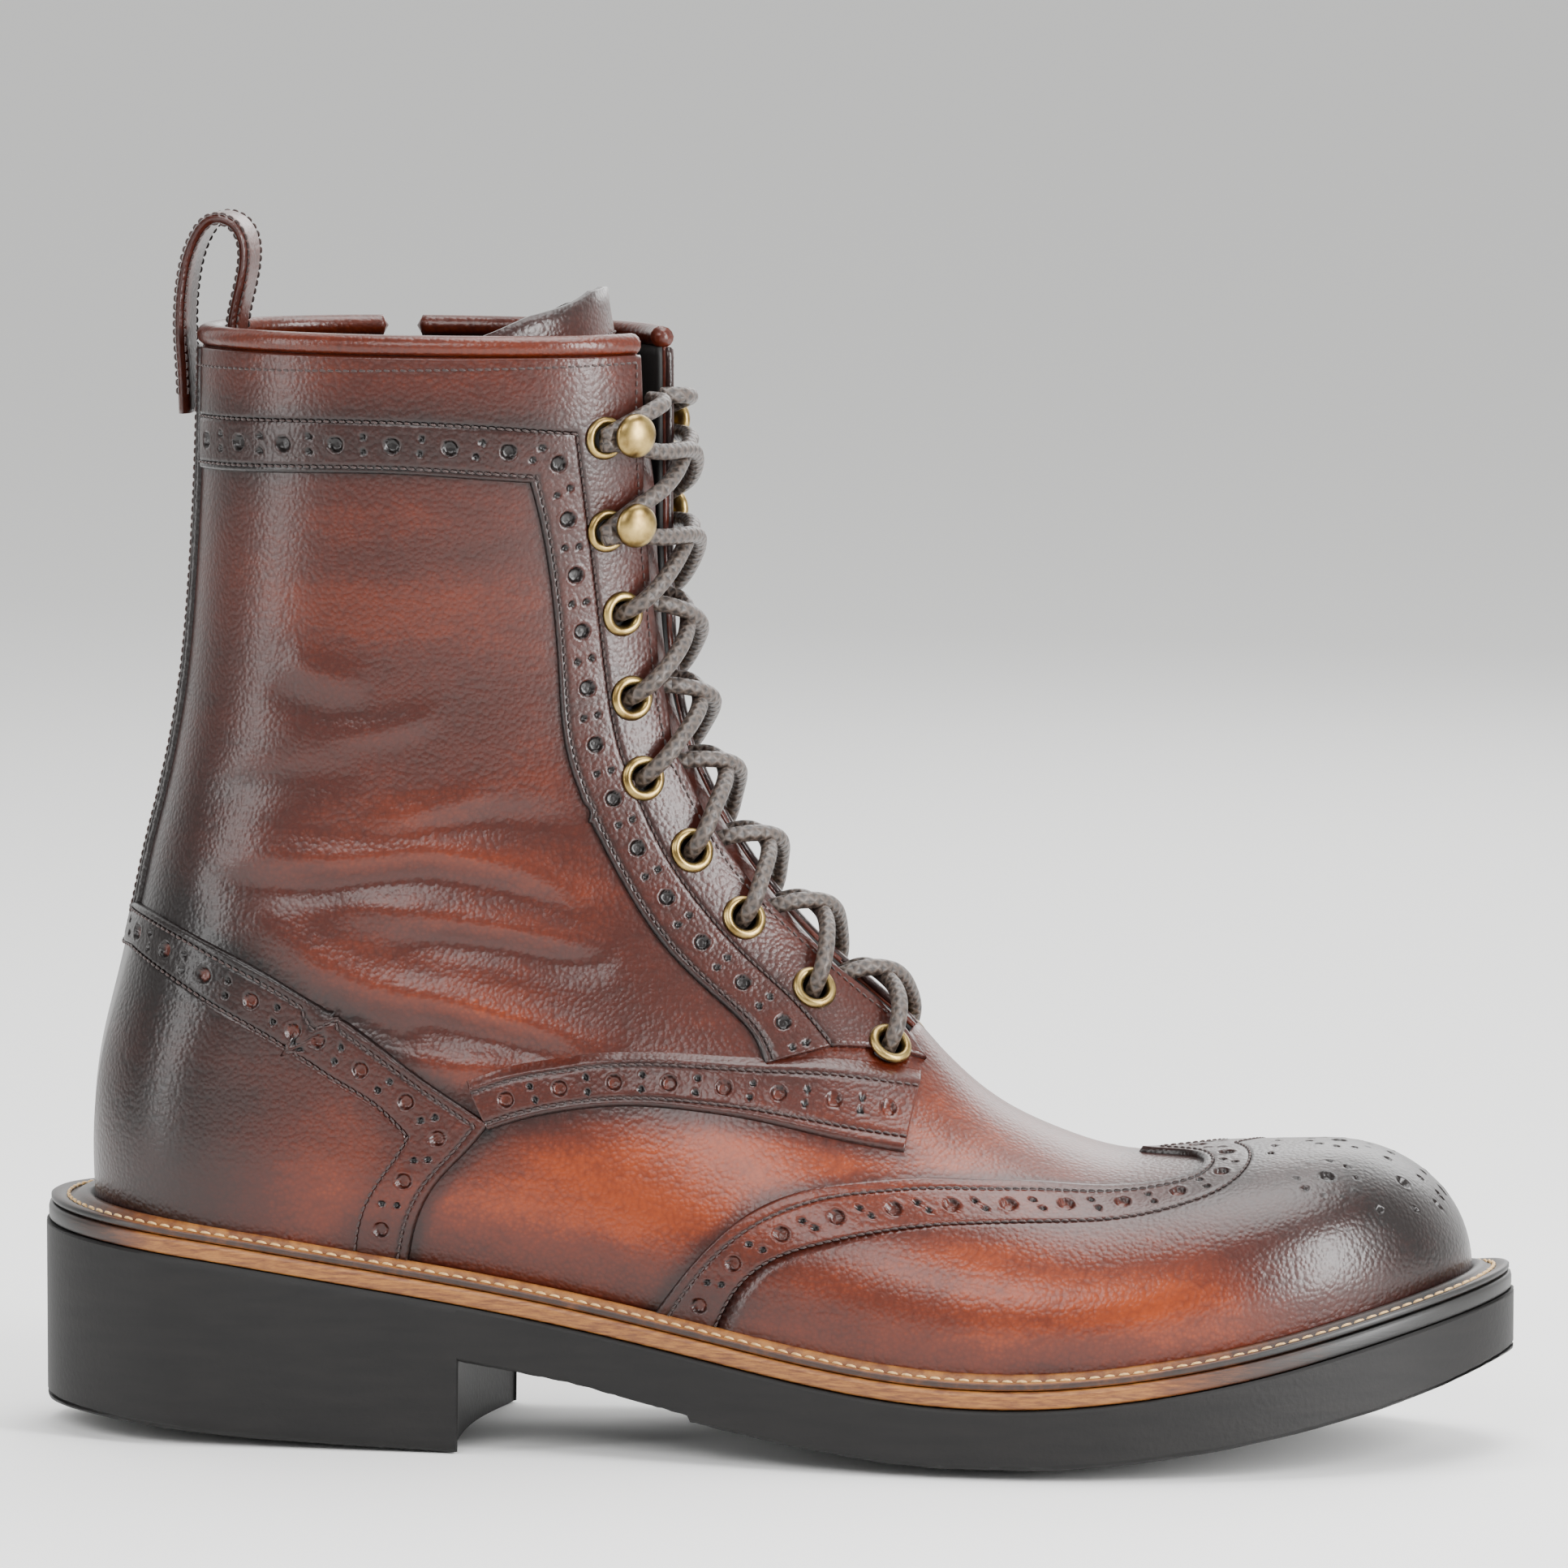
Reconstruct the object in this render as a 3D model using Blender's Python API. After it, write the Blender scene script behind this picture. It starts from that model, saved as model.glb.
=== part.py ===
"""A lace up brogue ankle boot for the right foot, with a zip on its inner side.

The boot stands on its sole. +X runs from heel to toe, +Z is up, and the outer (lateral) side faces -Y.
Sizes are in millimetres and become metres when a mesh is made. The upper is a surface lofted through
sections that fan from the toe, under the instep, and up the shaft. Every overlay, the tongue, the eyelets
and the laces are placed on that same surface.
"""

import math

import bmesh
import bpy
import numpy as np
from mathutils import Matrix, Vector

MM = 0.001

# From the tables, which start at the heel's back, to the frame of the part: the middle of the box.
SHIFT = (-154.5, 1.03, 0.0)

# Sole, seen from above: the half widths run on past the rounded heel and toe, which the end curves cut.
SOLE_LENGTH = 309.0
SOLE_HEEL_ROUND = 37.0
SOLE_TOE_ROUND = 95.0
TOE_SWING = 6.0
SWING_START = 150.0
PLAN_COLUMNS = ("x", "lateral", "medial")
PLAN = (
    (0, 36.0, 35.0),
    (50, 37.0, 34.5),
    (90, 37.5, 32.0),
    (115, 39.0, 31.5),
    (140, 43.5, 34.5),
    (165, 49.0, 41.0),
    (190, 53.5, 47.5),
    (212, 55.5, 50.5),
    (240, 56.0, 52.0),
    (309, 56.0, 52.0),
)

# Sole, seen from the side.
RIM_COLUMNS = ("x", "rim")
RIM = ((0, 43.2), (30, 40.2), (60, 36.0), (90, 31.6), (120, 26.7), (150, 21.3), (175, 17.0), (198, 14.7),
       (218, 14.8), (240, 17.0), (265, 21.6), (288, 27.6), (309, 33.2))
GROUND_COLUMNS = ("x", "ground", "crown")
HEEL_GROUND = ((0, 4.4, 2.2), (15, 3.4, 2.2), (32, 1.6, 2.4), (50, 0.0, 2.4), (70, 0.0, 1.2), (94, 0.0, 0.3))
ARCH_GROUND = ((94, 19.0, 0.4), (118, 15.2, 0.5), (144, 9.6, 0.6))
TREAD_GROUND = ((144, 8.2, 0.8), (165, 4.2, 1.2), (185, 1.2, 1.8), (198, 0.0, 2.4), (220, 0.0, 2.6),
                (238, 1.9, 2.4), (254, 4.6, 1.9), (270, 8.2, 1.4), (285, 12.2, 1.0), (297, 16.2, 0.7),
                (309, 20.8, 0.5))
BREAST_X = 94.0
BREAST_HOLLOW = 4.0
TREAD_STEP_X = 144.0

# Layers between the rubber and the upper.
LAYER_GAP = 0.3
EDGE_SET_BACK = 0.6
MIDSOLE_THICK = 3.6
WELT_THICK = 1.7
INSOLE_THICK = 3.0

# Upper: where it meets the sole, in the same plan.
FEATHER_HEEL_X = 11.4
FEATHER_TOE_X = 299.2
FEATHER_HEEL_ROUND = 30.0
FEATHER_TOE_ROUND = 88.0
FEATHER_INSET = 6.2
TUCK_HEIGHT = 24.0
TOE_BOX_BACK_X = 268.0
TOE_BOX_POWER = 2.3
WALL = 2.2

# Sections of the upper. Each is a line in side view from a base point to a ridge point on the middle line,
# fanning from the toe, under the instep and up the shaft. lateral and medial are the half widths, belly is
# where along the line the section starts to close on its ridge, and lean is how much it narrows there.
SECTION_COLUMNS = ("base_x", "base_z", "ridge_x", "ridge_z", "lateral", "medial", "belly", "lean")
SECTIONS = (
    (299.2, 35.0, 299.2, 63.0, 51.5, 50.0, 0.22, -0.12),
    (291, 32.6, 291.0, 63.0, 51.5, 50.0, 0.22, -0.12),
    (280, 29.6, 280.0, 63.0, 51.6, 50.0, 0.22, -0.11),
    (266, 26.0, 266.0, 62.6, 52.0, 50.0, 0.22, -0.10),
    (248, 22.1, 248.0, 61.7, 52.2, 50.5, 0.21, -0.05),
    (229, 19.8, 229.5, 61.0, 52.0, 50.0, 0.20, 0.02),
    (210, 18.7, 214.4, 65.0, 51.2, 48.2, 0.20, 0.11),
    (190, 19.3, 202.2, 71.0, 49.2, 45.2, 0.20, 0.20),
    (170, 22.0, 192.5, 79.0, 46.2, 41.3, 0.21, 0.28),
    (150, 25.5, 184.0, 88.0, 42.6, 37.2, 0.23, 0.33),
    (130, 29.0, 175.6, 96.4, 39.3, 34.0, 0.25, 0.34),
    (110, 32.5, 167.6, 104.4, 36.8, 32.2, 0.27, 0.32),
    (90, 35.8, 160.2, 112.6, 35.3, 32.0, 0.29, 0.28),
    (71, 38.7, 153.8, 120.6, 34.6, 32.2, 0.31, 0.22),
    (53, 42.0, 148.0, 129.2, 34.0, 32.4, 0.33, 0.16),
    (37, 47.5, 143.4, 137.4, 33.8, 32.5, 0.35, 0.10),
    (26, 56.0, 139.9, 145.2, 33.6, 32.6, 0.36, 0.06),
    (20, 67.5, 137.4, 153.4, 33.4, 32.6, 0.37, 0.04),
    (18.3, 80, 135.6, 162.0, 33.0, 32.4, 0.38, 0.02),
    (19.6, 94, 134.6, 170.6, 32.7, 32.2, 0.39, 0.0),
    (22.4, 108, 134.0, 179.0, 32.5, 32.1, 0.40, -0.01),
    (25.8, 124, 133.5, 187.6, 32.4, 32.0, 0.42, -0.03),
    (29.2, 142, 133.1, 196.6, 32.7, 32.3, 0.44, -0.05),
    (32.2, 161, 132.8, 205.2, 33.2, 32.8, 0.46, -0.08),
    (34.4, 182, 132.6, 213.2, 33.8, 33.4, 0.48, -0.10),
    (35.6, 205, 132.4, 220.6, 34.3, 34.0, 0.49, -0.12),
    (36.2, 231, 132.2, 228.4, 34.6, 34.4, 0.50, -0.12),
    (36.4, 256, 131.6, 246.0, 34.6, 34.4, 0.50, -0.12),
)
BACK_COLUMNS = ("z", "x", "heel_round")
BACK = ((45.5, 11.4, 30), (58, 10.9, 31), (70, 11.2, 32), (81, 12.8, 33), (92, 15.5, 35), (103, 18.2, 37),
        (113, 20.4, 39), (124, 22.9, 40), (134, 25.5, 42), (144, 27.8, 43), (155, 29.8, 44), (166, 31.2, 45),
        (180, 32.4, 46), (200, 33.6, 47), (225, 34.4, 48), (256, 34.8, 48))
COLLAR_BASE_Z = 227.6

# Throat, tongue and zip.
THROAT_COLUMNS = ("station", "lateral_v", "medial_v")
THROAT = ((8.9, 0.075, 0.075), (9.9, 0.084, 0.08), (11.1, 0.080, 0.078), (12.2, 0.082, 0.078),
          (13.5, 0.080, 0.074), (15.0, 0.070, 0.066), (16.4, 0.060, 0.058), (18.0, 0.060, 0.058),
          (19.9, 0.070, 0.060), (21.8, 0.088, 0.064), (24.2, 0.112, 0.070), (27.0, 0.116, 0.070))
THROAT_START = 8.9
TONGUE_THICK = 1.8
TONGUE_CLEAR = 0.9
TONGUE_BEND = 7.5
TONGUE_START = 7.3
TONGUE_WIDTH = ((7.3, 0.12), (9, 0.16), (12, 0.19), (16, 0.22), (20, 0.28), (24, 0.42), (27, 0.50))
TONGUE_TOP = ((0.0, 26.72), (0.1, 26.68), (0.3, 26.35), (0.5, 25.75))
ZIP_X = 70.0
ZIP_SLOT_HALF = 4.2
ZIP_LOW_STATION = 17.2

# Overlays lie on the upper's own surface.
OVERLAY_LOW = 0.5
OVERLAY_HIGH = 1.6
OVERLAY_FOOT = 0.985

# Toe cap with wings: how far back its edge lies, as the station at each share of the half section.
WING_COLUMNS = ("v", "station")
WING = ((0.0, 4.9), (0.09, 4.27), (0.214, 4.09), (0.293, 4.17), (0.327, 4.4), (0.335, 4.96), (0.369, 5.89),
        (0.429, 6.87), (0.463, 7.57), (0.529, 8.34), (0.589, 8.94), (0.661, 9.38), (0.752, 9.65),
        (0.848, 9.77), (1.0, 9.8))

# Heel counter: feather x below, and the side view place of its upper edge above it.
COUNTER_COLUMNS = ("feather_x", "upper_x", "upper_z")
COUNTER = ((83.0, 100.2, 68.8), (72.0, 86.4, 77.9), (61.0, 72.3, 88.4), (51.0, 61.2, 94.9),
           (42.0, 51.5, 100.6), (34.0, 43.0, 104.6), (26.8, 35.6, 107.4), (21.4, 29.6, 109.2),
           (17.1, 25.4, 110.1), (14.1, 22.2, 110.6), (12.1, 20.4, 110.9))
COUNTER_BACK_Z = 111.0

# Backstay up the middle of the back.
BACKSTAY_LOW_Z = 112.0
BACKSTAY_HIGH_Z = 222.5
BACKSTAY_V = 0.068

# Eyelet facing: side view places of its rear edge, with the station of its front edge at the throat.
FACING_COLUMNS = ("rear_x", "rear_z", "front_station", "front_v")
FACING = (
    (156.6, 70.3, 8.01, 0.420), (157.6, 79.5, 8.12, 0.240), (155.2, 88.0, 8.57, 0.075),
    (147.3, 95.0, 9.88, None), (141.5, 100.4, 11.0, None), (136.2, 105.8, 12.2, None),
    (127.7, 118.3, 13.5, None), (119.5, 134.6, 15.0, None), (116.6, 143.4, 16.4, None),
    (114.6, 159.7, 18.0, None), (113.2, 179.2, 19.9, None), (111.6, 192.1, 21.8, None),
    (109.7, 202.6, 23.2, None), (110.0, 213.6, 24.2, None), (112.6, 225.0, 25.72, None),
)

# Perforated bands: side view places of their upper and lower edges.
BAND_COLUMNS = ("upper_x", "upper_z", "lower_x", "lower_z")
QUARTER_BAND = ((101.0, 76.2, 103.2, 67.9), (108.5, 78.8, 110.0, 70.4), (119.0, 80.4, 120.0, 72.2),
                (131.0, 81.1, 131.2, 72.8), (143.0, 80.6, 143.6, 71.9), (156.9, 79.6, 155.8, 70.5))
CUFF_BAND = ((38.6, 213.4, 38.6, 203.6), (50.0, 213.6, 50.0, 204.0), (64.6, 213.8, 64.6, 204.4))
CUFF_BAND_FRONT = ((75.4, 213.9, 75.4, 204.4), (85.0, 213.9, 85.0, 204.3), (97.0, 213.8, 97.0, 203.8),
                   (109.3, 213.5, 109.0, 203.1))

# Eyelets and hooks, from the lowest row up.
ROW_COLUMNS = ("station", "v")
EYELET_ROWS = ((9.07, 0.164), (10.69, 0.160), (12.51, 0.140), (14.19, 0.127), (16.19, 0.112),
               (17.99, 0.110), (20.01, 0.124))
HOOK_ROWS = ((22.0, 0.162), (24.03, 0.182))
EYELET_OUTER = 4.7
EYELET_HOLE = 2.7
EYELET_THICK = 0.9
LACE_RADIUS = 1.7
HOOK_COLUMNS = ("radius", "height", "forward")
HOOK = ((4.3, 2.0, 0.0), (4.3, 2.6, 0.0), (1.5, 2.7, 1.8), (1.5, 6.4, 3.4), (4.4, 6.7, 4.0), (4.5, 7.6, 4.1),
        (3.0, 8.7, 4.2))

# Collar binding and pull loop.
BINDING_RADIUS = 2.1
LOOP_WIDTH = 14.0
LOOP_THICK = 1.8
LOOP_COLUMNS = ("x", "z")
LOOP = ((30.9, 213.0), (30.6, 222.0), (30.2, 229.0), (30.3, 236.0), (31.2, 243.0), (33.4, 249.6),
        (37.2, 253.6), (41.2, 252.8), (43.6, 249.0), (43.8, 244.4), (42.8, 239.0), (41.6, 233.6),
        (41.0, 228.0), (40.8, 222.0), (40.6, 214.0))

# Zip slider and its pull: places along the boot's length, up the zip and out from the surface.
SLIDER_Z = 219.0
SLIDER = ((-3.1, 3.1), (-5.0, 5.0), (-0.1, 2.6))
ARCH_HALF_WIDTH = 1.1
ARCH_UP = (-4.2, -2.9, 2.9, 4.2)
ARCH_OUT = (2.2, 5.2, 5.9)
PIVOT_OUT = 3.9
PULL_ACROSS = (-2.8, -1.6, 1.6, 2.8)
PULL_DOWN = (0.6, -0.8, -5.2, -6.6, -13.0, -21.0)
PULL_HALF_THICK = 0.6


def spline(at, knots, values):
    """A natural cubic spline through the knots, read at any places. Its slopes solve one linear system."""
    knots = np.asarray(knots, float)
    values = np.asarray(values, float)
    at = np.clip(np.asarray(at, float), knots[0], knots[-1])
    gap = np.diff(knots)
    rise = np.diff(values) / gap
    count = len(knots)
    system = np.zeros((count, count))
    right = np.zeros(count)
    system[0, 0] = system[-1, -1] = 1.0
    for i in range(1, count - 1):
        system[i, i - 1:i + 2] = gap[i - 1], 2 * (gap[i - 1] + gap[i]), gap[i]
        right[i] = 6 * (rise[i] - rise[i - 1])
    bend = np.linalg.solve(system, right)
    i = np.clip(np.searchsorted(knots, at) - 1, 0, count - 2)
    before = at - knots[i]
    after = knots[i + 1] - at
    return (
        (bend[i] * after**3 + bend[i + 1] * before**3) / (6 * gap[i])
        + (values[i] / gap[i] - bend[i] * gap[i] / 6) * after
        + (values[i + 1] / gap[i] - bend[i + 1] * gap[i] / 6) * before
    )


def table_spline(at, table, column, key=0):
    """Reads one column of a table of rows by a spline over its key column."""
    rows = np.array(table, float)
    order = np.argsort(rows[:, key])
    return spline(at, rows[order, key], rows[order, column])


def table_of(at, table, column, key=0):
    """Reads a column by straight lines between the rows, for tables with corners."""
    rows = np.array(table, float)
    order = np.argsort(rows[:, key])
    return np.interp(at, rows[order, key], rows[order, column])


def round_end(x, low, high, heel_round, toe_round):
    """The share of the full width left at x: a quarter ellipse at the heel and another at the toe."""
    heel = np.clip((low + heel_round - x) / heel_round, 0, 1)
    toe = np.clip((x - (high - toe_round)) / toe_round, 0, 1)
    return np.sqrt(1 - heel**2) * np.sqrt(1 - toe**2)


def swing(x):
    """How far the middle line moves towards the inner side at x, for a right foot."""
    return TOE_SWING * (np.clip(np.asarray(x, float) - SWING_START, 0, None) / SWING_START) ** 2


def sole_half_width(x, side):
    """Half width of the sole at x. side is -1 for the outer side and 1 for the inner side."""
    column = PLAN_COLUMNS.index("lateral" if side < 0 else "medial")
    full = table_spline(x, PLAN, column)
    return full * round_end(x, 0.0, SOLE_LENGTH, SOLE_HEEL_ROUND, SOLE_TOE_ROUND)


def feather_half_width(x, side):
    """Half width of the upper's lower edge at x."""
    column = PLAN_COLUMNS.index("lateral" if side < 0 else "medial")
    full = table_spline(x, PLAN, column) - FEATHER_INSET
    return full * round_end(x, FEATHER_HEEL_X, FEATHER_TOE_X, FEATHER_HEEL_ROUND, FEATHER_TOE_ROUND)


def rim_z(x):
    """Height of the rubber sole's upper face at x."""
    return table_spline(x, RIM, 1)


def feather_z(x):
    """Height of the upper's lower edge at x, just above the midsole."""
    return rim_z(x) + MIDSOLE_THICK + 2 * LAYER_GAP


SECTION_ROWS = np.array(SECTIONS, float)
LAST = len(SECTIONS) - 1.0


def section_value(s, name):
    """Reads a section column by a spline over the section's number."""
    return spline(s, np.arange(len(SECTIONS)), SECTION_ROWS[:, SECTION_COLUMNS.index(name)])


def section_ends(s):
    """Base point and ridge point of section s in side view. The toe box rounds the ridge down to the tip."""
    base_x = section_value(s, "base_x")
    base_z = section_value(s, "base_z")
    ridge_x = section_value(s, "ridge_x")
    ridge_z = section_value(s, "ridge_z")
    box = np.clip((ridge_x - TOE_BOX_BACK_X) / (FEATHER_TOE_X - TOE_BOX_BACK_X), 0, 1)
    in_toe = box > 0
    foot = feather_z(np.minimum(base_x, FEATHER_TOE_X))
    share = (1 - box**TOE_BOX_POWER) ** (1 / TOE_BOX_POWER)
    base_z = np.where(in_toe, foot, base_z)
    ridge_z = np.where(in_toe, foot + (ridge_z - foot) * share, ridge_z)
    return base_x, base_z, ridge_x, ridge_z


def surface_at(s, p, side):
    """Point on the upper's outer surface, at share p of the way along section s.

    The half width is a product: the section's own width, a quarter ellipse that closes the heel, one that
    closes the toe, one that closes the ridge, and a tuck towards the feather line below the belly.
    """
    base_x, base_z, ridge_x, ridge_z = section_ends(s)
    x = base_x + p * (ridge_x - base_x)
    z = base_z + p * (ridge_z - base_z)
    width = section_value(s, "lateral" if side < 0 else "medial")
    belly = section_value(s, "belly")
    heel_u = (x - table_spline(z, BACK, 1)) / table_spline(z, BACK, 2)
    heel = np.sqrt(np.clip(1 - np.clip(1 - heel_u, 0, None) ** 2, 0, 1))
    toe_u = np.clip((x - (FEATHER_TOE_X - FEATHER_TOE_ROUND)) / FEATHER_TOE_ROUND, 0, 1)
    toe = np.sqrt(1 - toe_u**2)
    top_u = np.clip((p - belly) / (1 - belly), 0, 1)
    top = np.sqrt(1 - top_u**2) * (1 - section_value(s, "lean") * top_u**2)
    full = table_spline(x, PLAN, PLAN_COLUMNS.index("lateral" if side < 0 else "medial")) - FEATHER_INSET
    tuck = np.clip(1 - full / width, 0, 1)
    above = np.clip((z - feather_z(x)) / TUCK_HEIGHT, 0, 1)
    half = width * heel * toe * top * (1 - tuck * (1 - above) ** 2)
    return np.stack([x, swing(x) + side * half, z], axis=-1)


def section_start(s):
    """Share along section s where it leaves the feather line or the back line, found by bisection."""
    low = np.full(np.shape(s), -0.35)
    high = np.full(np.shape(s), 0.4)
    base_x, base_z, ridge_x, ridge_z = section_ends(s)
    for _ in range(36):
        middle = (low + high) / 2
        x = base_x + middle * (ridge_x - base_x)
        z = base_z + middle * (ridge_z - base_z)
        inside = (z > feather_z(x)) & (x > table_spline(z, BACK, 1))
        high = np.where(inside, middle, high)
        low = np.where(inside, low, middle)
    return np.where(s < 1e-9, 0.0, high)


def corner_station():
    """The section that starts where the feather line meets the back line."""
    s = np.linspace(12, 19, 1401)
    p = section_start(s)
    return float(s[np.argmin(np.abs(section_z(s, p) - feather_z(FEATHER_HEEL_X)))])


def section_z(s, p):
    _, base_z, _, ridge_z = section_ends(s)
    return base_z + p * (ridge_z - base_z)


def section_x(s, p):
    base_x, _, ridge_x, _ = section_ends(s)
    return base_x + p * (ridge_x - base_x)


CORNER = corner_station()
ARC_STATIONS = np.unique(np.concatenate([np.linspace(0, 1, 41) ** 2, np.linspace(1, LAST, 300), [CORNER]]))
ARC_SHARES = np.linspace(0, 1, 121)


def arc_table(side):
    """For each station, the share p at even steps of length along its section."""
    start = section_start(ARC_STATIONS)[:, None]
    step = (1 - np.cos(np.linspace(0, math.pi, 161)))[None, :] / 2
    p = start + (1 - start) * step
    points = surface_at(ARC_STATIONS[:, None] * np.ones_like(p), p, side)
    run = np.cumsum(np.linalg.norm(np.diff(points, axis=1), axis=2), axis=1)
    run = np.concatenate([np.zeros((len(run), 1)), run], axis=1)
    run /= np.maximum(run[:, -1:], 1e-9)
    return np.array([np.interp(ARC_SHARES, run[i], p[i]) for i in range(len(p))])


ARC = {-1: arc_table(-1), 1: arc_table(1)}


def share_of(s, t, side):
    """Share p of the way along section s for length share t, read from the arc table."""
    i = np.clip(np.searchsorted(ARC_STATIONS, s, side="right") - 1, 0, len(ARC_STATIONS) - 2)
    a = (s - ARC_STATIONS[i]) / (ARC_STATIONS[i + 1] - ARC_STATIONS[i])
    place = np.clip(t, 0, 1) * (len(ARC_SHARES) - 1)
    j = np.clip(place.astype(int), 0, len(ARC_SHARES) - 2)
    b = place - j
    table = ARC[side]
    return ((1 - a) * ((1 - b) * table[i, j] + b * table[i, j + 1])
            + a * ((1 - b) * table[i + 1, j] + b * table[i + 1, j + 1]))


def surface(s, v):
    """Point on the upper at station s. v runs from -1 at the outer side's start, over the ridge at 0, to 1."""
    s, v = np.broadcast_arrays(np.asarray(s, float), np.asarray(v, float))
    s = np.clip(s, 0, LAST)
    v = np.where(v > 1, v - 2, np.where(v < -1, v + 2, v))
    t = 1 - np.abs(v)
    near = surface_at(s, share_of(s, t, -1), -1)
    far = surface_at(s, share_of(s, t, 1), 1)
    spot = np.where((v <= 0)[..., None], near, far)
    on_back = (t < 1e-9) & (s > CORNER - 1e-6)
    spot[..., 1] = np.where(on_back, swing(spot[..., 0]), spot[..., 1])
    return spot


def normal(s, v):
    """Outward normal by small central steps. Rows in the foot end at the feather line, so they don't wrap."""
    s, v = np.broadcast_arrays(np.asarray(s, float), np.asarray(v, float))
    ds, dv = 0.03, 0.012
    wraps = s > CORNER + 0.02
    v_low = np.where(wraps, v - dv, np.maximum(v - dv, -1))
    v_high = np.where(wraps, v + dv, np.minimum(v + dv, 1))
    s_mid = np.maximum(s, 0.02)
    across = surface(s_mid, v_high) - surface(s_mid, v_low)
    along = surface(np.minimum(s_mid + ds, LAST), v) - surface(np.maximum(s_mid - ds, 0.0), v)
    found = np.cross(across, along)
    found /= np.maximum(np.linalg.norm(found, axis=-1, keepdims=True), 1e-12)
    return np.where((s < 1e-6)[..., None], np.array([1.0, 0.0, 0.0]), found)


def offset(s, v, distance):
    """Surface point moved along its normal."""
    return surface(s, v) + normal(s, v) * np.asarray(distance, float)[..., None]


def locate(x, z, side):
    """Station and length share of the surface point that shows at (x, z) in side view."""
    x = np.atleast_1d(np.asarray(x, float))
    z = np.atleast_1d(np.asarray(z, float))
    base_x, base_z, ridge_x, ridge_z = section_ends(ARC_STATIONS[1:])
    reach_x, reach_z = ridge_x - base_x, ridge_z - base_z
    turn = (x[:, None] - base_x) * reach_z - (z[:, None] - base_z) * reach_x
    turn /= np.hypot(reach_x, reach_z)
    past = turn > 0
    past[:, -1] = True
    k = np.argmax(past, axis=1)
    k = np.clip(k, 1, None)
    rows = np.arange(len(x))
    a = turn[rows, k - 1] / (turn[rows, k - 1] - turn[rows, k])
    s = ARC_STATIONS[1:][k - 1] + np.clip(a, 0, 1) * (ARC_STATIONS[1:][k] - ARC_STATIONS[1:][k - 1])
    base_x, base_z, ridge_x, ridge_z = section_ends(s)
    p = ((x - base_x) * (ridge_x - base_x) + (z - base_z) * (ridge_z - base_z)) / (
        (ridge_x - base_x) ** 2 + (ridge_z - base_z) ** 2)
    shares = np.stack([share_of(s, np.full(len(s), t), side) for t in ARC_SHARES], axis=1)
    t = np.array([np.interp(p[i], shares[i], ARC_SHARES) for i in range(len(p))])
    return s, t


def station_of_ridge(x=None, z=None):
    """Station whose ridge point is at x, or at height z in the shaft."""
    s = np.linspace(0, LAST, 4001)
    _, _, ridge_x, ridge_z = section_ends(s)
    if x is not None:
        return float(s[np.argmin(np.abs(ridge_x - x))])
    high = s > 12
    return float(s[high][np.argmin(np.abs(ridge_z[high] - z))])


def back_x(z):
    """The back line's x at height z."""
    return table_spline(z, BACK, 1)


def station_of_back(z):
    """Station whose section starts on the back line at height z."""
    s = np.linspace(CORNER, LAST, 3001)
    return float(s[np.argmin(np.abs(section_z(s, section_start(s)) - z))])


COLLAR = station_of_back(COLLAR_BASE_Z)


def throat_v(s, side):
    """Share of the half section, from the ridge, where the throat's edge lies."""
    return table_of(s, THROAT, 1 if side < 0 else 2)


def v_of_side_x(s, x, side):
    """v of the point of section s that lies at x."""
    s = np.asarray(s, float)
    base_x, _, ridge_x, _ = section_ends(s)
    wanted = (x - base_x) / (ridge_x - base_x)
    shares = np.stack([share_of(s, np.full(len(s), t), side) for t in ARC_SHARES], axis=1)
    t = np.array([np.interp(wanted[i], shares[i], ARC_SHARES) for i in range(len(s))])
    return side * (1 - t)


def located(x, z, side):
    """Station and signed v of the side view place (x, z)."""
    s, t = locate(x, z, side)
    return s, side * (1 - t)


def feather_station(x):
    """Station whose section starts on the feather line at x."""
    s = np.linspace(0, CORNER, 4001)
    starts = section_x(s, section_start(s))
    return np.interp(-np.asarray(x, float), -starts, s)


def new_material(name, colour, roughness, metallic=0.0):
    made = bpy.data.materials.new(name)
    made.use_nodes = True
    shader = made.node_tree.nodes["Principled BSDF"]
    shader.inputs["Base Color"].default_value = (*colour, 1.0)
    shader.inputs["Roughness"].default_value = roughness
    shader.inputs["Metallic"].default_value = metallic
    return made


def add_object(name, points, faces, material):
    """Welds points that coincide, drops the faces that vanish, and adds a closed mesh in metres."""
    mesh = bpy.data.meshes.new(name)
    mesh.from_pydata([tuple(p) for p in np.asarray(points, float) * MM], [], faces)
    work = bmesh.new()
    work.from_mesh(mesh)
    bmesh.ops.remove_doubles(work, verts=work.verts, dist=2e-6)
    bmesh.ops.dissolve_degenerate(work, edges=work.edges, dist=1e-6)
    bmesh.ops.triangulate(work, faces=work.faces)
    bmesh.ops.recalc_face_normals(work, faces=work.faces)
    work.to_mesh(mesh)
    work.free()
    made = bpy.data.objects.new(name, mesh)
    bpy.context.collection.objects.link(made)
    mesh.materials.append(material)
    return made


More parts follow.
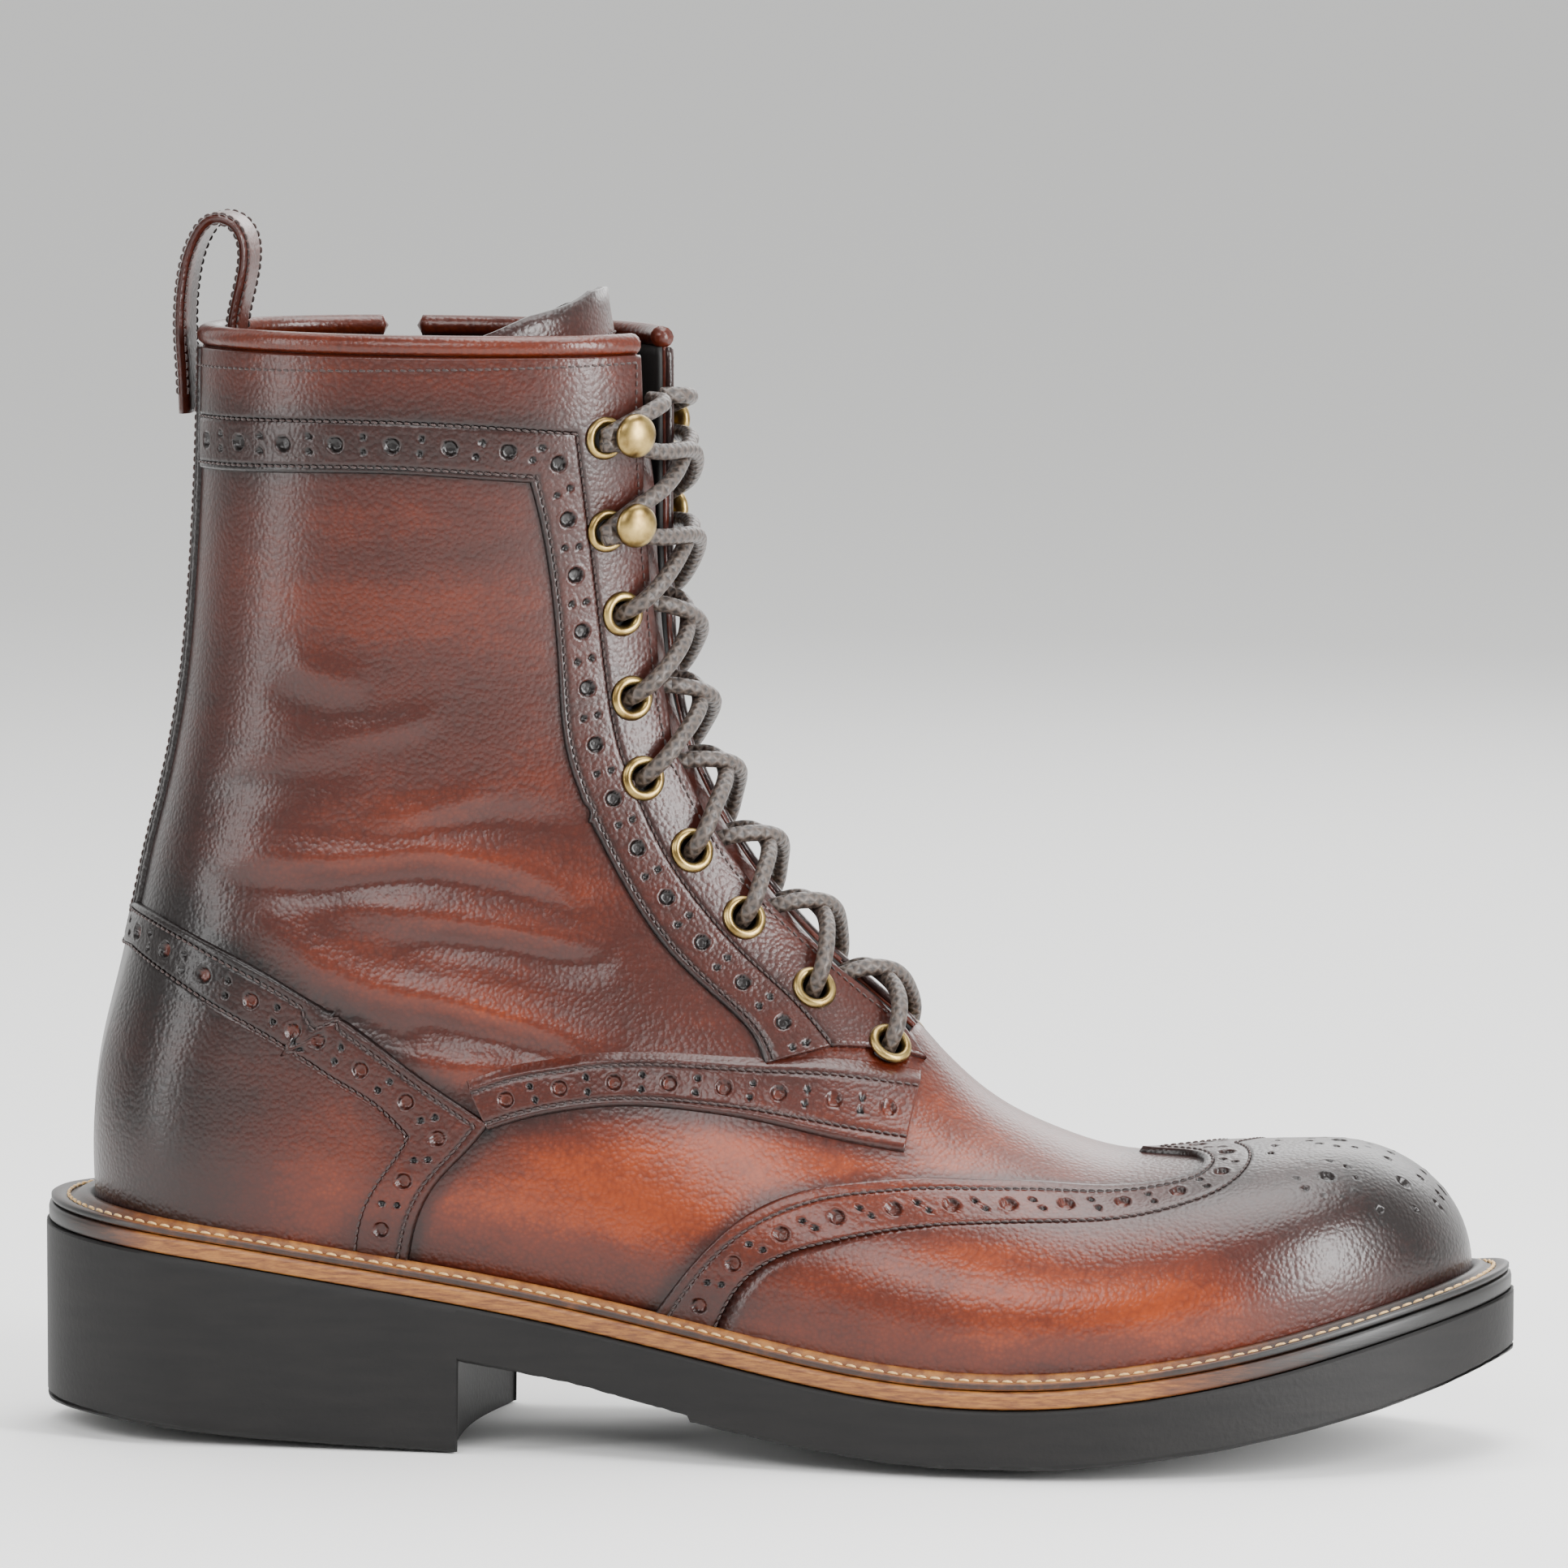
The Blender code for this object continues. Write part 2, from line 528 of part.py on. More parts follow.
def shell(name, outer, inner, material, keep=None):
    """A solid between two grids of points. keep marks the cells that stay, and open edges get walls."""
    rows, columns = outer.shape[:2]
    flat_outer = outer.reshape(-1, 3)
    flat_inner = inner.reshape(-1, 3)
    apart = ((flat_outer[:, None, :] - flat_outer[None, :, :]) ** 2).sum(axis=-1)
    root = np.argmax(apart < 0.003**2, axis=1)
    count = rows * columns
    faces = []
    edges = {}
    for i in range(rows - 1):
        for j in range(columns - 1):
            if keep is not None and not keep[i, j]:
                continue
            loop = [root[i * columns + j], root[i * columns + j + 1],
                    root[(i + 1) * columns + j + 1], root[(i + 1) * columns + j]]
            ring = [int(v) for k, v in enumerate(loop) if v != loop[k - 1]]
            if len(set(ring)) < 3:
                continue
            faces.append(ring)
            for k, v in enumerate(ring):
                edges[(ring[k - 1], v)] = edges.get((ring[k - 1], v), 0) + 1
    walls = [(a, b) for a, b in edges if (b, a) not in edges]
    solid = [face for face in faces]
    solid += [[v + count for v in reversed(face)] for face in faces]
    solid += [[b, a, a + count, b + count] for a, b in walls]
    used = sorted({v for face in solid for v in face})
    place = {v: k for k, v in enumerate(used)}
    points = np.concatenate([flat_outer, flat_inner])[used]
    return add_object(name, points, [[place[v] for v in face] for face in solid], material)


def patch(name, s, v, low, high, material, keep=None, floor=None):
    """An overlay: the cells of a grid of (s, v) between two heights over the upper's surface.

    floor keeps every point that far above the feather line's height.
    """
    spot = surface(s, v)
    out = normal(s, v)
    low = spot + out * np.broadcast_to(np.asarray(low, float), s.shape)[..., None]
    high = spot + out * np.broadcast_to(np.asarray(high, float), s.shape)[..., None]
    if floor is not None:
        for grid in (low, high):
            grid[..., 2] = np.maximum(grid[..., 2], feather_z(grid[..., 0]) + floor)
    return shell(name, high, low, material, keep)


def ruled(first, second, steps):
    """Grid between two curves of (s, v), with one row per pair and the given steps across."""
    first, second = np.asarray(first, float), np.asarray(second, float)
    share = np.asarray(steps, float)[None, :, None]
    grid = first[:, None, :] * (1 - share) + second[:, None, :] * share
    return grid[..., 0], grid[..., 1]


def denser(rows, parts):
    """Adds evenly spaced rows between the rows of a table of numbers."""
    rows = np.asarray(rows, float)
    out = [rows[0]]
    for a, b in zip(rows[:-1], rows[1:]):
        out += [a + (b - a) * k / parts for k in range(1, parts + 1)]
    return np.array(out)


def tube_points(path, radius, sides):
    """Rings of points round a path, carried along without twist."""
    path = np.asarray(path, float)
    along = np.gradient(path, axis=0)
    along /= np.linalg.norm(along, axis=1, keepdims=True)
    side = np.cross(along[0], [0.31, 0.2, 0.93])
    side /= np.linalg.norm(side)
    rings = []
    for point, forward in zip(path, along):
        side = side - forward * (side @ forward)
        side /= np.linalg.norm(side)
        other = np.cross(forward, side)
        angle = np.arange(sides) * 2 * math.pi / sides
        rings.append(point + radius * (np.cos(angle)[:, None] * side + np.sin(angle)[:, None] * other))
    return np.array(rings)


def ringed(name, rings, material):
    """A closed solid skinned over rings of points, with flat ends."""
    count, sides = rings.shape[:2]
    faces = []
    for i in range(count - 1):
        for j in range(sides):
            k = (j + 1) % sides
            faces.append([i * sides + j, i * sides + k, (i + 1) * sides + k, (i + 1) * sides + j])
    faces.append(list(range(sides))[::-1])
    faces.append([(count - 1) * sides + j for j in range(sides)])
    return add_object(name, rings.reshape(-1, 3), faces, material)


def smooth_path(points, count):
    """A curve through points, read evenly by a spline over their running length."""
    points = np.asarray(points, float)
    run = np.concatenate([[0], np.cumsum(np.linalg.norm(np.diff(points, axis=0), axis=1))])
    at = np.linspace(0, run[-1], count)
    return np.stack([spline(at, run, points[:, k]) for k in range(3)], axis=1)


def joined(name, first, second):
    """The union of two overlapping objects, kept as the first."""
    union = first.modifiers.new("union", "BOOLEAN")
    union.operation = "UNION"
    union.solver = "EXACT"
    union.object = second
    ready = first.evaluated_get(bpy.context.evaluated_depsgraph_get())
    mesh = bpy.data.meshes.new_from_object(ready)
    first.modifiers.remove(union)
    first.data = mesh
    first.name = name
    bpy.data.objects.remove(second)
    return first


def frame_at(s, v):
    """Surface point, normal, and the two directions along the surface: forward to the ridge, and up."""
    spot, out = surface(s, v), normal(s, v)
    step = 0.01 if v < 0 else -0.01
    ahead = surface(s, v + step) - spot
    ahead -= out * (ahead @ out)
    ahead /= np.linalg.norm(ahead)
    return spot, out, ahead


def build_sole(rubber, welt_leather, lining):
    x_top = np.array([0, 1.2, 4.5, 10, 18, 28, 40, 52, 70, 92, 97, 118, 136, 143, 146, 165, 185, 198, 220, 238,
                      254, 270, 283, 293, 301, 306.5, 309], float)
    x_low = x_top.copy()
    x_low[9], x_low[10], x_low[13], x_low[14] = BREAST_X, BREAST_X + 3.0, TREAD_STEP_X - 0.5, TREAD_STEP_X + 0.5
    across = np.array([-1, -0.8, -0.55, -0.3, 0, 0.3, 0.55, 0.8, 1.0])
    ground = np.concatenate([table_of(x_low[:10], HEEL_GROUND, 1), table_of(x_low[10:14], ARCH_GROUND, 1),
                             table_of(x_low[14:], TREAD_GROUND, 1)])
    crown = np.concatenate([table_of(x_low[:10], HEEL_GROUND, 2), table_of(x_low[10:14], ARCH_GROUND, 2),
                            table_of(x_low[14:], TREAD_GROUND, 2)])

    def half(x):
        return np.where(across[None, :] < 0, sole_half_width(x, -1)[:, None], sole_half_width(x, 1)[:, None])

    lift = np.clip((np.abs(across) - 0.55) / 0.45, 0, 1)[None, :] ** 2
    lift = np.where(half(x_low)[:, :1] < 1e-6, 1.0, lift)
    hollow = np.zeros(len(x_low))
    hollow[[8, 9, 10, 11]] = 0.3 * BREAST_HOLLOW, BREAST_HOLLOW, BREAST_HOLLOW, 0.3 * BREAST_HOLLOW
    x_grid = x_low[:, None] - hollow[:, None] * (1 - across[None, :] ** 2)
    low = np.stack([x_grid, swing(x_grid) + across * half(x_low),
                    ground[:, None] + crown[:, None] * lift], axis=-1)
    x_grid = x_top[:, None] * np.ones_like(across)
    top = np.stack([x_grid, swing(x_grid) + across * half(x_top), rim_z(x_grid)], axis=-1)
    shell("outsole", top, low, rubber)

    def slab(name, start, end, half_width, low_z, high_z, material):
        u = (1 - np.cos(np.linspace(0, math.pi, 23))) / 2
        x = start + (end - start) * u
        cells = np.array([-1, -0.6, 0, 0.6, 1.0])
        wide = np.where(cells[None, :] < 0, half_width(x, -1)[:, None], half_width(x, 1)[:, None])
        grid_x = x[:, None] * np.ones_like(cells)
        grid_y = swing(grid_x) + cells * wide
        shell(name, np.stack([grid_x, grid_y, high_z(grid_x)], axis=-1),
              np.stack([grid_x, grid_y, low_z(grid_x)], axis=-1), material)

    def midsole_half(x, side):
        u = (x - EDGE_SET_BACK) / (SOLE_LENGTH - 2 * EDGE_SET_BACK)
        return np.maximum(sole_half_width(u * SOLE_LENGTH, side) - EDGE_SET_BACK * (u * (1 - u) > 1e-9), 0)

    slab("midsole", EDGE_SET_BACK, SOLE_LENGTH - EDGE_SET_BACK, midsole_half,
         lambda x: rim_z(x) + LAYER_GAP, lambda x: rim_z(x) + LAYER_GAP + MIDSOLE_THICK, welt_leather)
    inset = WALL + 1.0

    def insole_half(x, side):
        u = (x - FEATHER_HEEL_X - inset) / (FEATHER_TOE_X - FEATHER_HEEL_X - 2 * inset)
        place = FEATHER_HEEL_X + u * (FEATHER_TOE_X - FEATHER_HEEL_X)
        return np.maximum(feather_half_width(place, side) - inset * (u * (1 - u) > 1e-9), 0)

    slab("insole", FEATHER_HEEL_X + inset, FEATHER_TOE_X - inset, insole_half, feather_z,
         lambda x: feather_z(x) + INSOLE_THICK, lining)

    u = (1 - np.cos(np.linspace(0, math.pi, 25))) / 2
    out_step = OVERLAY_HIGH + 0.6
    swell = 0.25
    loops = []
    for side, share in ((-1, u), (1, u[::-1])):
        x_out = 2 * EDGE_SET_BACK + (SOLE_LENGTH - 4 * EDGE_SET_BACK) * share
        w_out = np.maximum(sole_half_width(share * SOLE_LENGTH, side) - 2 * EDGE_SET_BACK, 0)
        x_in = FEATHER_HEEL_X - out_step + (FEATHER_TOE_X - FEATHER_HEEL_X + 2 * out_step) * share
        place = FEATHER_HEEL_X + share * (FEATHER_TOE_X - FEATHER_HEEL_X)
        width = table_of(place, SECTIONS, 4 if side < 0 else 5)
        full = table_spline(place, PLAN, 1 if side < 0 else 2) - FEATHER_INSET
        w_in = feather_half_width(place, side) + (out_step + swell * np.clip(width - full, 0, None)) * (
            share * (1 - share) > 1e-9)
        loops.append((x_out, side * w_out, x_in, side * w_in))
    x_out, y_out, x_in, y_in = (np.concatenate([loops[0][k], loops[1][k][1:]]) for k in range(4))
    base = feather_z(x_out), feather_z(x_in)
    high = np.stack([np.stack([x_out, swing(x_out) + y_out, base[0] + WELT_THICK], axis=-1),
                     np.stack([x_in, swing(x_in) + y_in, base[1] + WELT_THICK + 0.8], axis=-1)], axis=1)
    low = np.stack([np.stack([x_out, swing(x_out) + y_out, base[0]], axis=-1),
                    np.stack([x_in, swing(x_in) + y_in, base[1]], axis=-1)], axis=1)
    shell("welt", high, low, welt_leather)


TOE_STATIONS = (0, 0.04, 0.16, 0.4, 0.8, 1.4, 2.1, 3.0, 4.0)
SIDE_WEIGHTS = np.array([0, 0.054, 0.14, 0.25, 0.37, 0.49, 0.6, 0.71, 0.81, 0.91, 1.0])
FRONT_WEIGHTS = np.array([0, 0.16, 0.33, 0.5, 0.67, 0.84, 1.0])
REAR_WEIGHTS = np.array([0, 0.3, 0.6, 0.85, 1.0])


def upper_columns(s):
    """v of the upper's columns: outer side, ridge, throat to zip, and zip to heel. Slots lie between them."""
    edge, edge_far = throat_v(s, -1), throat_v(s, 1)
    zip_s = np.maximum(s, ZIP_LOW_STATION)
    zip_front = v_of_side_x(zip_s, ZIP_X + ZIP_SLOT_HALF, 1)
    zip_rear = v_of_side_x(zip_s, ZIP_X - ZIP_SLOT_HALF, 1)
    lateral = -1 + (1 - edge)[:, None] * SIDE_WEIGHTS
    front = edge_far[:, None] + (zip_front - edge_far)[:, None] * FRONT_WEIGHTS
    rear = zip_rear[:, None] + (1 - zip_rear)[:, None] * REAR_WEIGHTS
    return np.concatenate([lateral, 0 * edge[:, None], front, rear], axis=1)


def build_upper(leather):
    toe = list(TOE_STATIONS) + [5.0, 6.0, 7.2, 8.1]
    middle = [THROAT_START, 9.4, 10.1, 11.0, 12.1, 13.2, 14.2, 14.9, 15.4, 15.75, 15.95, CORNER]
    shaft = [16.6, ZIP_LOW_STATION, 17.7, 18.4, 19.2, 20.3, 21.4, 22.5, 23.6, 24.7, COLLAR]
    s = np.array(toe + middle + shaft)
    v = upper_columns(s)
    grid_s = s[:, None] * np.ones_like(v)
    keep = np.ones((len(s) - 1, v.shape[1] - 1), bool)
    throat_cells = (len(SIDE_WEIGHTS) - 1, len(SIDE_WEIGHTS))
    zip_cell = len(SIDE_WEIGHTS) + len(FRONT_WEIGHTS)
    for cell in throat_cells:
        keep[s[:-1] >= THROAT_START - 1e-9, cell] = False
    keep[s[:-1] >= ZIP_LOW_STATION - 1e-9, zip_cell] = False
    patch("upper", grid_s, v, -WALL, 0.0, leather, keep)


def build_tongue(leather):
    q = np.array([0, 0.06, 0.13, 0.2, 0.28, 0.36, 0.44, 0.52, 0.6, 0.68, 0.76, 0.83, 0.89, 0.95, 1.0])
    across = np.array([-1, -0.72, -0.45, -0.2, 0, 0.2, 0.45, 0.72, 1.0])
    s = TONGUE_START + q * (26.7 - TONGUE_START)
    v = across * table_of(s, TONGUE_WIDTH, 1)[:, None]
    top = table_of(np.abs(v), TONGUE_TOP, 1)
    s = TONGUE_START + q[:, None] * (top - TONGUE_START)
    bend = TONGUE_BEND * np.clip((s - 22.0) / 4.6, 0, 1) ** 1.5 * np.clip(1 - (v / 0.36) ** 2, 0, 1)
    high = -(WALL + TONGUE_CLEAR) - bend - 1.2 * np.clip((s - 23.8) / 1.2, 0, 1)
    patch("tongue", s, v, high - TONGUE_THICK, high, leather)


def build_overlays(leather, dark):
    v = upper_columns(np.array([0.0]))[0]
    v = np.clip(v, -OVERLAY_FOOT, OVERLAY_FOOT)
    edge = np.maximum(table_of(np.abs(v), WING, 1), TOE_STATIONS[-1] + 0.1)
    q = np.array([0, 0.2, 0.4, 0.6, 0.8, 1.0])[1:, None]
    last = TOE_STATIONS[-1]
    grid_s = np.concatenate([np.array(TOE_STATIONS)[:, None] * np.ones_like(v), last + q * (edge - last)])
    grid_v = v[None, :] * np.ones((len(grid_s), 1))
    patch("wing_cap", grid_s, grid_v, OVERLAY_LOW, OVERLAY_HIGH, leather, floor=0.3)

    steps = np.array([0, 0.1, 0.22, 0.36, 0.52, 0.68, 0.84, 1.0])
    columns = []
    for side, rows in ((-1, COUNTER), (1, COUNTER[::-1])):
        for low_x, high_x, high_z in rows:
            low_z = float(feather_z(low_x)) + 0.9
            z = low_z + steps * (high_z - low_z)
            near = np.sqrt(low_x - back_x(low_z)) * (1 - steps) + np.sqrt(high_x - back_x(high_z)) * steps
            columns.append(located(back_x(z) + near**2, z, side))
        if side < 0:
            low_z = float(feather_z(FEATHER_HEEL_X)) + 0.9
            s = np.array([station_of_back(z) for z in low_z + steps * (COUNTER_BACK_Z - low_z)])
            columns.append((s, -np.ones(len(s))))
    s = np.array([column[0] for column in columns])
    v = np.array([column[1] for column in columns])
    patch("heel_counter", s, v, OVERLAY_LOW + 0.1, OVERLAY_HIGH + 0.1, leather, floor=0.3)

    s = np.linspace(station_of_back(BACKSTAY_LOW_Z), station_of_back(BACKSTAY_HIGH_Z), 11)
    v = 1 + BACKSTAY_V * np.array([-1, -0.5, 0, 0.5, 1.0])
    patch("backstay", s[:, None] * np.ones(5), v[None, :] * np.ones((11, 1)), OVERLAY_LOW, OVERLAY_HIGH, dark)

    for side, word in ((-1, "lateral"), (1, "medial")):
        s_rear, v_rear = located([row[0] for row in FACING], [row[1] for row in FACING], side)
        pairs = []
        for k, row in enumerate(FACING):
            front = row[3] if row[3] is not None else throat_v(row[2], side)
            pairs.append((s_rear[k], v_rear[k], row[2], side * front))
        pairs = np.concatenate([denser(pairs[:3], 4), pairs[3:]])
        s, v = ruled(pairs[:, :2], pairs[:, 2:], [0, 0.25, 0.5, 0.78, 1.0])
        patch("facing_" + word, s, v, OVERLAY_LOW + 0.15, OVERLAY_HIGH + 0.1, leather)
        bands = [("quarter_band_" + word, QUARTER_BAND)]
        if side < 0:
            whole = CUFF_BAND + ((70.0, 213.8, 70.0, 204.4),) + CUFF_BAND_FRONT
            bands.append(("cuff_band_lateral", whole))
        else:
            bands += [("cuff_band_medial_rear", CUFF_BAND), ("cuff_band_medial_front", CUFF_BAND_FRONT)]
        for name, rows in bands:
            rows = denser(rows, 2)
            first = np.stack(located([row[0] for row in rows], [row[1] for row in rows], side), axis=1)
            second = np.stack(located([row[2] for row in rows], [row[3] for row in rows], side), axis=1)
            s, v = ruled(first, second, [0, 0.5, 1.0])
            patch(name, s, v, OVERLAY_LOW, OVERLAY_HIGH, dark)


def build_collar(leather, dark):
    def path(v):
        spot = surface(COLLAR, v)
        out = normal(COLLAR, v)
        return spot - out * WALL / 2 + np.array([0, 0, BINDING_RADIUS + 0.35])

    front_near = -throat_v(COLLAR, -1) - 0.004
    front_far = throat_v(COLLAR, 1) + 0.004
    zip_v = v_of_side_x(np.array([COLLAR, COLLAR]), ZIP_X - ZIP_SLOT_HALF - 1.0, 1)[0]
    zip_v_front = v_of_side_x(np.array([COLLAR, COLLAR]), ZIP_X + ZIP_SLOT_HALF + 1.0, 1)[0]
    v = np.concatenate([np.linspace(front_near, -1, 17), np.linspace(1, zip_v, 8)[1:]])
    ringed("collar_binding_rear", tube_points(path(v), BINDING_RADIUS, 7), leather)
    v = np.linspace(front_far, zip_v_front, 9)
    ringed("collar_binding_front", tube_points(path(v), BINDING_RADIUS, 7), leather)

    points = np.array([(x, 0.0, z) for x, z in LOOP])
    middle = smooth_path(points, 21)
    along = np.gradient(middle, axis=0)
    along /= np.linalg.norm(along, axis=1, keepdims=True)
    out = np.stack([-along[:, 2], np.zeros(len(along)), along[:, 0]], axis=1)
    wide = np.array([-0.5, 0.5]) * LOOP_WIDTH
    grid = middle[:, None, :] + wide[None, :, None] * np.array([0, 1.0, 0])
    shell("pull_loop", grid + out[:, None, :] * LOOP_THICK / 2, grid - out[:, None, :] * LOOP_THICK / 2, dark)


def build_eyelets(brass):
    base = OVERLAY_HIGH + 0.3
    for side, word in ((-1, "lateral"), (1, "medial")):
        for k, (station, share) in enumerate(EYELET_ROWS):
            spot, out, ahead = frame_at(station, side * share)
            up = np.cross(out, ahead)
            angle = np.linspace(0, 2 * math.pi, 11)
            turn = np.cos(angle)[:, None] * ahead + np.sin(angle)[:, None] * up
            radii = np.array([EYELET_HOLE, EYELET_OUTER])
            ring = spot + radii[None, :, None] * turn[:, None, :]
            shell(f"eyelet_{word}_{k + 1}", ring + out * (base + EYELET_THICK), ring + out * base, brass)
        for k, (station, share) in enumerate(HOOK_ROWS):
            spot, out, ahead = frame_at(station, side * share)
            up = np.cross(out, ahead)
            angle = np.arange(10) * math.pi / 5
            turn = np.cos(angle)[:, None] * ahead + np.sin(angle)[:, None] * up
            rings = np.array([spot + ahead * forward + out * height + turn * radius
                              for radius, height, forward in HOOK])
            ringed(f"hook_{word}_{k + 1}", rings, brass)


def lace_point(s, v, height):
    return surface(s, v) + normal(s, v) * height


def build_laces(cord):
    rows = EYELET_ROWS + HOOK_ROWS
    for k in range(len(rows) - 1):
        strands = []
        for side in (-1, 1):
            s0, v0 = rows[k]
            s1, v1 = rows[k + 1]
            ds = s1 - s0
            edge_near = throat_v(s0, side)
            edge_far = throat_v(s0 + 0.9 * ds, -side)
            if k < 7:
                start = [(s0, v0, 3.3), (s0, v0, 4.9), (s0 + 0.08 * ds, v0 - 0.25 * (v0 - edge_near), 5.3)]
            else:
                start = [(s0 + 0.14 * ds, v0 - 0.040, 4.5)]
            start.append((s0 + 0.24 * ds, edge_near, 4.9))
            if k < 6:
                finish = [(s0 + 0.80 * ds, -0.62 * edge_far, 0.6), (s0 + 0.88 * ds, -0.84 * edge_far, -0.3)]
            else:
                finish = [(s0 + 0.72 * ds, -edge_far, 4.9), (s0 + 0.9 * ds, -v1 + 0.040, 4.5)]
            middle = [(s0 + 0.52 * ds, 0.0, 2.6 if k < 6 else 4.2)]
            path = [lace_point(a, side * b, h) for a, b, h in start + middle + finish]
            strands.append(ringed("strand", tube_points(smooth_path(path, 10), LACE_RADIUS, 6), cord))
        joined(f"lace_crossing_{k + 1}", strands[0], strands[1])
    s0, v0 = HOOK_ROWS[1]
    for side, word in ((-1, "lateral"), (1, "medial")):
        edge = throat_v(s0, side)
        path = [lace_point(a, side * b, h) for a, b, h in (
            (s0 + 0.3, v0 - 0.033, 4.5), (s0 + 0.45, edge, 4.7), (s0 + 0.5, edge - 0.045, 1.6),
            (s0 + 0.5, edge - 0.055, -1.8))]
        ringed("lace_end_" + word, tube_points(smooth_path(path, 8), LACE_RADIUS, 6), cord)


def block(name, low, high, spot, axes, material):
    """A box between two corners, measured along three directions from a spot."""
    corners = np.array([[x, y, z] for x in (low[0], high[0]) for y in (low[1], high[1]) for z in (low[2], high[2])])
    faces = [[0, 1, 3, 2], [4, 6, 7, 5], [0, 4, 5, 1], [2, 3, 7, 6], [0, 2, 6, 4], [1, 5, 7, 3]]
    return add_object(name, spot + corners @ axes, faces, material)


def build_zip(tape, steel):
    s = np.linspace(ZIP_LOW_STATION + 0.05, COLLAR - 0.02, 14)
    front = v_of_side_x(s, ZIP_X + ZIP_SLOT_HALF - 0.5, 1)
    rear = v_of_side_x(s, ZIP_X - ZIP_SLOT_HALF + 0.5, 1)
    v = front[:, None] + (rear - front)[:, None] * np.array([0, 0.5, 1.0])
    patch("zip_tape", s[:, None] * np.ones(3), v, -1.7, -0.5, tape)
    station, v_mid = located([ZIP_X], [SLIDER_Z], 1)
    spot, out = surface(station[0], v_mid[0]), normal(station[0], v_mid[0])
    across = np.array([1.0, 0, 0]) - out * out[0]
    across /= np.linalg.norm(across)
    up = np.cross(out, across)
    up *= np.sign(up[2])
    axes = np.array([across, up, out])
    body = block("zip_slider", [a for a, _ in SLIDER], [b for _, b in SLIDER], spot, axes, steel)
    plane = np.array([[[0.0, u, o] for o in ARCH_OUT] for u in ARCH_UP])
    keep = np.array([[True, True], [False, True], [True, True]])
    shift = np.array([ARCH_HALF_WIDTH, 0, 0])
    arch = shell("arch", spot + (plane + shift) @ axes, spot + (plane - shift) @ axes, steel, keep)
    joined("zip_slider", body, arch)
    plane = np.array([[[a, d, PIVOT_OUT] for a in PULL_ACROSS] for d in PULL_DOWN])
    keep = np.ones((len(PULL_DOWN) - 1, 3), bool)
    keep[1, 1] = False
    lift = np.array([0, 0, PULL_HALF_THICK])
    shell("zip_pull", spot + (plane + lift) @ axes, spot + (plane - lift) @ axes, steel, keep)
    pivot = spot + np.array([0, 0, PIVOT_OUT]) @ axes
    print("zip pull pivot mm", np.round(pivot, 3), "axis", np.round(across, 4), "out", np.round(out, 4))


def main():
    for old in list(bpy.data.objects):
        bpy.data.objects.remove(old)
    leather = new_material("brown calf leather", (0.20, 0.06, 0.025), 0.35)
    dark = new_material("dark brown calf leather", (0.09, 0.03, 0.02), 0.4)
    rubber = new_material("black rubber", (0.012, 0.011, 0.011), 0.6)
    welt_leather = new_material("tan welt leather", (0.33, 0.17, 0.08), 0.55)
    lining = new_material("black lining leather", (0.02, 0.018, 0.018), 0.7)
    brass = new_material("antique brass", (0.45, 0.35, 0.18), 0.35, 1.0)
    cord = new_material("waxed taupe cord", (0.12, 0.09, 0.075), 0.6)
    tape = new_material("black zip tape", (0.015, 0.015, 0.015), 0.8)
    steel = new_material("dark zip metal", (0.12, 0.11, 0.10), 0.4, 1.0)
    build_sole(rubber, welt_leather, lining)
    build_upper(leather)
    build_tongue(leather)
    build_overlays(leather, dark)
    build_collar(leather, dark)
    build_eyelets(brass)
    build_laces(cord)
    build_zip(tape, steel)
    low = np.full(3, 1e9)
    high = np.full(3, -1e9)
    count = 0
    for made in bpy.data.objects:
        made.data.transform(Matrix.Translation(Vector(SHIFT) * MM))
        points = np.array([v.co[:] for v in made.data.vertices])
        low, high = np.minimum(low, points.min(0)), np.maximum(high, points.max(0))
        count += len(made.data.polygons)
    print("bounds mm", np.round(low / MM, 3), np.round(high / MM, 3), "triangles", count)


if __name__ == "__main__":
    main()
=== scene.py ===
"""Looks of a brogue lace up ankle boot for the right foot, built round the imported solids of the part.

The boot's upper is one surface with two parameters, the same as in the part: a station that runs from the
toe up to the collar, and a share v across from the outer side over the ridge to the inner side. Every panel,
stitch, hole, eyelet and lace is placed on it. Tables are in millimetres from the heel's back, and points
become metres in the frame of the part when a mesh is made.
"""

import math

import bmesh
import bpy
import numpy as np
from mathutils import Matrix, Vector


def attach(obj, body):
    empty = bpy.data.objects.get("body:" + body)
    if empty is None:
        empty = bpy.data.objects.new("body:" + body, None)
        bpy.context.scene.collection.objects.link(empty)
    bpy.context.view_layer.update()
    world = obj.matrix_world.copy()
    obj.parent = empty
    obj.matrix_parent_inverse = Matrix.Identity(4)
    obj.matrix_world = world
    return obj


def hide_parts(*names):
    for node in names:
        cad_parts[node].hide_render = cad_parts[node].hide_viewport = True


bl_info = {
    "name": "Brogue Ankle Boot",
    "version": (1, 0, 0),
    "blender": (4, 5, 0),
    "location": "3D View > Sidebar > Boot",
    "description": "Builds the leather, stitching, laces and sole of a brogue ankle boot",
    "category": "Add Mesh",
}

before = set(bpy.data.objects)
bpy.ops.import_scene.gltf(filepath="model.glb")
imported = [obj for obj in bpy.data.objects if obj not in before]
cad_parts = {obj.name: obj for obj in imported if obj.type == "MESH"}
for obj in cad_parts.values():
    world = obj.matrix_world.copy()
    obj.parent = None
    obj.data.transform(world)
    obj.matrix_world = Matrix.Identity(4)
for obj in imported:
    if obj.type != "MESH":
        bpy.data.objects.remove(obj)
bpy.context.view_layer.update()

MM = 0.001
BODY = "boot"

# From the tables, which start at the heel's back, to the frame of the part: the middle of the box.
SHIFT = np.array((-154.5, 1.03, 0.0))

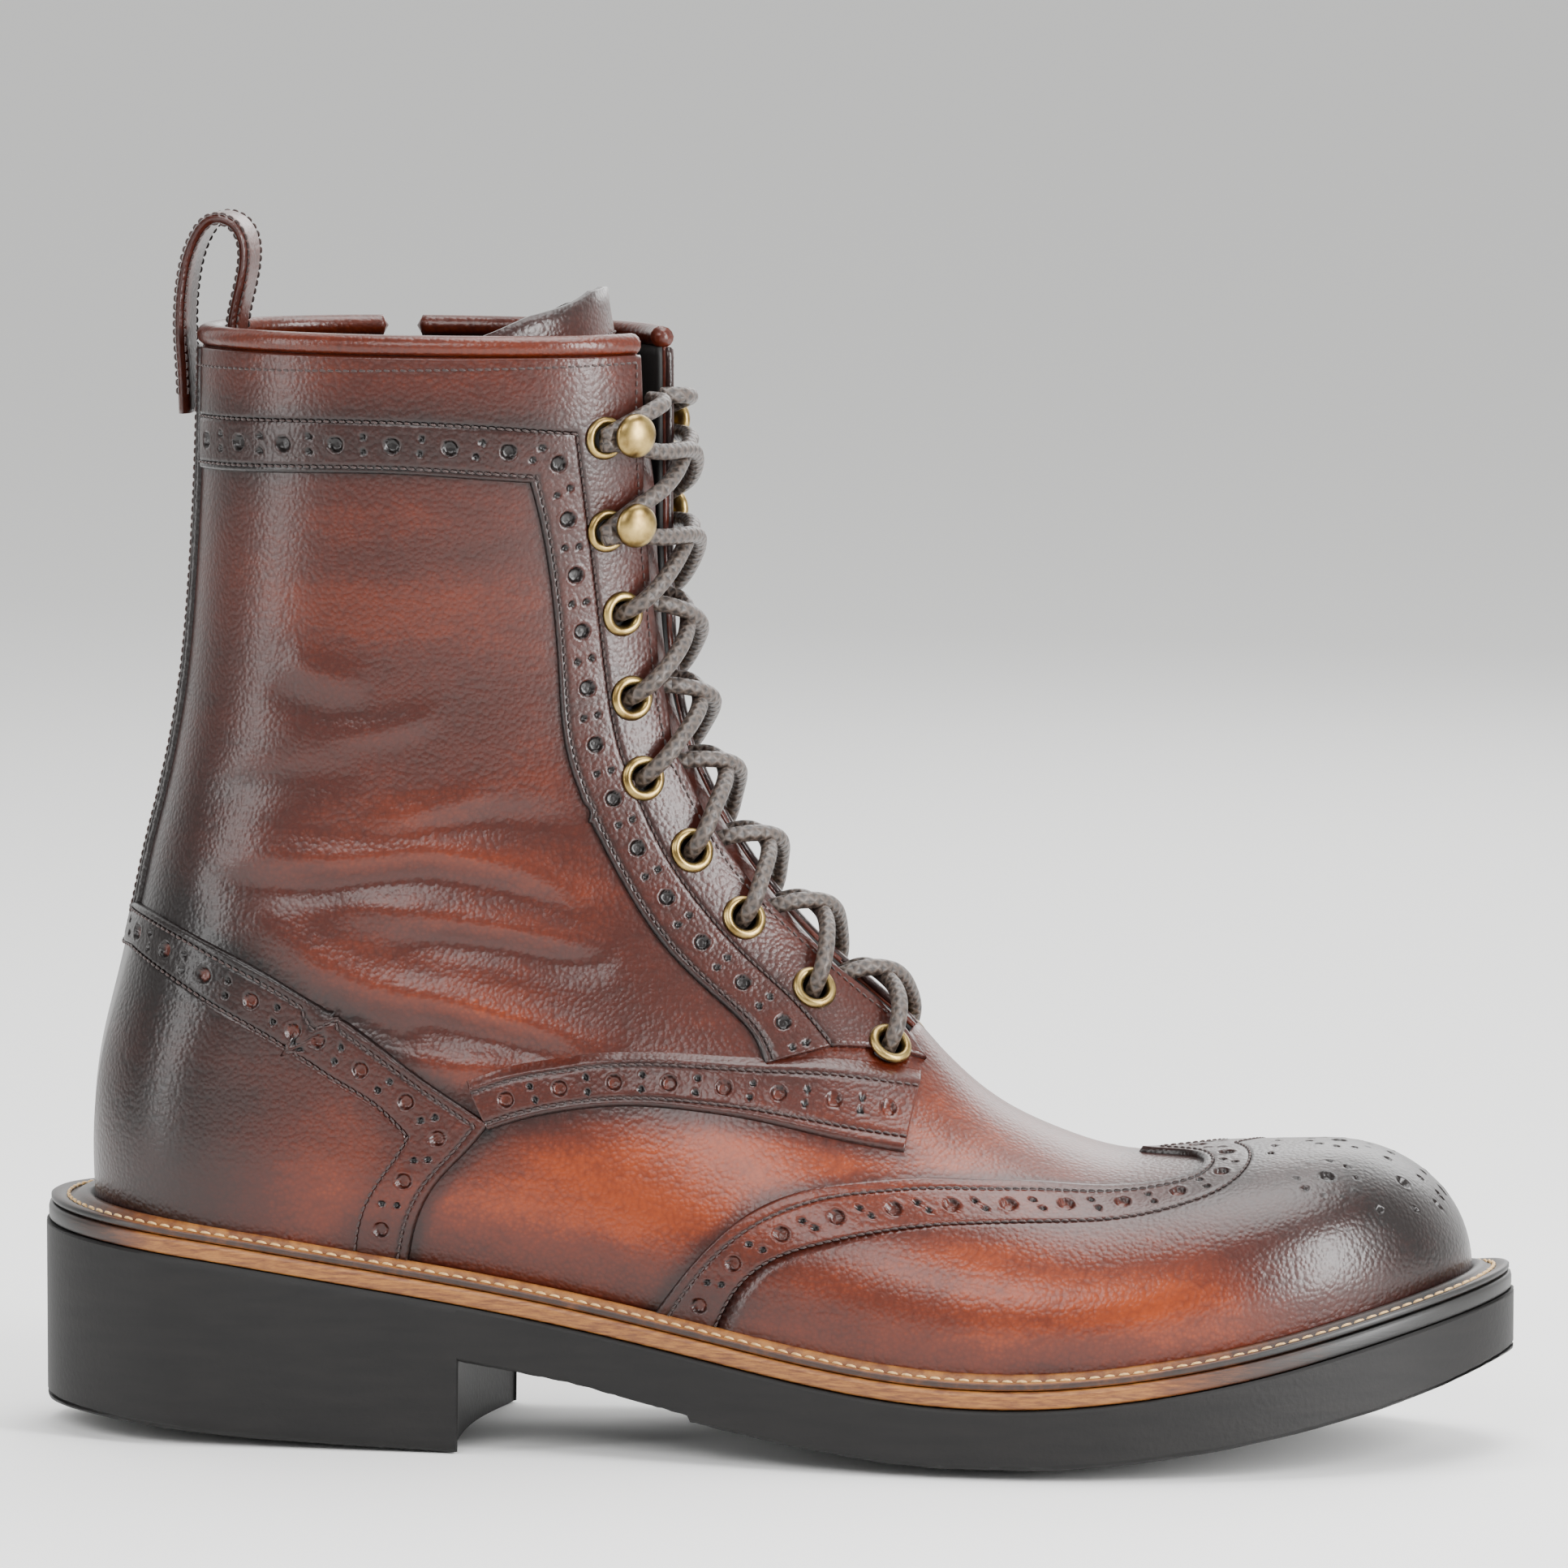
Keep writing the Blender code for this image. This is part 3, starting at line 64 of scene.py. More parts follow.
# Sole, seen from above: the half widths run on past the rounded heel and toe, which the end curves cut.
SOLE_LENGTH = 309.0
SOLE_HEEL_ROUND = 37.0
SOLE_TOE_ROUND = 95.0
TOE_SWING = 6.0
SWING_START = 150.0
# Columns: x, lateral, medial.
PLAN = (
    (0, 36.0, 35.0),
    (50, 37.0, 34.5),
    (90, 37.5, 32.0),
    (115, 39.0, 31.5),
    (140, 43.5, 34.5),
    (165, 49.0, 41.0),
    (190, 53.5, 47.5),
    (212, 55.5, 50.5),
    (240, 56.0, 52.0),
    (309, 56.0, 52.0),
)

# Sole, seen from the side.
# Columns: x, rim.
RIM = ((0, 43.2), (30, 40.2), (60, 36.0), (90, 31.6), (120, 26.7), (150, 21.3), (175, 17.0), (198, 14.7),
       (218, 14.8), (240, 17.0), (265, 21.6), (288, 27.6), (309, 33.2))
# Columns: x, ground, crown.
HEEL_GROUND = ((0, 4.4, 2.2), (15, 3.4, 2.2), (32, 1.6, 2.4), (50, 0.0, 2.4), (70, 0.0, 1.2), (94, 0.0, 0.3))
ARCH_GROUND = ((94, 19.0, 0.4), (118, 15.2, 0.5), (144, 9.6, 0.6))
TREAD_GROUND = ((144, 8.2, 0.8), (165, 4.2, 1.2), (185, 1.2, 1.8), (198, 0.0, 2.4), (220, 0.0, 2.6),
                (238, 1.9, 2.4), (254, 4.6, 1.9), (270, 8.2, 1.4), (285, 12.2, 1.0), (297, 16.2, 0.7),
                (309, 20.8, 0.5))
BREAST_X = 94.0
BREAST_HOLLOW = 4.0
TREAD_STEP_X = 144.0

# Layers between the rubber and the upper.
LAYER_GAP = 0.3
MIDSOLE_THICK = 3.6
INSOLE_THICK = 3.0

# Upper: where it meets the sole, in the same plan.
FEATHER_HEEL_X = 11.4
FEATHER_TOE_X = 299.2
FEATHER_HEEL_ROUND = 30.0
FEATHER_TOE_ROUND = 88.0
FEATHER_INSET = 6.2
TUCK_HEIGHT = 24.0
TOE_BOX_BACK_X = 268.0
TOE_BOX_POWER = 2.3
WALL = 2.2

# Sections of the upper. Each is a line in side view from a base point to a ridge point on the middle line,
# fanning from the toe, under the instep and up the shaft. lateral and medial are the half widths, belly is
# where along the line the section starts to close on its ridge, and lean is how much it narrows there.
SECTION_COLUMNS = ("base_x", "base_z", "ridge_x", "ridge_z", "lateral", "medial", "belly", "lean")
SECTIONS = (
    (299.2, 35.0, 299.2, 63.0, 51.5, 50.0, 0.22, -0.12),
    (291, 32.6, 291.0, 63.0, 51.5, 50.0, 0.22, -0.12),
    (280, 29.6, 280.0, 63.0, 51.6, 50.0, 0.22, -0.11),
    (266, 26.0, 266.0, 62.6, 52.0, 50.0, 0.22, -0.10),
    (248, 22.1, 248.0, 61.7, 52.2, 50.5, 0.21, -0.05),
    (229, 19.8, 229.5, 61.0, 52.0, 50.0, 0.20, 0.02),
    (210, 18.7, 214.4, 65.0, 51.2, 48.2, 0.20, 0.11),
    (190, 19.3, 202.2, 71.0, 49.2, 45.2, 0.20, 0.20),
    (170, 22.0, 192.5, 79.0, 46.2, 41.3, 0.21, 0.28),
    (150, 25.5, 184.0, 88.0, 42.6, 37.2, 0.23, 0.33),
    (130, 29.0, 175.6, 96.4, 39.3, 34.0, 0.25, 0.34),
    (110, 32.5, 167.6, 104.4, 36.8, 32.2, 0.27, 0.32),
    (90, 35.8, 160.2, 112.6, 35.3, 32.0, 0.29, 0.28),
    (71, 38.7, 153.8, 120.6, 34.6, 32.2, 0.31, 0.22),
    (53, 42.0, 148.0, 129.2, 34.0, 32.4, 0.33, 0.16),
    (37, 47.5, 143.4, 137.4, 33.8, 32.5, 0.35, 0.10),
    (26, 56.0, 139.9, 145.2, 33.6, 32.6, 0.36, 0.06),
    (20, 67.5, 137.4, 153.4, 33.4, 32.6, 0.37, 0.04),
    (18.3, 80, 135.6, 162.0, 33.0, 32.4, 0.38, 0.02),
    (19.6, 94, 134.6, 170.6, 32.7, 32.2, 0.39, 0.0),
    (22.4, 108, 134.0, 179.0, 32.5, 32.1, 0.40, -0.01),
    (25.8, 124, 133.5, 187.6, 32.4, 32.0, 0.42, -0.03),
    (29.2, 142, 133.1, 196.6, 32.7, 32.3, 0.44, -0.05),
    (32.2, 161, 132.8, 205.2, 33.2, 32.8, 0.46, -0.08),
    (34.4, 182, 132.6, 213.2, 33.8, 33.4, 0.48, -0.10),
    (35.6, 205, 132.4, 220.6, 34.3, 34.0, 0.49, -0.12),
    (36.2, 231, 132.2, 228.4, 34.6, 34.4, 0.50, -0.12),
    (36.4, 256, 131.6, 246.0, 34.6, 34.4, 0.50, -0.12),
)
# Columns: z, x, heel_round.
BACK = ((45.5, 11.4, 30), (58, 10.9, 31), (70, 11.2, 32), (81, 12.8, 33), (92, 15.5, 35), (103, 18.2, 37),
        (113, 20.4, 39), (124, 22.9, 40), (134, 25.5, 42), (144, 27.8, 43), (155, 29.8, 44), (166, 31.2, 45),
        (180, 32.4, 46), (200, 33.6, 47), (225, 34.4, 48), (256, 34.8, 48))
COLLAR_BASE_Z = 227.6

# Throat, tongue and zip.
# Columns: station, lateral_v, medial_v.
THROAT = ((8.9, 0.075, 0.075), (9.9, 0.084, 0.08), (11.1, 0.080, 0.078), (12.2, 0.082, 0.078),
          (13.5, 0.080, 0.074), (15.0, 0.070, 0.066), (16.4, 0.060, 0.058), (18.0, 0.060, 0.058),
          (19.9, 0.070, 0.060), (21.8, 0.088, 0.064), (24.2, 0.112, 0.070), (27.0, 0.116, 0.070))
THROAT_START = 8.9
TONGUE_THICK = 1.8
TONGUE_BEND = 7.5
TONGUE_START = 7.3
TONGUE_WIDTH = ((7.3, 0.12), (9, 0.16), (12, 0.19), (16, 0.22), (20, 0.28), (24, 0.42), (27, 0.50))
TONGUE_TOP = ((0.0, 26.72), (0.1, 26.68), (0.3, 26.35), (0.5, 25.75))
ZIP_X = 70.0
ZIP_SLOT_HALF = 4.2
ZIP_LOW_STATION = 17.2
BELOW_CUFF_Z = 150.0

# Backstay up the middle of the back.
BACKSTAY_V = 0.068

# Eyelets and hooks, from the lowest row up.
# Columns: station, v.
EYELET_ROWS = ((9.07, 0.164), (10.69, 0.160), (12.51, 0.140), (14.19, 0.127), (16.19, 0.112),
               (17.99, 0.110), (20.01, 0.124))
HOOK_ROWS = ((22.0, 0.162), (24.03, 0.182))
EYELET_HOLE = 2.7

# Collar binding and pull loop.
BINDING_RADIUS = 2.1
LOOP_WIDTH = 14.0
LOOP = ((30.9, 213.0), (30.6, 222.0), (30.2, 229.0), (30.3, 236.0), (31.2, 243.0), (33.4, 249.6),
        (37.2, 253.6), (41.2, 252.8), (43.6, 249.0), (43.8, 244.4), (42.8, 239.0), (41.6, 233.6),
        (41.0, 228.0), (40.8, 222.0), (40.6, 214.0))

# Zip slider and its pull: places along the boot's length, up the zip and out from the surface.
SLIDER_Z = 219.0
SLIDER = ((-3.1, 3.1), (-5.0, 5.0), (-0.1, 2.6))
PIVOT_OUT = 3.9
TAPE_HEIGHTS = (-1.25, -1.9)
TEETH_HEIGHT = -0.75
TOOTH_PITCH = 1.15
TOOTH_SHIFT = 0.55
TOOTH_HALF = (1.5, 0.42, 0.5)
# The slider's arch as (up the zip, out), and the pull's half widths at shares of its length.
SLIDER_ARCH = ((-3.9, 2.2), (-3.9, 4.6), (-2.6, 5.7), (0, 6.0), (2.6, 5.7), (3.9, 4.6), (3.9, 2.2))
PULL_SHARES = (0, 0.06, 0.3, 0.85, 0.96, 1.0)
PULL_HALF_WIDTHS = (1.9, 2.5, 2.7, 2.7, 2.2, 1.4)
PULL_TOP = 0.6
PULL_LONG = 21.6
PULL_HALF_THICK = 0.55


def spline(at, knots, values):
    """A natural cubic spline through the knots, read at any places. Its slopes solve one linear system."""
    knots = np.asarray(knots, float)
    values = np.asarray(values, float)
    at = np.clip(np.asarray(at, float), knots[0], knots[-1])
    gap = np.diff(knots)
    rise = np.diff(values) / gap
    count = len(knots)
    system = np.zeros((count, count))
    right = np.zeros(count)
    system[0, 0] = system[-1, -1] = 1.0
    for i in range(1, count - 1):
        system[i, i - 1:i + 2] = gap[i - 1], 2 * (gap[i - 1] + gap[i]), gap[i]
        right[i] = 6 * (rise[i] - rise[i - 1])
    bend = np.linalg.solve(system, right)
    i = np.clip(np.searchsorted(knots, at) - 1, 0, count - 2)
    before = at - knots[i]
    after = knots[i + 1] - at
    return (
        (bend[i] * after**3 + bend[i + 1] * before**3) / (6 * gap[i])
        + (values[i] / gap[i] - bend[i] * gap[i] / 6) * after
        + (values[i + 1] / gap[i] - bend[i + 1] * gap[i] / 6) * before
    )


def table_spline(at, table, column, key=0):
    """Reads one column of a table of rows by a spline over its key column."""
    rows = np.array(table, float)
    order = np.argsort(rows[:, key])
    return spline(at, rows[order, key], rows[order, column])


def table_of(at, table, column, key=0):
    """Reads a column by straight lines between the rows, for tables with corners."""
    rows = np.array(table, float)
    order = np.argsort(rows[:, key])
    return np.interp(at, rows[order, key], rows[order, column])


def round_end(x, low, high, heel_round, toe_round):
    """The share of the full width left at x: a quarter ellipse at the heel and another at the toe."""
    heel = np.clip((low + heel_round - x) / heel_round, 0, 1)
    toe = np.clip((x - (high - toe_round)) / toe_round, 0, 1)
    return np.sqrt(1 - heel**2) * np.sqrt(1 - toe**2)


def swing(x):
    """How far the middle line moves towards the inner side at x, for a right foot."""
    return TOE_SWING * (np.clip(np.asarray(x, float) - SWING_START, 0, None) / SWING_START) ** 2


SIDE_WORD = {-1: "lateral", 1: "medial"}


def plan_half_width(x, side):
    """Half width at x before the ends are rounded. side is -1 for the outer side and 1 for the inner side."""
    return table_spline(x, PLAN, 1 if side < 0 else 2)


def sole_half_width(x, side):
    """Half width of the sole at x: the plan's, times the quarter ellipses of its ends."""
    return plan_half_width(x, side) * round_end(x, 0.0, SOLE_LENGTH, SOLE_HEEL_ROUND, SOLE_TOE_ROUND)


def feather_half_width(x, side):
    """Half width of the upper's lower edge at x."""
    full = plan_half_width(x, side) - FEATHER_INSET
    return full * round_end(x, FEATHER_HEEL_X, FEATHER_TOE_X, FEATHER_HEEL_ROUND, FEATHER_TOE_ROUND)


def rim_z(x):
    """Height of the rubber sole's upper face at x."""
    return table_spline(x, RIM, 1)


def feather_z(x):
    """Height of the upper's lower edge at x, just above the midsole."""
    return rim_z(x) + MIDSOLE_THICK + 2 * LAYER_GAP


SECTION_ROWS = np.array(SECTIONS, float)
LAST = len(SECTIONS) - 1.0


def section_value(s, name):
    """Reads a section column by a spline over the section's number."""
    return spline(s, np.arange(len(SECTIONS)), SECTION_ROWS[:, SECTION_COLUMNS.index(name)])


def section_ends(s):
    """Base point and ridge point of section s in side view. The toe box rounds the ridge down to the tip."""
    base_x = section_value(s, "base_x")
    base_z = section_value(s, "base_z")
    ridge_x = section_value(s, "ridge_x")
    ridge_z = section_value(s, "ridge_z")
    box = np.clip((ridge_x - TOE_BOX_BACK_X) / (FEATHER_TOE_X - TOE_BOX_BACK_X), 0, 1)
    in_toe = box > 0
    foot = feather_z(np.minimum(base_x, FEATHER_TOE_X))
    share = (1 - box**TOE_BOX_POWER) ** (1 / TOE_BOX_POWER)
    base_z = np.where(in_toe, foot, base_z)
    ridge_z = np.where(in_toe, foot + (ridge_z - foot) * share, ridge_z)
    return base_x, base_z, ridge_x, ridge_z


def surface_at(s, p, side):
    """Point on the upper's outer surface, at share p of the way along section s.

    The half width is a product: the section's own width, a quarter ellipse that closes the heel, one that
    closes the toe, one that closes the ridge, and a tuck towards the feather line below the belly.
    """
    base_x, base_z, ridge_x, ridge_z = section_ends(s)
    x = base_x + p * (ridge_x - base_x)
    z = base_z + p * (ridge_z - base_z)
    width = section_value(s, SIDE_WORD[side])
    belly = section_value(s, "belly")
    heel_u = (x - table_spline(z, BACK, 1)) / table_spline(z, BACK, 2)
    heel = np.sqrt(np.clip(1 - np.clip(1 - heel_u, 0, None) ** 2, 0, 1))
    toe_u = np.clip((x - (FEATHER_TOE_X - FEATHER_TOE_ROUND)) / FEATHER_TOE_ROUND, 0, 1)
    toe = np.sqrt(1 - toe_u**2)
    top_u = np.clip((p - belly) / (1 - belly), 0, 1)
    top = np.sqrt(1 - top_u**2) * (1 - section_value(s, "lean") * top_u**2)
    full = plan_half_width(x, side) - FEATHER_INSET
    tuck = np.clip(1 - full / width, 0, 1)
    above = np.clip((z - feather_z(x)) / TUCK_HEIGHT, 0, 1)
    half = width * heel * toe * top * (1 - tuck * (1 - above) ** 2)
    return np.stack([x, swing(x) + side * half, z], axis=-1)


def section_start(s):
    """Share along section s where it leaves the feather line or the back line, found by bisection."""
    low = np.full(np.shape(s), -0.35)
    high = np.full(np.shape(s), 0.4)
    base_x, base_z, ridge_x, ridge_z = section_ends(s)
    for _ in range(36):
        middle = (low + high) / 2
        x = base_x + middle * (ridge_x - base_x)
        z = base_z + middle * (ridge_z - base_z)
        inside = (z > feather_z(x)) & (x > table_spline(z, BACK, 1))
        high = np.where(inside, middle, high)
        low = np.where(inside, low, middle)
    return np.where(s < 1e-9, 0.0, high)


def corner_station():
    """The section that starts where the feather line meets the back line."""
    s = np.linspace(12, 19, 1401)
    p = section_start(s)
    return float(s[np.argmin(np.abs(section_z(s, p) - feather_z(FEATHER_HEEL_X)))])


def section_z(s, p):
    """Height of the point at share p of the way along section s."""
    _, base_z, _, ridge_z = section_ends(s)
    return base_z + p * (ridge_z - base_z)


CORNER = corner_station()
ARC_STATIONS = np.unique(np.concatenate([np.linspace(0, 1, 41) ** 2, np.linspace(1, LAST, 300), [CORNER]]))
ARC_SHARES = np.linspace(0, 1, 121)


def arc_table(side):
    """For each station, the share p at even steps of length along its section."""
    start = section_start(ARC_STATIONS)[:, None]
    step = (1 - np.cos(np.linspace(0, math.pi, 161)))[None, :] / 2
    p = start + (1 - start) * step
    points = surface_at(ARC_STATIONS[:, None] * np.ones_like(p), p, side)
    run = np.cumsum(np.linalg.norm(np.diff(points, axis=1), axis=2), axis=1)
    run = np.concatenate([np.zeros((len(run), 1)), run], axis=1)
    run /= np.maximum(run[:, -1:], 1e-9)
    return np.array([np.interp(ARC_SHARES, run[i], p[i]) for i in range(len(p))])


ARC = {-1: arc_table(-1), 1: arc_table(1)}


def share_of(s, t, side):
    """Share p of the way along section s for length share t, read from the arc table."""
    i = np.clip(np.searchsorted(ARC_STATIONS, s, side="right") - 1, 0, len(ARC_STATIONS) - 2)
    a = (s - ARC_STATIONS[i]) / (ARC_STATIONS[i + 1] - ARC_STATIONS[i])
    place = np.clip(t, 0, 1) * (len(ARC_SHARES) - 1)
    j = np.clip(place.astype(int), 0, len(ARC_SHARES) - 2)
    b = place - j
    table = ARC[side]
    return ((1 - a) * ((1 - b) * table[i, j] + b * table[i, j + 1])
            + a * ((1 - b) * table[i + 1, j] + b * table[i + 1, j + 1]))


def surface(s, v):
    """Point on the upper at station s. v runs from -1 at the outer start, over the ridge at 0, to 1."""
    s, v = np.broadcast_arrays(np.asarray(s, float), np.asarray(v, float))
    s = np.clip(s, 0, LAST)
    v = np.where(v > 1, v - 2, np.where(v < -1, v + 2, v))
    t = 1 - np.abs(v)
    near = surface_at(s, share_of(s, t, -1), -1)
    far = surface_at(s, share_of(s, t, 1), 1)
    spot = np.where((v <= 0)[..., None], near, far)
    on_back = (t < 1e-9) & (s > CORNER - 1e-6)
    spot[..., 1] = np.where(on_back, swing(spot[..., 0]), spot[..., 1])
    return spot


def normal(s, v):
    """Outward normal by small central steps. Rows in the foot end at the feather line, so they don't wrap."""
    s, v = np.broadcast_arrays(np.asarray(s, float), np.asarray(v, float))
    ds, dv = 0.03, 0.012
    wraps = s > CORNER + 0.02
    v_low = np.where(wraps, v - dv, np.maximum(v - dv, -1))
    v_high = np.where(wraps, v + dv, np.minimum(v + dv, 1))
    s_mid = np.maximum(s, 0.02)
    across = surface(s_mid, v_high) - surface(s_mid, v_low)
    along = surface(np.minimum(s_mid + ds, LAST), v) - surface(np.maximum(s_mid - ds, 0.0), v)
    found = np.cross(across, along)
    found /= np.maximum(np.linalg.norm(found, axis=-1, keepdims=True), 1e-12)
    return np.where((s < 1e-6)[..., None], np.array([1.0, 0.0, 0.0]), found)


def locate(x, z, side):
    """Station and length share of the surface point that shows at (x, z) in side view."""
    x = np.atleast_1d(np.asarray(x, float))
    z = np.atleast_1d(np.asarray(z, float))
    base_x, base_z, ridge_x, ridge_z = section_ends(ARC_STATIONS[1:])
    reach_x, reach_z = ridge_x - base_x, ridge_z - base_z
    turn = (x[:, None] - base_x) * reach_z - (z[:, None] - base_z) * reach_x
    turn /= np.hypot(reach_x, reach_z)
    past = turn > 0
    past[:, -1] = True
    k = np.argmax(past, axis=1)
    k = np.clip(k, 1, None)
    rows = np.arange(len(x))
    a = turn[rows, k - 1] / (turn[rows, k - 1] - turn[rows, k])
    s = ARC_STATIONS[1:][k - 1] + np.clip(a, 0, 1) * (ARC_STATIONS[1:][k] - ARC_STATIONS[1:][k - 1])
    base_x, base_z, ridge_x, ridge_z = section_ends(s)
    p = ((x - base_x) * (ridge_x - base_x) + (z - base_z) * (ridge_z - base_z)) / (
        (ridge_x - base_x) ** 2 + (ridge_z - base_z) ** 2)
    shares = np.stack([share_of(s, np.full(len(s), t), side) for t in ARC_SHARES], axis=1)
    t = np.array([np.interp(p[i], shares[i], ARC_SHARES) for i in range(len(p))])
    return s, t


def back_x(z):
    """The back line's x at height z."""
    return table_spline(z, BACK, 1)


def station_of_back(z):
    """Station whose section starts on the back line at height z."""
    s = np.linspace(CORNER, LAST, 3001)
    return float(s[np.argmin(np.abs(section_z(s, section_start(s)) - z))])


COLLAR = station_of_back(COLLAR_BASE_Z)


def throat_v(s, side):
    """Share of the half section, from the ridge, where the throat's edge lies."""
    return table_of(s, THROAT, 1 if side < 0 else 2)


def v_of_side_x(s, x, side):
    """v of the point of section s that lies at x."""
    s = np.asarray(s, float)
    base_x, _, ridge_x, _ = section_ends(s)
    wanted = (x - base_x) / (ridge_x - base_x)
    shares = np.stack([share_of(s, np.full(len(s), t), side) for t in ARC_SHARES], axis=1)
    t = np.array([np.interp(wanted[i], shares[i], ARC_SHARES) for i in range(len(s))])
    return side * (1 - t)


def located(x, z, side):
    """Station and signed v of the side view place (x, z)."""
    s, t = locate(x, z, side)
    return s, side * (1 - t)


# Leather panels over the upper, in millimetres: how high they stand, and how their edges and seams look.
PANEL_HIGH = 1.25
PAIR_HALF = 1.55
PANEL_SUNK = -0.5
EDGE_ROUND = 0.8
SEAM_DEPTH = 0.3
SEAM_WIDTH = 0.45
EDGE_DARK = 0.55

# Depths of the punched holes, and how high each rim stands, in millimetres. The skin ends over the lining.
LARGE_DEEP = 1.15
SMALL_DEEP = 0.8
RIM_HIGH = 0.10
MEDALLION_DEEP = 0.95
MEDALLION_RIM = 0.08
SKIN_UNDER = -1.15
LINING_TOP = -1.2

# Strips with punched holes. Each row is a place on the cut edge and one on the inner row of stitches.
# Columns: edge_station, edge_v, inner_station, inner_v.
WING_STRIP = ((9.80, 0.985, 9.11, 0.985), (9.77, 0.90, 9.13, 0.884), (9.72, 0.82, 9.05, 0.815),
              (9.60, 0.735, 8.80, 0.752), (9.38, 0.661, 8.40, 0.700), (8.94, 0.589, 7.90, 0.648),
              (8.34, 0.529, 7.25, 0.596), (7.57, 0.463, 6.55, 0.560), (6.87, 0.422, 5.95, 0.537),
              (5.89, 0.369, 5.25, 0.516), (4.96, 0.338, 4.60, 0.495), (4.45, 0.318, 4.16, 0.462),
              (4.18, 0.285, 3.85, 0.415), (4.09, 0.225, 3.66, 0.345), (4.12, 0.155, 3.58, 0.255),
              (4.30, 0.085, 3.60, 0.150), (4.90, 0.0, 3.82, 0.0))
# Columns: edge_x, edge_z, inner_x, inner_z.
COUNTER_TOP = ((22.2, 110.8, 22.4, 101.8), (25.4, 110.2, 24.8, 100.8), (29.6, 109.0, 28.4, 99.2),
               (35.6, 106.9, 33.8, 96.6), (43.0, 104.0, 40.8, 93.0), (51.5, 100.2, 48.6, 89.0),
               (61.2, 94.7, 57.6, 84.0), (72.3, 88.2, 67.2, 77.9), (86.4, 77.9, 76.6, 72.4),
               (100.9, 68.8, 83.6, 65.8))
COUNTER_FRONT = ((100.9, 68.8, 83.6, 65.8), (96.2, 63.2, 81.4, 62.0), (90.8, 57.6, 78.2, 57.6),
                 (86.6, 51.2, 74.8, 52.2), (84.4, 45.0, 72.8, 46.6), (83.3, 39.6, 71.9, 41.6))
# Where the counter's lower edge lies under each inner place of its front and top, from the foot up.
COUNTER_FOOT_X = (71.9, 70.4, 68.4, 66.0, 63.4, 61.0, 56.5, 50.5, 44.0, 38.0, 31.5, 25.5, 20.5, 16.4, 13.6)
COUNTER_BACK_Z = (111.0, 102.2)
QUARTER_STRIP = ((100.6, 67.4, 96.8, 75.0), (108.0, 69.8, 104.2, 77.6), (115.8, 71.5, 113.2, 79.5),
                 (123.5, 72.5, 122.6, 80.7), (131.2, 72.8, 131.4, 81.1), (143.6, 71.9, 144.4, 80.4),
                 (155.7, 70.2, 157.3, 79.5), (171.6, 66.8, 172.0, 78.4), (186.5, 64.0, 187.3, 75.6))
CUFF_STRIP = ((36.8, 203.5, 36.8, 213.1), (50.0, 203.9, 50.0, 213.4), (64.0, 204.3, 64.0, 213.7),
              (80.3, 204.4, 80.6, 213.7), (95.0, 203.7, 98.6, 212.9), (109.7, 202.6, 117.2, 211.3))
FACING_STRIP = ((109.7, 202.6, 117.2, 211.3), (111.6, 192.1, 118.9, 193.6), (113.2, 179.2, 120.2, 179.8),
                (114.6, 159.7, 122.0, 161.8), (116.6, 143.4, 124.9, 145.2), (119.7, 134.6, 127.8, 137.2),
                (127.7, 118.3, 134.9, 122.4), (136.2, 105.8, 142.8, 111.4), (147.3, 94.9, 152.9, 100.6),
                (155.2, 87.4, 162.2, 92.2), (158.6, 81.6, 169.6, 84.2))

# Medallion on the toe: its large holes as (station, v), the radius in millimetres of the ring of small holes
# round each of the first three, and the arcs of small holes as (station, their v).
MEDALLION_LARGE = ((2.55, 0.0), (2.57, 0.375), (2.57, -0.375), (1.42, 0.30), (1.42, -0.30))
MEDALLION_RING = 6.4
MEDALLION_ARCS = ((3.35, (-0.18, -0.09, 0.0, 0.09, 0.18)), (1.75, (-0.52, -0.12, 0.0, 0.12, 0.52)),
                  (1.15, (-0.46, -0.14, 0.0, 0.14, 0.46)), (0.78, (-0.30, -0.15, 0.0, 0.15, 0.30)))

# Creases of the shaft and ankle, in side view: raised ones have a positive height in millimetres.
# Columns: height, width, places.
CREASES = (
    (0.55, 2.6, ((57, 165), (66, 161.4), (75, 159.4))),
    (0.60, 2.6, ((66, 150.8), (75, 149.4), (83, 151.2), (90, 153))),
    (0.65, 2.8, ((74, 130.6), (88, 133), (100, 135.6))),
    (1.20, 3.4, ((46, 125), (66, 122.6), (78, 123.2), (88, 124.6), (99, 122.2), (109, 119.4), (121, 112.8))),
    (1.10, 2.9, ((68, 114.2), (80, 112.2), (90, 110.4), (103, 108.8), (114, 106.4), (123, 104))),
    (1.50, 3.6, ((50, 111), (58, 106.4), (68, 99.6), (80, 95.8), (91.5, 93.8), (103, 90.6), (117, 86.4),
                 (128, 83.6))),
    (0.80, 2.6, ((80, 82.4), (93, 80.2), (105, 81.6))),
    (-0.60, 3.2, ((53, 158), (66, 153.6), (76, 152.6))),
    (-0.70, 4.0, ((38, 134), (57, 139), (74, 140.6))),
    (-0.90, 3.4, ((84, 129.4), (99, 130.6), (113, 129.6), (118, 127.4))),
    (-1.40, 3.0, ((38, 117.6), (57, 116.4), (70, 117.4), (83, 119.2), (96, 118.4), (109, 114.6), (119, 110))),
    (-1.30, 2.8, ((80, 107.4), (96, 105.6), (106, 104.2), (116, 101.8), (126, 102))),
    (-1.30, 3.0, ((83, 91), (97, 87), (108, 84.8), (119, 82.4))),
    (-1.10, 3.0, ((64, 96), (72, 91), (80, 87.4), (86, 83.6))),
)

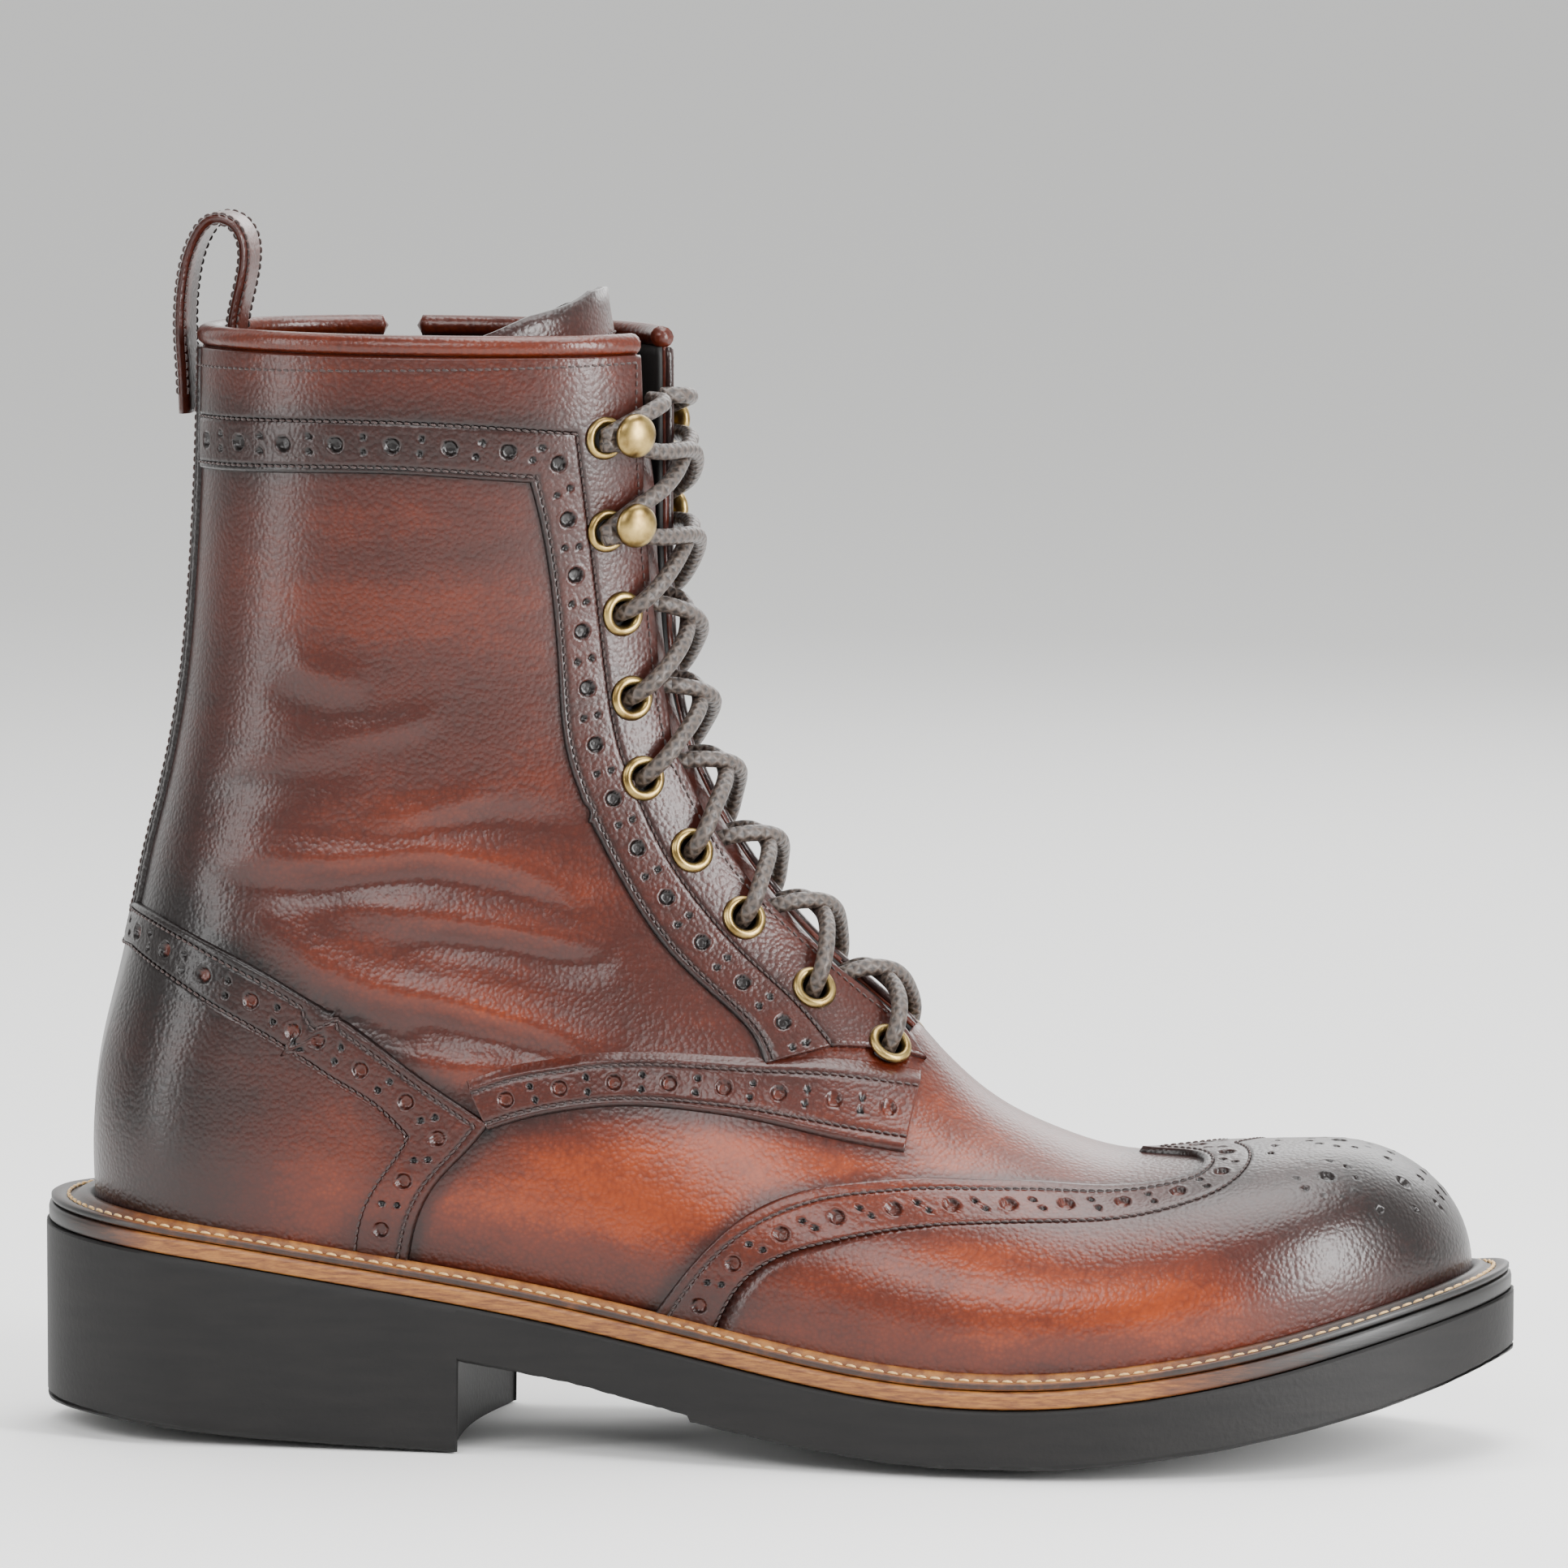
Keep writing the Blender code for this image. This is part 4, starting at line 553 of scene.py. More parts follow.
# Where the antiquing is dark (positive) or rubbed light (negative): x, z, reach along x and z, and amount.
# Columns: x, z, reach_x, reach_z, amount.
STAINS = (
    (12, 80, 26, 60, 0.42), (30, 150, 15, 90, 0.30), (44, 66, 22, 30, 0.22), (36, 104, 24, 16, 0.18),
    (70, 208, 46, 9, 0.26), (62, 150, 22, 26, 0.10), (96, 146, 18, 34, 0.10), (64, 176, 40, 7, -0.14),
    (90, 128, 34, 14, -0.10), (70, 221, 40, 7, -0.10), (104, 96, 26, 10, -0.12), (124, 96, 14, 10, 0.16),
    (66, 54, 16, 12, -0.22), (120, 54, 34, 10, -0.36), (150, 60, 34, 12, -0.30), (190, 56, 40, 16, -0.18),
    (218, 36, 44, 12, -0.24), (196, 70, 20, 16, -0.06), (296, 50, 20, 24, 0.62), (276, 62, 24, 12, 0.34),
    (268, 40, 12, 9, 0.24), (250, 60, 22, 10, 0.12), (258, 34, 30, 6, -0.16), (126, 170, 12, 70, 0.02),
)
STAIN_BASE = 0.36


def crease_height(spot):
    """Height of the creases at points in millimetres: a bell over the distance to each crease line.

    The lines are in side view, and each bell fades towards its line's ends. The zip keeps the leather beside
    it flat.
    """
    x, z = spot[..., 0], spot[..., 2]
    total = np.zeros(x.shape)
    for height, width, places in CREASES:
        line = smooth_path(np.array([(a, 0.0, b) for a, b in places], float), 4 * len(places))[:, [0, 2]]
        run = np.concatenate([[0], np.cumsum(np.hypot(*np.diff(line, axis=0).T))])
        best = np.full(x.shape, 1e9)
        where = np.zeros(x.shape)
        for a, b, start, length in zip(line[:-1], line[1:], run[:-1], np.diff(run)):
            t = np.clip(((x - a[0]) * (b[0] - a[0]) + (z - a[1]) * (b[1] - a[1])) / length**2, 0, 1)
            apart = np.hypot(x - a[0] - t * (b[0] - a[0]), z - a[1] - t * (b[1] - a[1]))
            where = np.where(apart < best, (start + t * length) / run[-1], where)
            best = np.minimum(best, apart)
        total += height * np.exp(-(best / width) ** 2) * np.clip(5.0 * where * (1 - where), 0, 1) ** 0.8
    inner = spot[..., 1] > swing(x)
    return total * np.where(inner, 0.8 * (1 - np.exp(-((x - ZIP_X) / 16.0) ** 2)), 1.0)


def place(s, v, height=0.0):
    """Point in metres at a height in millimetres over the creased upper, measured along its normal."""
    spot = surface(s, v)
    lifted = spot + normal(s, v) * (np.asarray(height, float) + crease_height(spot))[..., None]
    return (lifted + SHIFT) * MM


def stain_and_shade(points):
    """Darkness of the real antiquing at points in metres: a base and soft round stains in side view."""
    x = points[..., 0] / MM - SHIFT[0]
    z = points[..., 2] / MM
    total = np.full(x.shape, STAIN_BASE)
    for at_x, at_z, reach_x, reach_z, amount in STAINS:
        total += amount * np.exp(-((x - at_x) / reach_x) ** 2 - ((z - at_z) / reach_z) ** 2)
    return np.clip(total, 0.02, 0.98)


def running_length(points):
    """Length along a line at each of its points."""
    return np.concatenate([[0], np.cumsum(np.linalg.norm(np.diff(points, axis=0), axis=1))])


def read_along(at, run, points):
    """Points of a line at given running lengths, read by straight lines between its own."""
    return np.stack([np.interp(at, run, points[:, k]) for k in range(3)], axis=-1)


def smooth_step(t):
    """A step that leaves 0 and reaches 1 without a corner."""
    return t * t * (3 - 2 * t)


def smooth_path(points, count):
    """A curve through points, read evenly by a spline over their running length."""
    points = np.asarray(points, float)
    run = running_length(points)
    at = np.linspace(0, run[-1], count)
    return np.stack([spline(at, run, points[:, k]) for k in range(points.shape[1])], axis=1)


def hex_colour(code):
    """An sRGB hex colour as the linear red, green and blue that Blender's shaders take."""
    parts = [int(code[k:k + 2], 16) / 255 for k in (1, 3, 5)]
    return tuple(c / 12.92 if c <= 0.04045 else ((c + 0.055) / 1.055) ** 2.4 for c in parts)


def add_mesh(name, points, faces, material, marks=None):
    """A smooth shaded mesh from points in metres and arrays of faces, one for each number of corners."""
    mesh = bpy.data.meshes.new(name)
    faces = [np.asarray(f, np.int64) for f in faces if len(f)]
    sizes = np.concatenate([np.full(len(f), f.shape[1]) for f in faces])
    corners = np.concatenate([f.ravel() for f in faces])
    mesh.vertices.add(len(points))
    mesh.vertices.foreach_set("co", np.asarray(points, np.float32).ravel())
    mesh.loops.add(len(corners))
    mesh.loops.foreach_set("vertex_index", corners.astype(np.int32))
    mesh.polygons.add(len(sizes))
    starts = np.concatenate([[0], np.cumsum(sizes)[:-1]])
    mesh.polygons.foreach_set("loop_start", starts.astype(np.int32))
    mesh.polygons.foreach_set("use_smooth", np.ones(len(sizes), bool))
    mesh.update(calc_edges=True)
    mesh.validate()
    for mark, values in (marks or {}).items():
        values = np.asarray(values, np.float32)
        kind = "FLOAT" if values.ndim == 1 else "FLOAT_VECTOR"
        field = "value" if values.ndim == 1 else "vector"
        mesh.attributes.new(mark, kind, "POINT").data.foreach_set(field, values.ravel())
    made = bpy.data.objects.new(name, mesh)
    bpy.context.scene.collection.objects.link(made)
    mesh.materials.append(material)
    return made


def closed_shell(name, top, under, material, keep=None, marks=None):
    """A closed mesh from two grids of points: the top, the underside, and a wall along every open edge.

    Points of the top that coincide, at a seam or a pole, are welded. The faces are turned to point outwards.
    """
    rows, columns = top.shape[:2]
    count = rows * columns
    flat = top.reshape(-1, 3)
    _, first, back = np.unique(np.round(flat / 3e-6).astype(np.int64), axis=0, return_index=True,
                               return_inverse=True)
    root = first[back.ravel()].reshape(rows, columns)
    corner = np.stack([root[:-1, :-1], root[:-1, 1:], root[1:, 1:], root[1:, :-1]], axis=-1)
    facing_out = np.cross(top[:-1, 1:] - top[:-1, :-1], top[1:, :-1] - top[:-1, :-1])
    if np.sum(facing_out * (top - under)[:-1, :-1]) < 0:
        corner = corner[..., ::-1]
    corner = corner.reshape(-1, 4) if keep is None else corner[keep]
    same = corner == np.roll(corner, -1, axis=1)
    four = corner[~same.any(axis=1)]
    once = same.sum(axis=1) == 1
    three = corner[once][~np.roll(same[once], 1, axis=1)].reshape(-1, 3)
    edges = np.concatenate([np.stack([f, np.roll(f, -1, axis=1)], axis=-1).reshape(-1, 2)
                            for f in (four, three) if len(f)])
    bare = edges[~np.isin(edges[:, 0] * count + edges[:, 1], edges[:, 1] * count + edges[:, 0])]
    walls = np.stack([bare[:, 1], bare[:, 0], bare[:, 0] + count, bare[:, 1] + count], axis=1)
    four = np.concatenate([four, four[:, ::-1] + count, walls])
    three = np.concatenate([three, three[:, ::-1] + count])
    used = np.unique(np.concatenate([four.ravel(), three.ravel()]))
    seat = np.zeros(2 * count, np.int64)
    seat[used] = np.arange(len(used))
    points = np.concatenate([flat, under.reshape(-1, 3)])[used]
    kept = {mark: np.concatenate([values.reshape(count, *values.shape[2:])] * 2)[used]
            for mark, values in (marks or {}).items()}
    return add_mesh(name, points, [seat[four], seat[three]], material, kept)


TUBE_UP = (0.31, 0.2, 0.93)


def wrapped_faces(rows, columns, closed=False):
    """Faces of a grid of rings. Each ring closes on itself, and with closed the last ring meets the first."""
    i, j = np.meshgrid(np.arange(rows if closed else rows - 1), np.arange(columns), indexing="ij")
    k, m = (i + 1) % rows, (j + 1) % columns
    four = np.stack([i * columns + j, i * columns + m, k * columns + m, k * columns + j], axis=-1)
    return four.reshape(-1, 4)


def tip_faces(rows, columns):
    """Triangles from a grid's first and last ring to its two tips, whose points follow those of the rings."""
    j = np.arange(columns)
    k = (j + 1) % columns
    last = (rows - 1) * columns
    tip = np.full(columns, rows * columns)
    return np.concatenate([np.stack([k, j, tip], axis=1), np.stack([last + j, last + k, tip + 1], axis=1)])


def tube(name, path, radii, material, sides=12, flat=1.0):
    """A closed tube: rings carried along a path without twist, with a domed point at each end.

    radii is one radius or one for each point, and flat squashes the rings along the second direction. The
    lay attribute holds the cosine and sine of the angle round the tube, and the length along it.
    """
    path = np.asarray(path, float)
    radii = np.broadcast_to(np.asarray(radii, float), (len(path),))
    along = np.gradient(path, axis=0)
    along /= np.linalg.norm(along, axis=1, keepdims=True)
    side = np.cross(along[0], TUBE_UP)
    side /= np.linalg.norm(side)
    sides_of = []
    for forward in along:
        side = side - forward * (side @ forward)
        side = side / np.linalg.norm(side)
        sides_of.append(side)
    across = np.array(sides_of)
    other = np.cross(along, across)
    angle = np.arange(sides) * 2 * math.pi / sides
    ring = (np.cos(angle)[None, :, None] * across[:, None, :]
            + flat * np.sin(angle)[None, :, None] * other[:, None, :])
    points = path[:, None, :] + radii[:, None, None] * ring
    run = running_length(path)
    lay = np.stack(np.broadcast_arrays(np.cos(angle)[None, :], np.sin(angle)[None, :], run[:, None]), axis=-1)
    tips = np.array([path[0] - along[0] * radii[0] * 0.5, path[-1] + along[-1] * radii[-1] * 0.5])
    points = np.concatenate([points.reshape(-1, 3), tips])
    lay = np.concatenate([lay.reshape(-1, 3), [[1, 0, 0], [1, 0, run[-1]]]])
    faces = [wrapped_faces(len(path), sides), tip_faces(len(path), sides)]
    return add_mesh(name, points, faces, material, {"lay": lay})


def stitches(name, rows, material, pitch, length, radius):
    """Rows of stitches in one mesh: each is a short spindle of five sides that dips at both ends.

    rows are pairs of arrays, the points of a seam in metres and the outward normals there.
    """
    centres, forwards, outs = [], [], []
    for points, out in rows:
        run = running_length(points)
        count = max(int(round(run[-1] / (pitch * MM))), 1)
        at = (np.arange(count) + 0.5) * run[-1] / count
        centres.append(read_along(at, run, points))
        forwards.append(read_along(at + 0.3 * MM, run, points) - read_along(at - 0.3 * MM, run, points))
        outs.append(read_along(at, run, out))
    centre, forward, out = (np.concatenate(part) for part in (centres, forwards, outs))
    forward /= np.linalg.norm(forward, axis=1, keepdims=True)
    out -= forward * np.sum(out * forward, axis=1, keepdims=True)
    out /= np.linalg.norm(out, axis=1, keepdims=True)
    side = np.cross(forward, out)
    forward = forward + 0.10 * side
    share = np.array([-1.0, -0.62, 0.0, 0.62, 1.0])
    thick = np.array([0.30, 0.92, 1.0, 0.92, 0.30]) * radius * MM
    lift = np.array([-0.55, 0.25, 0.45, 0.25, -0.55]) * radius * MM
    angle = np.arange(5) * 2 * math.pi / 5
    ring = (centre[:, None, None, :]
            + forward[:, None, None, :] * (share * length / 2 * MM)[None, :, None, None]
            + out[:, None, None, :] * (lift[:, None] + thick[:, None] * np.sin(angle))[None, :, :, None]
            + side[:, None, None, :] * (thick[:, None] * np.cos(angle))[None, :, :, None])
    first = np.arange(len(centre)) * ring.shape[1] * 5
    four = (wrapped_faces(5, 5)[None] + first[:, None, None]).reshape(-1, 4)
    cap = np.array([[4, 3, 2, 1, 0], [20, 21, 22, 23, 24]])
    five = (cap[None] + first[:, None, None]).reshape(-1, 5)
    return add_mesh(name, ring.reshape(-1, 3), [four[:, ::-1], five[:, ::-1]], material)


def fine_stitches(name, rows, thread, sizes):
    """Rows of the upper's stitches."""
    return stitches(name, rows, thread, sizes.stitch_pitch, sizes.stitch_length, sizes.thread / 2)


def turned(profile, spot, out, ahead, sides=28, ring=False):
    """Points and faces of a turned shape: a profile in millimetres carried round the normal at a spot.

    The profile's rows are (radius, height, forward). A ring's profile closes on itself, and any other one has
    a flat cap at each end.
    """
    up = np.cross(out, ahead)
    angle = np.arange(sides) * 2 * math.pi / sides
    turn = np.cos(angle)[:, None] * ahead + np.sin(angle)[:, None] * up
    rows = np.array(profile, float)
    wide, high, forward = rows[:, None, :1], rows[:, None, 1:2], rows[:, None, 2:3]
    grid = spot + MM * (wide * turn[None] + high * out + forward * ahead)
    faces = [wrapped_faces(len(rows), sides, ring)]
    if not ring:
        faces.append(np.stack([np.arange(sides)[::-1], (len(rows) - 1) * sides + np.arange(sides)]))
    return grid.reshape(-1, 3), faces


def gathered(name, shapes, material):
    """One mesh from several shapes, each a pair of points and a list of face arrays."""
    by_size = {}
    start = 0
    for points, faces in shapes:
        for f in faces:
            by_size.setdefault(f.shape[1], []).append(f + start)
        start += len(points)
    points = np.concatenate([p for p, _ in shapes])
    return add_mesh(name, points, [np.concatenate(f) for f in by_size.values()], material)


def surface_frame(s, v, height=0.0):
    """Place, outward normal and the direction towards the ridge along the surface, at a station and share."""
    spot, out = place(s, v, height), normal(s, v)
    ahead = surface(s, v + (0.01 if v < 0 else -0.01)) - surface(s, v)
    ahead = ahead - out * (ahead @ out)
    return spot, out, ahead / np.linalg.norm(ahead)


def more_rows(rows, count=61):
    """Rows of side view places read closer together, because stations don't run evenly between far ones."""
    rows = np.array(rows, float)
    middle = (rows[:, :2] + rows[:, 2:]) / 2
    run = running_length(middle)
    at = np.linspace(0, run[-1], count)
    return np.stack([spline(at, run, rows[:, k]) for k in range(4)], axis=1)


def strip_ends(rows, side, count, in_side_view=True):
    """Both long lines of a strip as (station, v), read smoothly through the rows by their running length."""
    rows = np.array(rows, float)
    if in_side_view:
        rows = more_rows(rows)
        edge = np.stack(located(rows[:, 0], rows[:, 1], side), axis=1)
        inner = np.stack(located(rows[:, 2], rows[:, 3], side), axis=1)
        rows = np.concatenate([edge, inner], axis=1)
    else:
        rows[:, [1, 3]] *= side
    spots = (surface(rows[:, 0], rows[:, 1]) + surface(rows[:, 2], rows[:, 3])) / 2
    run = running_length(spots)
    at = np.linspace(0, run[-1], count)
    return np.stack([spline(at, run, rows[:, k]) for k in range(4)], axis=1)


def wing_lines(count):
    """The toe strip from the outer side's foot over the peak to the inner side's foot."""
    outer = strip_ends(WING_STRIP, -1, count, False)
    inner = strip_ends(WING_STRIP[::-1], 1, count, False)
    return np.concatenate([outer, inner[1:]])


def counter_lines(count):
    """The heel strip from the outer side's foot round the back to the inner side's foot."""
    parts = []
    back = [station_of_back(z) for z in COUNTER_BACK_Z]
    for side in (-1, 1):
        front = strip_ends(COUNTER_FRONT[::-1], side, count // 3)
        rows = more_rows(COUNTER_TOP[::-1])
        edge = np.stack(located(rows[:, 0], rows[:, 1], side), axis=1)
        inner = np.stack(located(rows[:, 2], rows[:, 3], side), axis=1)
        rows = np.concatenate([edge, inner], axis=1)
        rows = np.concatenate([rows, [[back[0], side, back[1], side]]])
        top = strip_ends(rows * [1, side, 1, side], side, count - count // 3, False)
        parts.append(np.concatenate([front, top[1:]]))
    return np.concatenate([parts[0], parts[1][::-1][1:]])


def seam_at(s, v, height):
    """Points and outward normals of a row of stitches."""
    return place(s, v, height), normal(s, v)


class Strip:
    """A punched strip: its grid, how far each column is from the cut edge, and its seams and holes."""

    def __init__(self, lines, low, high, across, seams, hole_share, pitch, first=0.5):
        q = np.linspace(low, high, across)
        self.lines, self.q = lines, q
        self.s = lines[:, :1] + (lines[:, 2:3] - lines[:, :1]) * q
        self.v = lines[:, 1:2] + (lines[:, 3:4] - lines[:, 1:2]) * q
        width = np.linalg.norm(surface(lines[:, 2], lines[:, 3]) - surface(lines[:, 0], lines[:, 1]), axis=1)
        self.width = width
        self.from_edge = (q - low)[None, :] * width[:, None]
        self.seams = seams
        middle = self.at(hole_share)
        run = running_length(place(*middle)) / MM
        count = int(round(run[-1] / pitch))
        step = run[-1] / count
        large = (np.arange(count) + first) * step
        large = large[large < run[-1] - 1.0]
        pairs = large + step / 2
        pairs = pairs[pairs < run[-1] - 1.0]
        if first >= 0.5:
            pairs = np.concatenate([[large[0] - step / 2], pairs])
            pairs = pairs[pairs > 1.0]
        self.large = self.spots(large, run, hole_share, 0.0)
        self.small = np.concatenate([self.spots(pairs, run, hole_share, d) for d in (-1, 1)])

    def at(self, share):
        """Station and v along the strip at a share of the way from the edge line to the inner line."""
        lines = self.lines
        s = lines[:, 0] + (lines[:, 2] - lines[:, 0]) * share
        return s, lines[:, 1] + (lines[:, 3] - lines[:, 1]) * share

    def spots(self, at, run, share, sideways):
        """Hole centres in metres at lengths along the strip, moved across it by one pair's half distance."""
        width = np.interp(at, run, self.width)
        shares = share + sideways * PAIR_HALF / width
        row = np.interp(at, run, np.arange(len(run)))
        part = [np.interp(row, np.arange(len(run)), self.lines[:, k]) for k in range(4)]
        s = part[0] + (part[2] - part[0]) * shares
        v = part[1] + (part[3] - part[1]) * shares
        return place(s, v)

    def seam(self, share, height):
        """A row of stitches along the strip."""
        return seam_at(*self.at(share), height)


def punched(points, centres, radius):
    """How deep in a hole each point is, from 0 outside to 1 at its floor, and how near it is to a rim."""
    deep = np.zeros(points.shape[:-1])
    rim = np.zeros(points.shape[:-1])
    for centre in centres:
        apart = np.linalg.norm(points - centre, axis=-1) / (radius * MM)
        t = np.clip((1.12 - apart) / 0.30, 0, 1)
        deep = np.maximum(deep, smooth_step(t))
        rim = np.maximum(rim, np.exp(-((apart - 1.32) / 0.22) ** 2))
    return deep, rim


def strip_piece(name, strip, sizes, material, keep=None, fade=None, shade_large_holes=False):
    """A strip's mesh: it rises in a quarter round from its cut edge, dips at its seams and is punched.

    With fade it sinks into the leather under it, from that share of the way across to its far edge.
    """
    w = strip.from_edge
    rise = np.sqrt(1 - (1 - np.clip(w / EDGE_ROUND, 0, 1)) ** 2)
    height = PANEL_HIGH * rise
    groove = np.zeros_like(w)
    for share in strip.seams:
        from_seam = (strip.q - share)[None, :] * strip.width[:, None]
        groove = np.maximum(groove, np.exp(-(from_seam / SEAM_WIDTH) ** 2))
    height = height - SEAM_DEPTH * groove
    t = 0.0 if fade is None else np.clip((strip.q - fade) / (strip.q[-1] - fade), 0, 1)[None, :]
    height = height * (1 - smooth_step(t)) - 0.12 * (t > 0.999)
    flat = place(strip.s, strip.v)
    large, rim_large = punched(flat, strip.large, sizes.large_hole / 2)
    small, rim_small = punched(flat, strip.small, sizes.small_hole / 2)
    deep = np.maximum(large, small)
    rim = RIM_HIGH * np.maximum(rim_large, rim_small) * (1 - deep)
    height = height + rim - LARGE_DEEP * large - SMALL_DEEP * small
    top = place(strip.s, strip.v, height)
    under = place(strip.s, strip.v, np.minimum(height - 0.3, PANEL_SUNK))
    # Painted shade darkens the seam grooves; the rest is the antiquing, the strip's own darker tone and the
    # ink on its cut edge.
    dark = stain_and_shade(top) + sizes.strip_dark + EDGE_DARK * np.exp(-w / 0.7) + 0.30 * groove
    dark = dark - sizes.strip_dark * t
    # Painted shade on the hole walls and in the small holes, and in the large holes when the flag for them is
    # set; without it the large holes' floors are a lighter tone.
    walls = 4 * deep * (1 - deep)
    dark = dark * (1 - large) + large * (1.25 if shade_large_holes else 0.25) + 0.5 * walls + 0.75 * small
    return closed_shell(name, top, under, material, keep, {"stain_and_shade": np.clip(dark, 0, 1.2)})


def panel_piece(name, s, v, material, keep, extra, from_line, stain_more):
    """A panel's mesh over a grid of (s, v). from_line is each point's distance from its strip."""
    groove = np.exp(-(from_line / SEAM_WIDTH) ** 2)
    height = PANEL_HIGH + extra - SEAM_DEPTH * groove
    top = place(s, v, height)
    below = place(s, v, np.minimum(PANEL_SUNK, height - 0.3))
    # Painted shade darkens the seam groove; the wider band beside the strip carries the strip's darker
    # burnish into the panel.
    dark = stain_and_shade(top) + (0.3 * groove + 0.22 * np.exp(-from_line / 3.0)) + stain_more
    return closed_shell(name, top, below, material, keep, {"stain_and_shade": np.clip(dark, 0, 1.2)})


def near_curve(points, curve, reach):
    """A bell over each point's distance from a curve of points, both in metres. reach is in millimetres."""
    best = np.full(points.shape[:-1], 1e9)
    for spot in curve:
        best = np.minimum(best, np.sum((points - spot) ** 2, axis=-1))
    return np.exp(-best / (reach * MM) ** 2)


def upper_grid(rows, cells):
    """(s, v) of the upper and which cells are leather. cells: outer side, two throats, front, slot, rear."""
    s = np.asarray(rows, float)
    outer, middle, front, slot, rear = cells
    near, far = throat_v(s, -1), throat_v(s, 1)
    zip_s = np.maximum(s, ZIP_LOW_STATION)
    ahead = v_of_side_x(zip_s, ZIP_X + ZIP_SLOT_HALF, 1)
    behind = v_of_side_x(zip_s, ZIP_X - ZIP_SLOT_HALF, 1)
    end = np.ones_like(s)
    stops = [(-end, -near, outer), (-near, far, middle), (far, ahead, front), (ahead, behind, slot),
             (behind, end, rear)]
    parts = [a[:, None] + (b - a)[:, None] * np.linspace(0, 1, n + 1)[None, :-1] for a, b, n in stops]
    v = np.concatenate(parts + [np.ones((len(s), 1))], axis=1)
    keep = np.ones((len(s) - 1, v.shape[1] - 1), bool)
    keep[s[:-1] >= THROAT_START - 1e-6, outer:outer + middle] = False
    keep[s[:-1] >= ZIP_LOW_STATION - 1e-6, outer + middle + front:outer + middle + front + slot] = False
    return s[:, None] * np.ones_like(v), v, keep


def cell_centres(points):
    """Middle of each cell of a grid: the mean of its four corners."""
    return (points[:-1, :-1] + points[1:, :-1] + points[:-1, 1:] + points[1:, 1:]) / 4


def eyelet_spots():
    """Middles of the eyelets of both sides, on the leather under the panels."""
    return [place(station, side * share) for side in (-1, 1) for station, share in EYELET_ROWS]


def clear_of_zip(points):
    """True for the cells of a grid whose middle lies beside the zip's slot or below the cuff."""
    centre = cell_centres(points)
    from_zip = centre[..., 0] / MM - SHIFT[0] - ZIP_X
    return (np.abs(from_zip) > ZIP_SLOT_HALF) | (centre[..., 2] < BELOW_CUFF_Z * MM)


def clear_of(points, spots, radius):
    """True for the cells of a grid whose middle is further from every spot than a radius in millimetres."""
    centre = cell_centres(points)
    best = np.full(centre.shape[:-1], 1e9)
    for spot in spots:
        best = np.minimum(best, np.linalg.norm(centre - spot, axis=-1))
    return best > radius * MM


def station_rows(count_toe, count_foot, count_shaft, top):
    """Stations of a grid from the toe to the top, closer at the tip, with one row at the heel's corner."""
    toe = np.linspace(0, 1, count_toe + 1)[:-1] ** 2
    foot = np.linspace(1.0, THROAT_START, count_foot + 1)[:-1]
    shaft = np.linspace(THROAT_START, ZIP_LOW_STATION, count_shaft + 1)[:-1]
    high = np.linspace(ZIP_LOW_STATION, top, int(count_shaft * 1.15) + 1)
    rows = np.concatenate([toe, foot, shaft, high])
    near = np.argmin(np.abs(rows - CORNER))
    rows[near] = CORNER
    return rows


def build_upper(skin, lining):
    """The vamp and quarters in one creased skin of leather, and the lining inside it."""
    s, v, keep = upper_grid(station_rows(14, 54, 80, COLLAR), (72, 12, 38, 2, 24))
    top = place(s, v)
    keep &= clear_of(top, eyelet_spots(), EYELET_HOLE + 0.9)
    under = place(s, v, SKIN_UNDER)
    dark = stain_and_shade(top)
    # Painted shade, with some antique cream, darkens the skin in bands a few millimetres wide beside the cut
    # edges of the strips over it.
    for lines, amount in ((wing_lines(160), 0.34), (counter_lines(180), 0.40)):
        dark = dark + amount * near_curve(top, place(lines[:, 0], lines[:, 1])[::2], 2.2)
    for side in (-1, 1):
        strips = (strip_ends(CUFF_STRIP, side, 50), strip_ends(FACING_STRIP, side, 80),
                  strip_ends(QUARTER_STRIP, side, 60))
        for lines, amount in zip(strips, (0.2, 0.26, 0.40)):
            dark = dark + amount * near_curve(top, place(lines[:, 0], lines[:, 1])[::2], 2.6)
    # Painted shade in the sunk creases and painted light on the raised ones.
    crease = crease_height(surface(s, v))
    dark = dark - 0.10 * np.clip(crease, -1.4, 1.4)
    made = closed_shell("vamp_and_quarters", top, under, skin, keep, {"stain_and_shade": np.clip(dark, 0, 1.1)})
    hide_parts("upper")
    s, v, keep = upper_grid(station_rows(8, 28, 36, COLLAR), (34, 8, 18, 2, 12))
    inside = closed_shell("lining", place(s, v, LINING_TOP), place(s, v, -WALL), lining, keep)
    return [(made, "calf_leather"), (inside, "lining")]


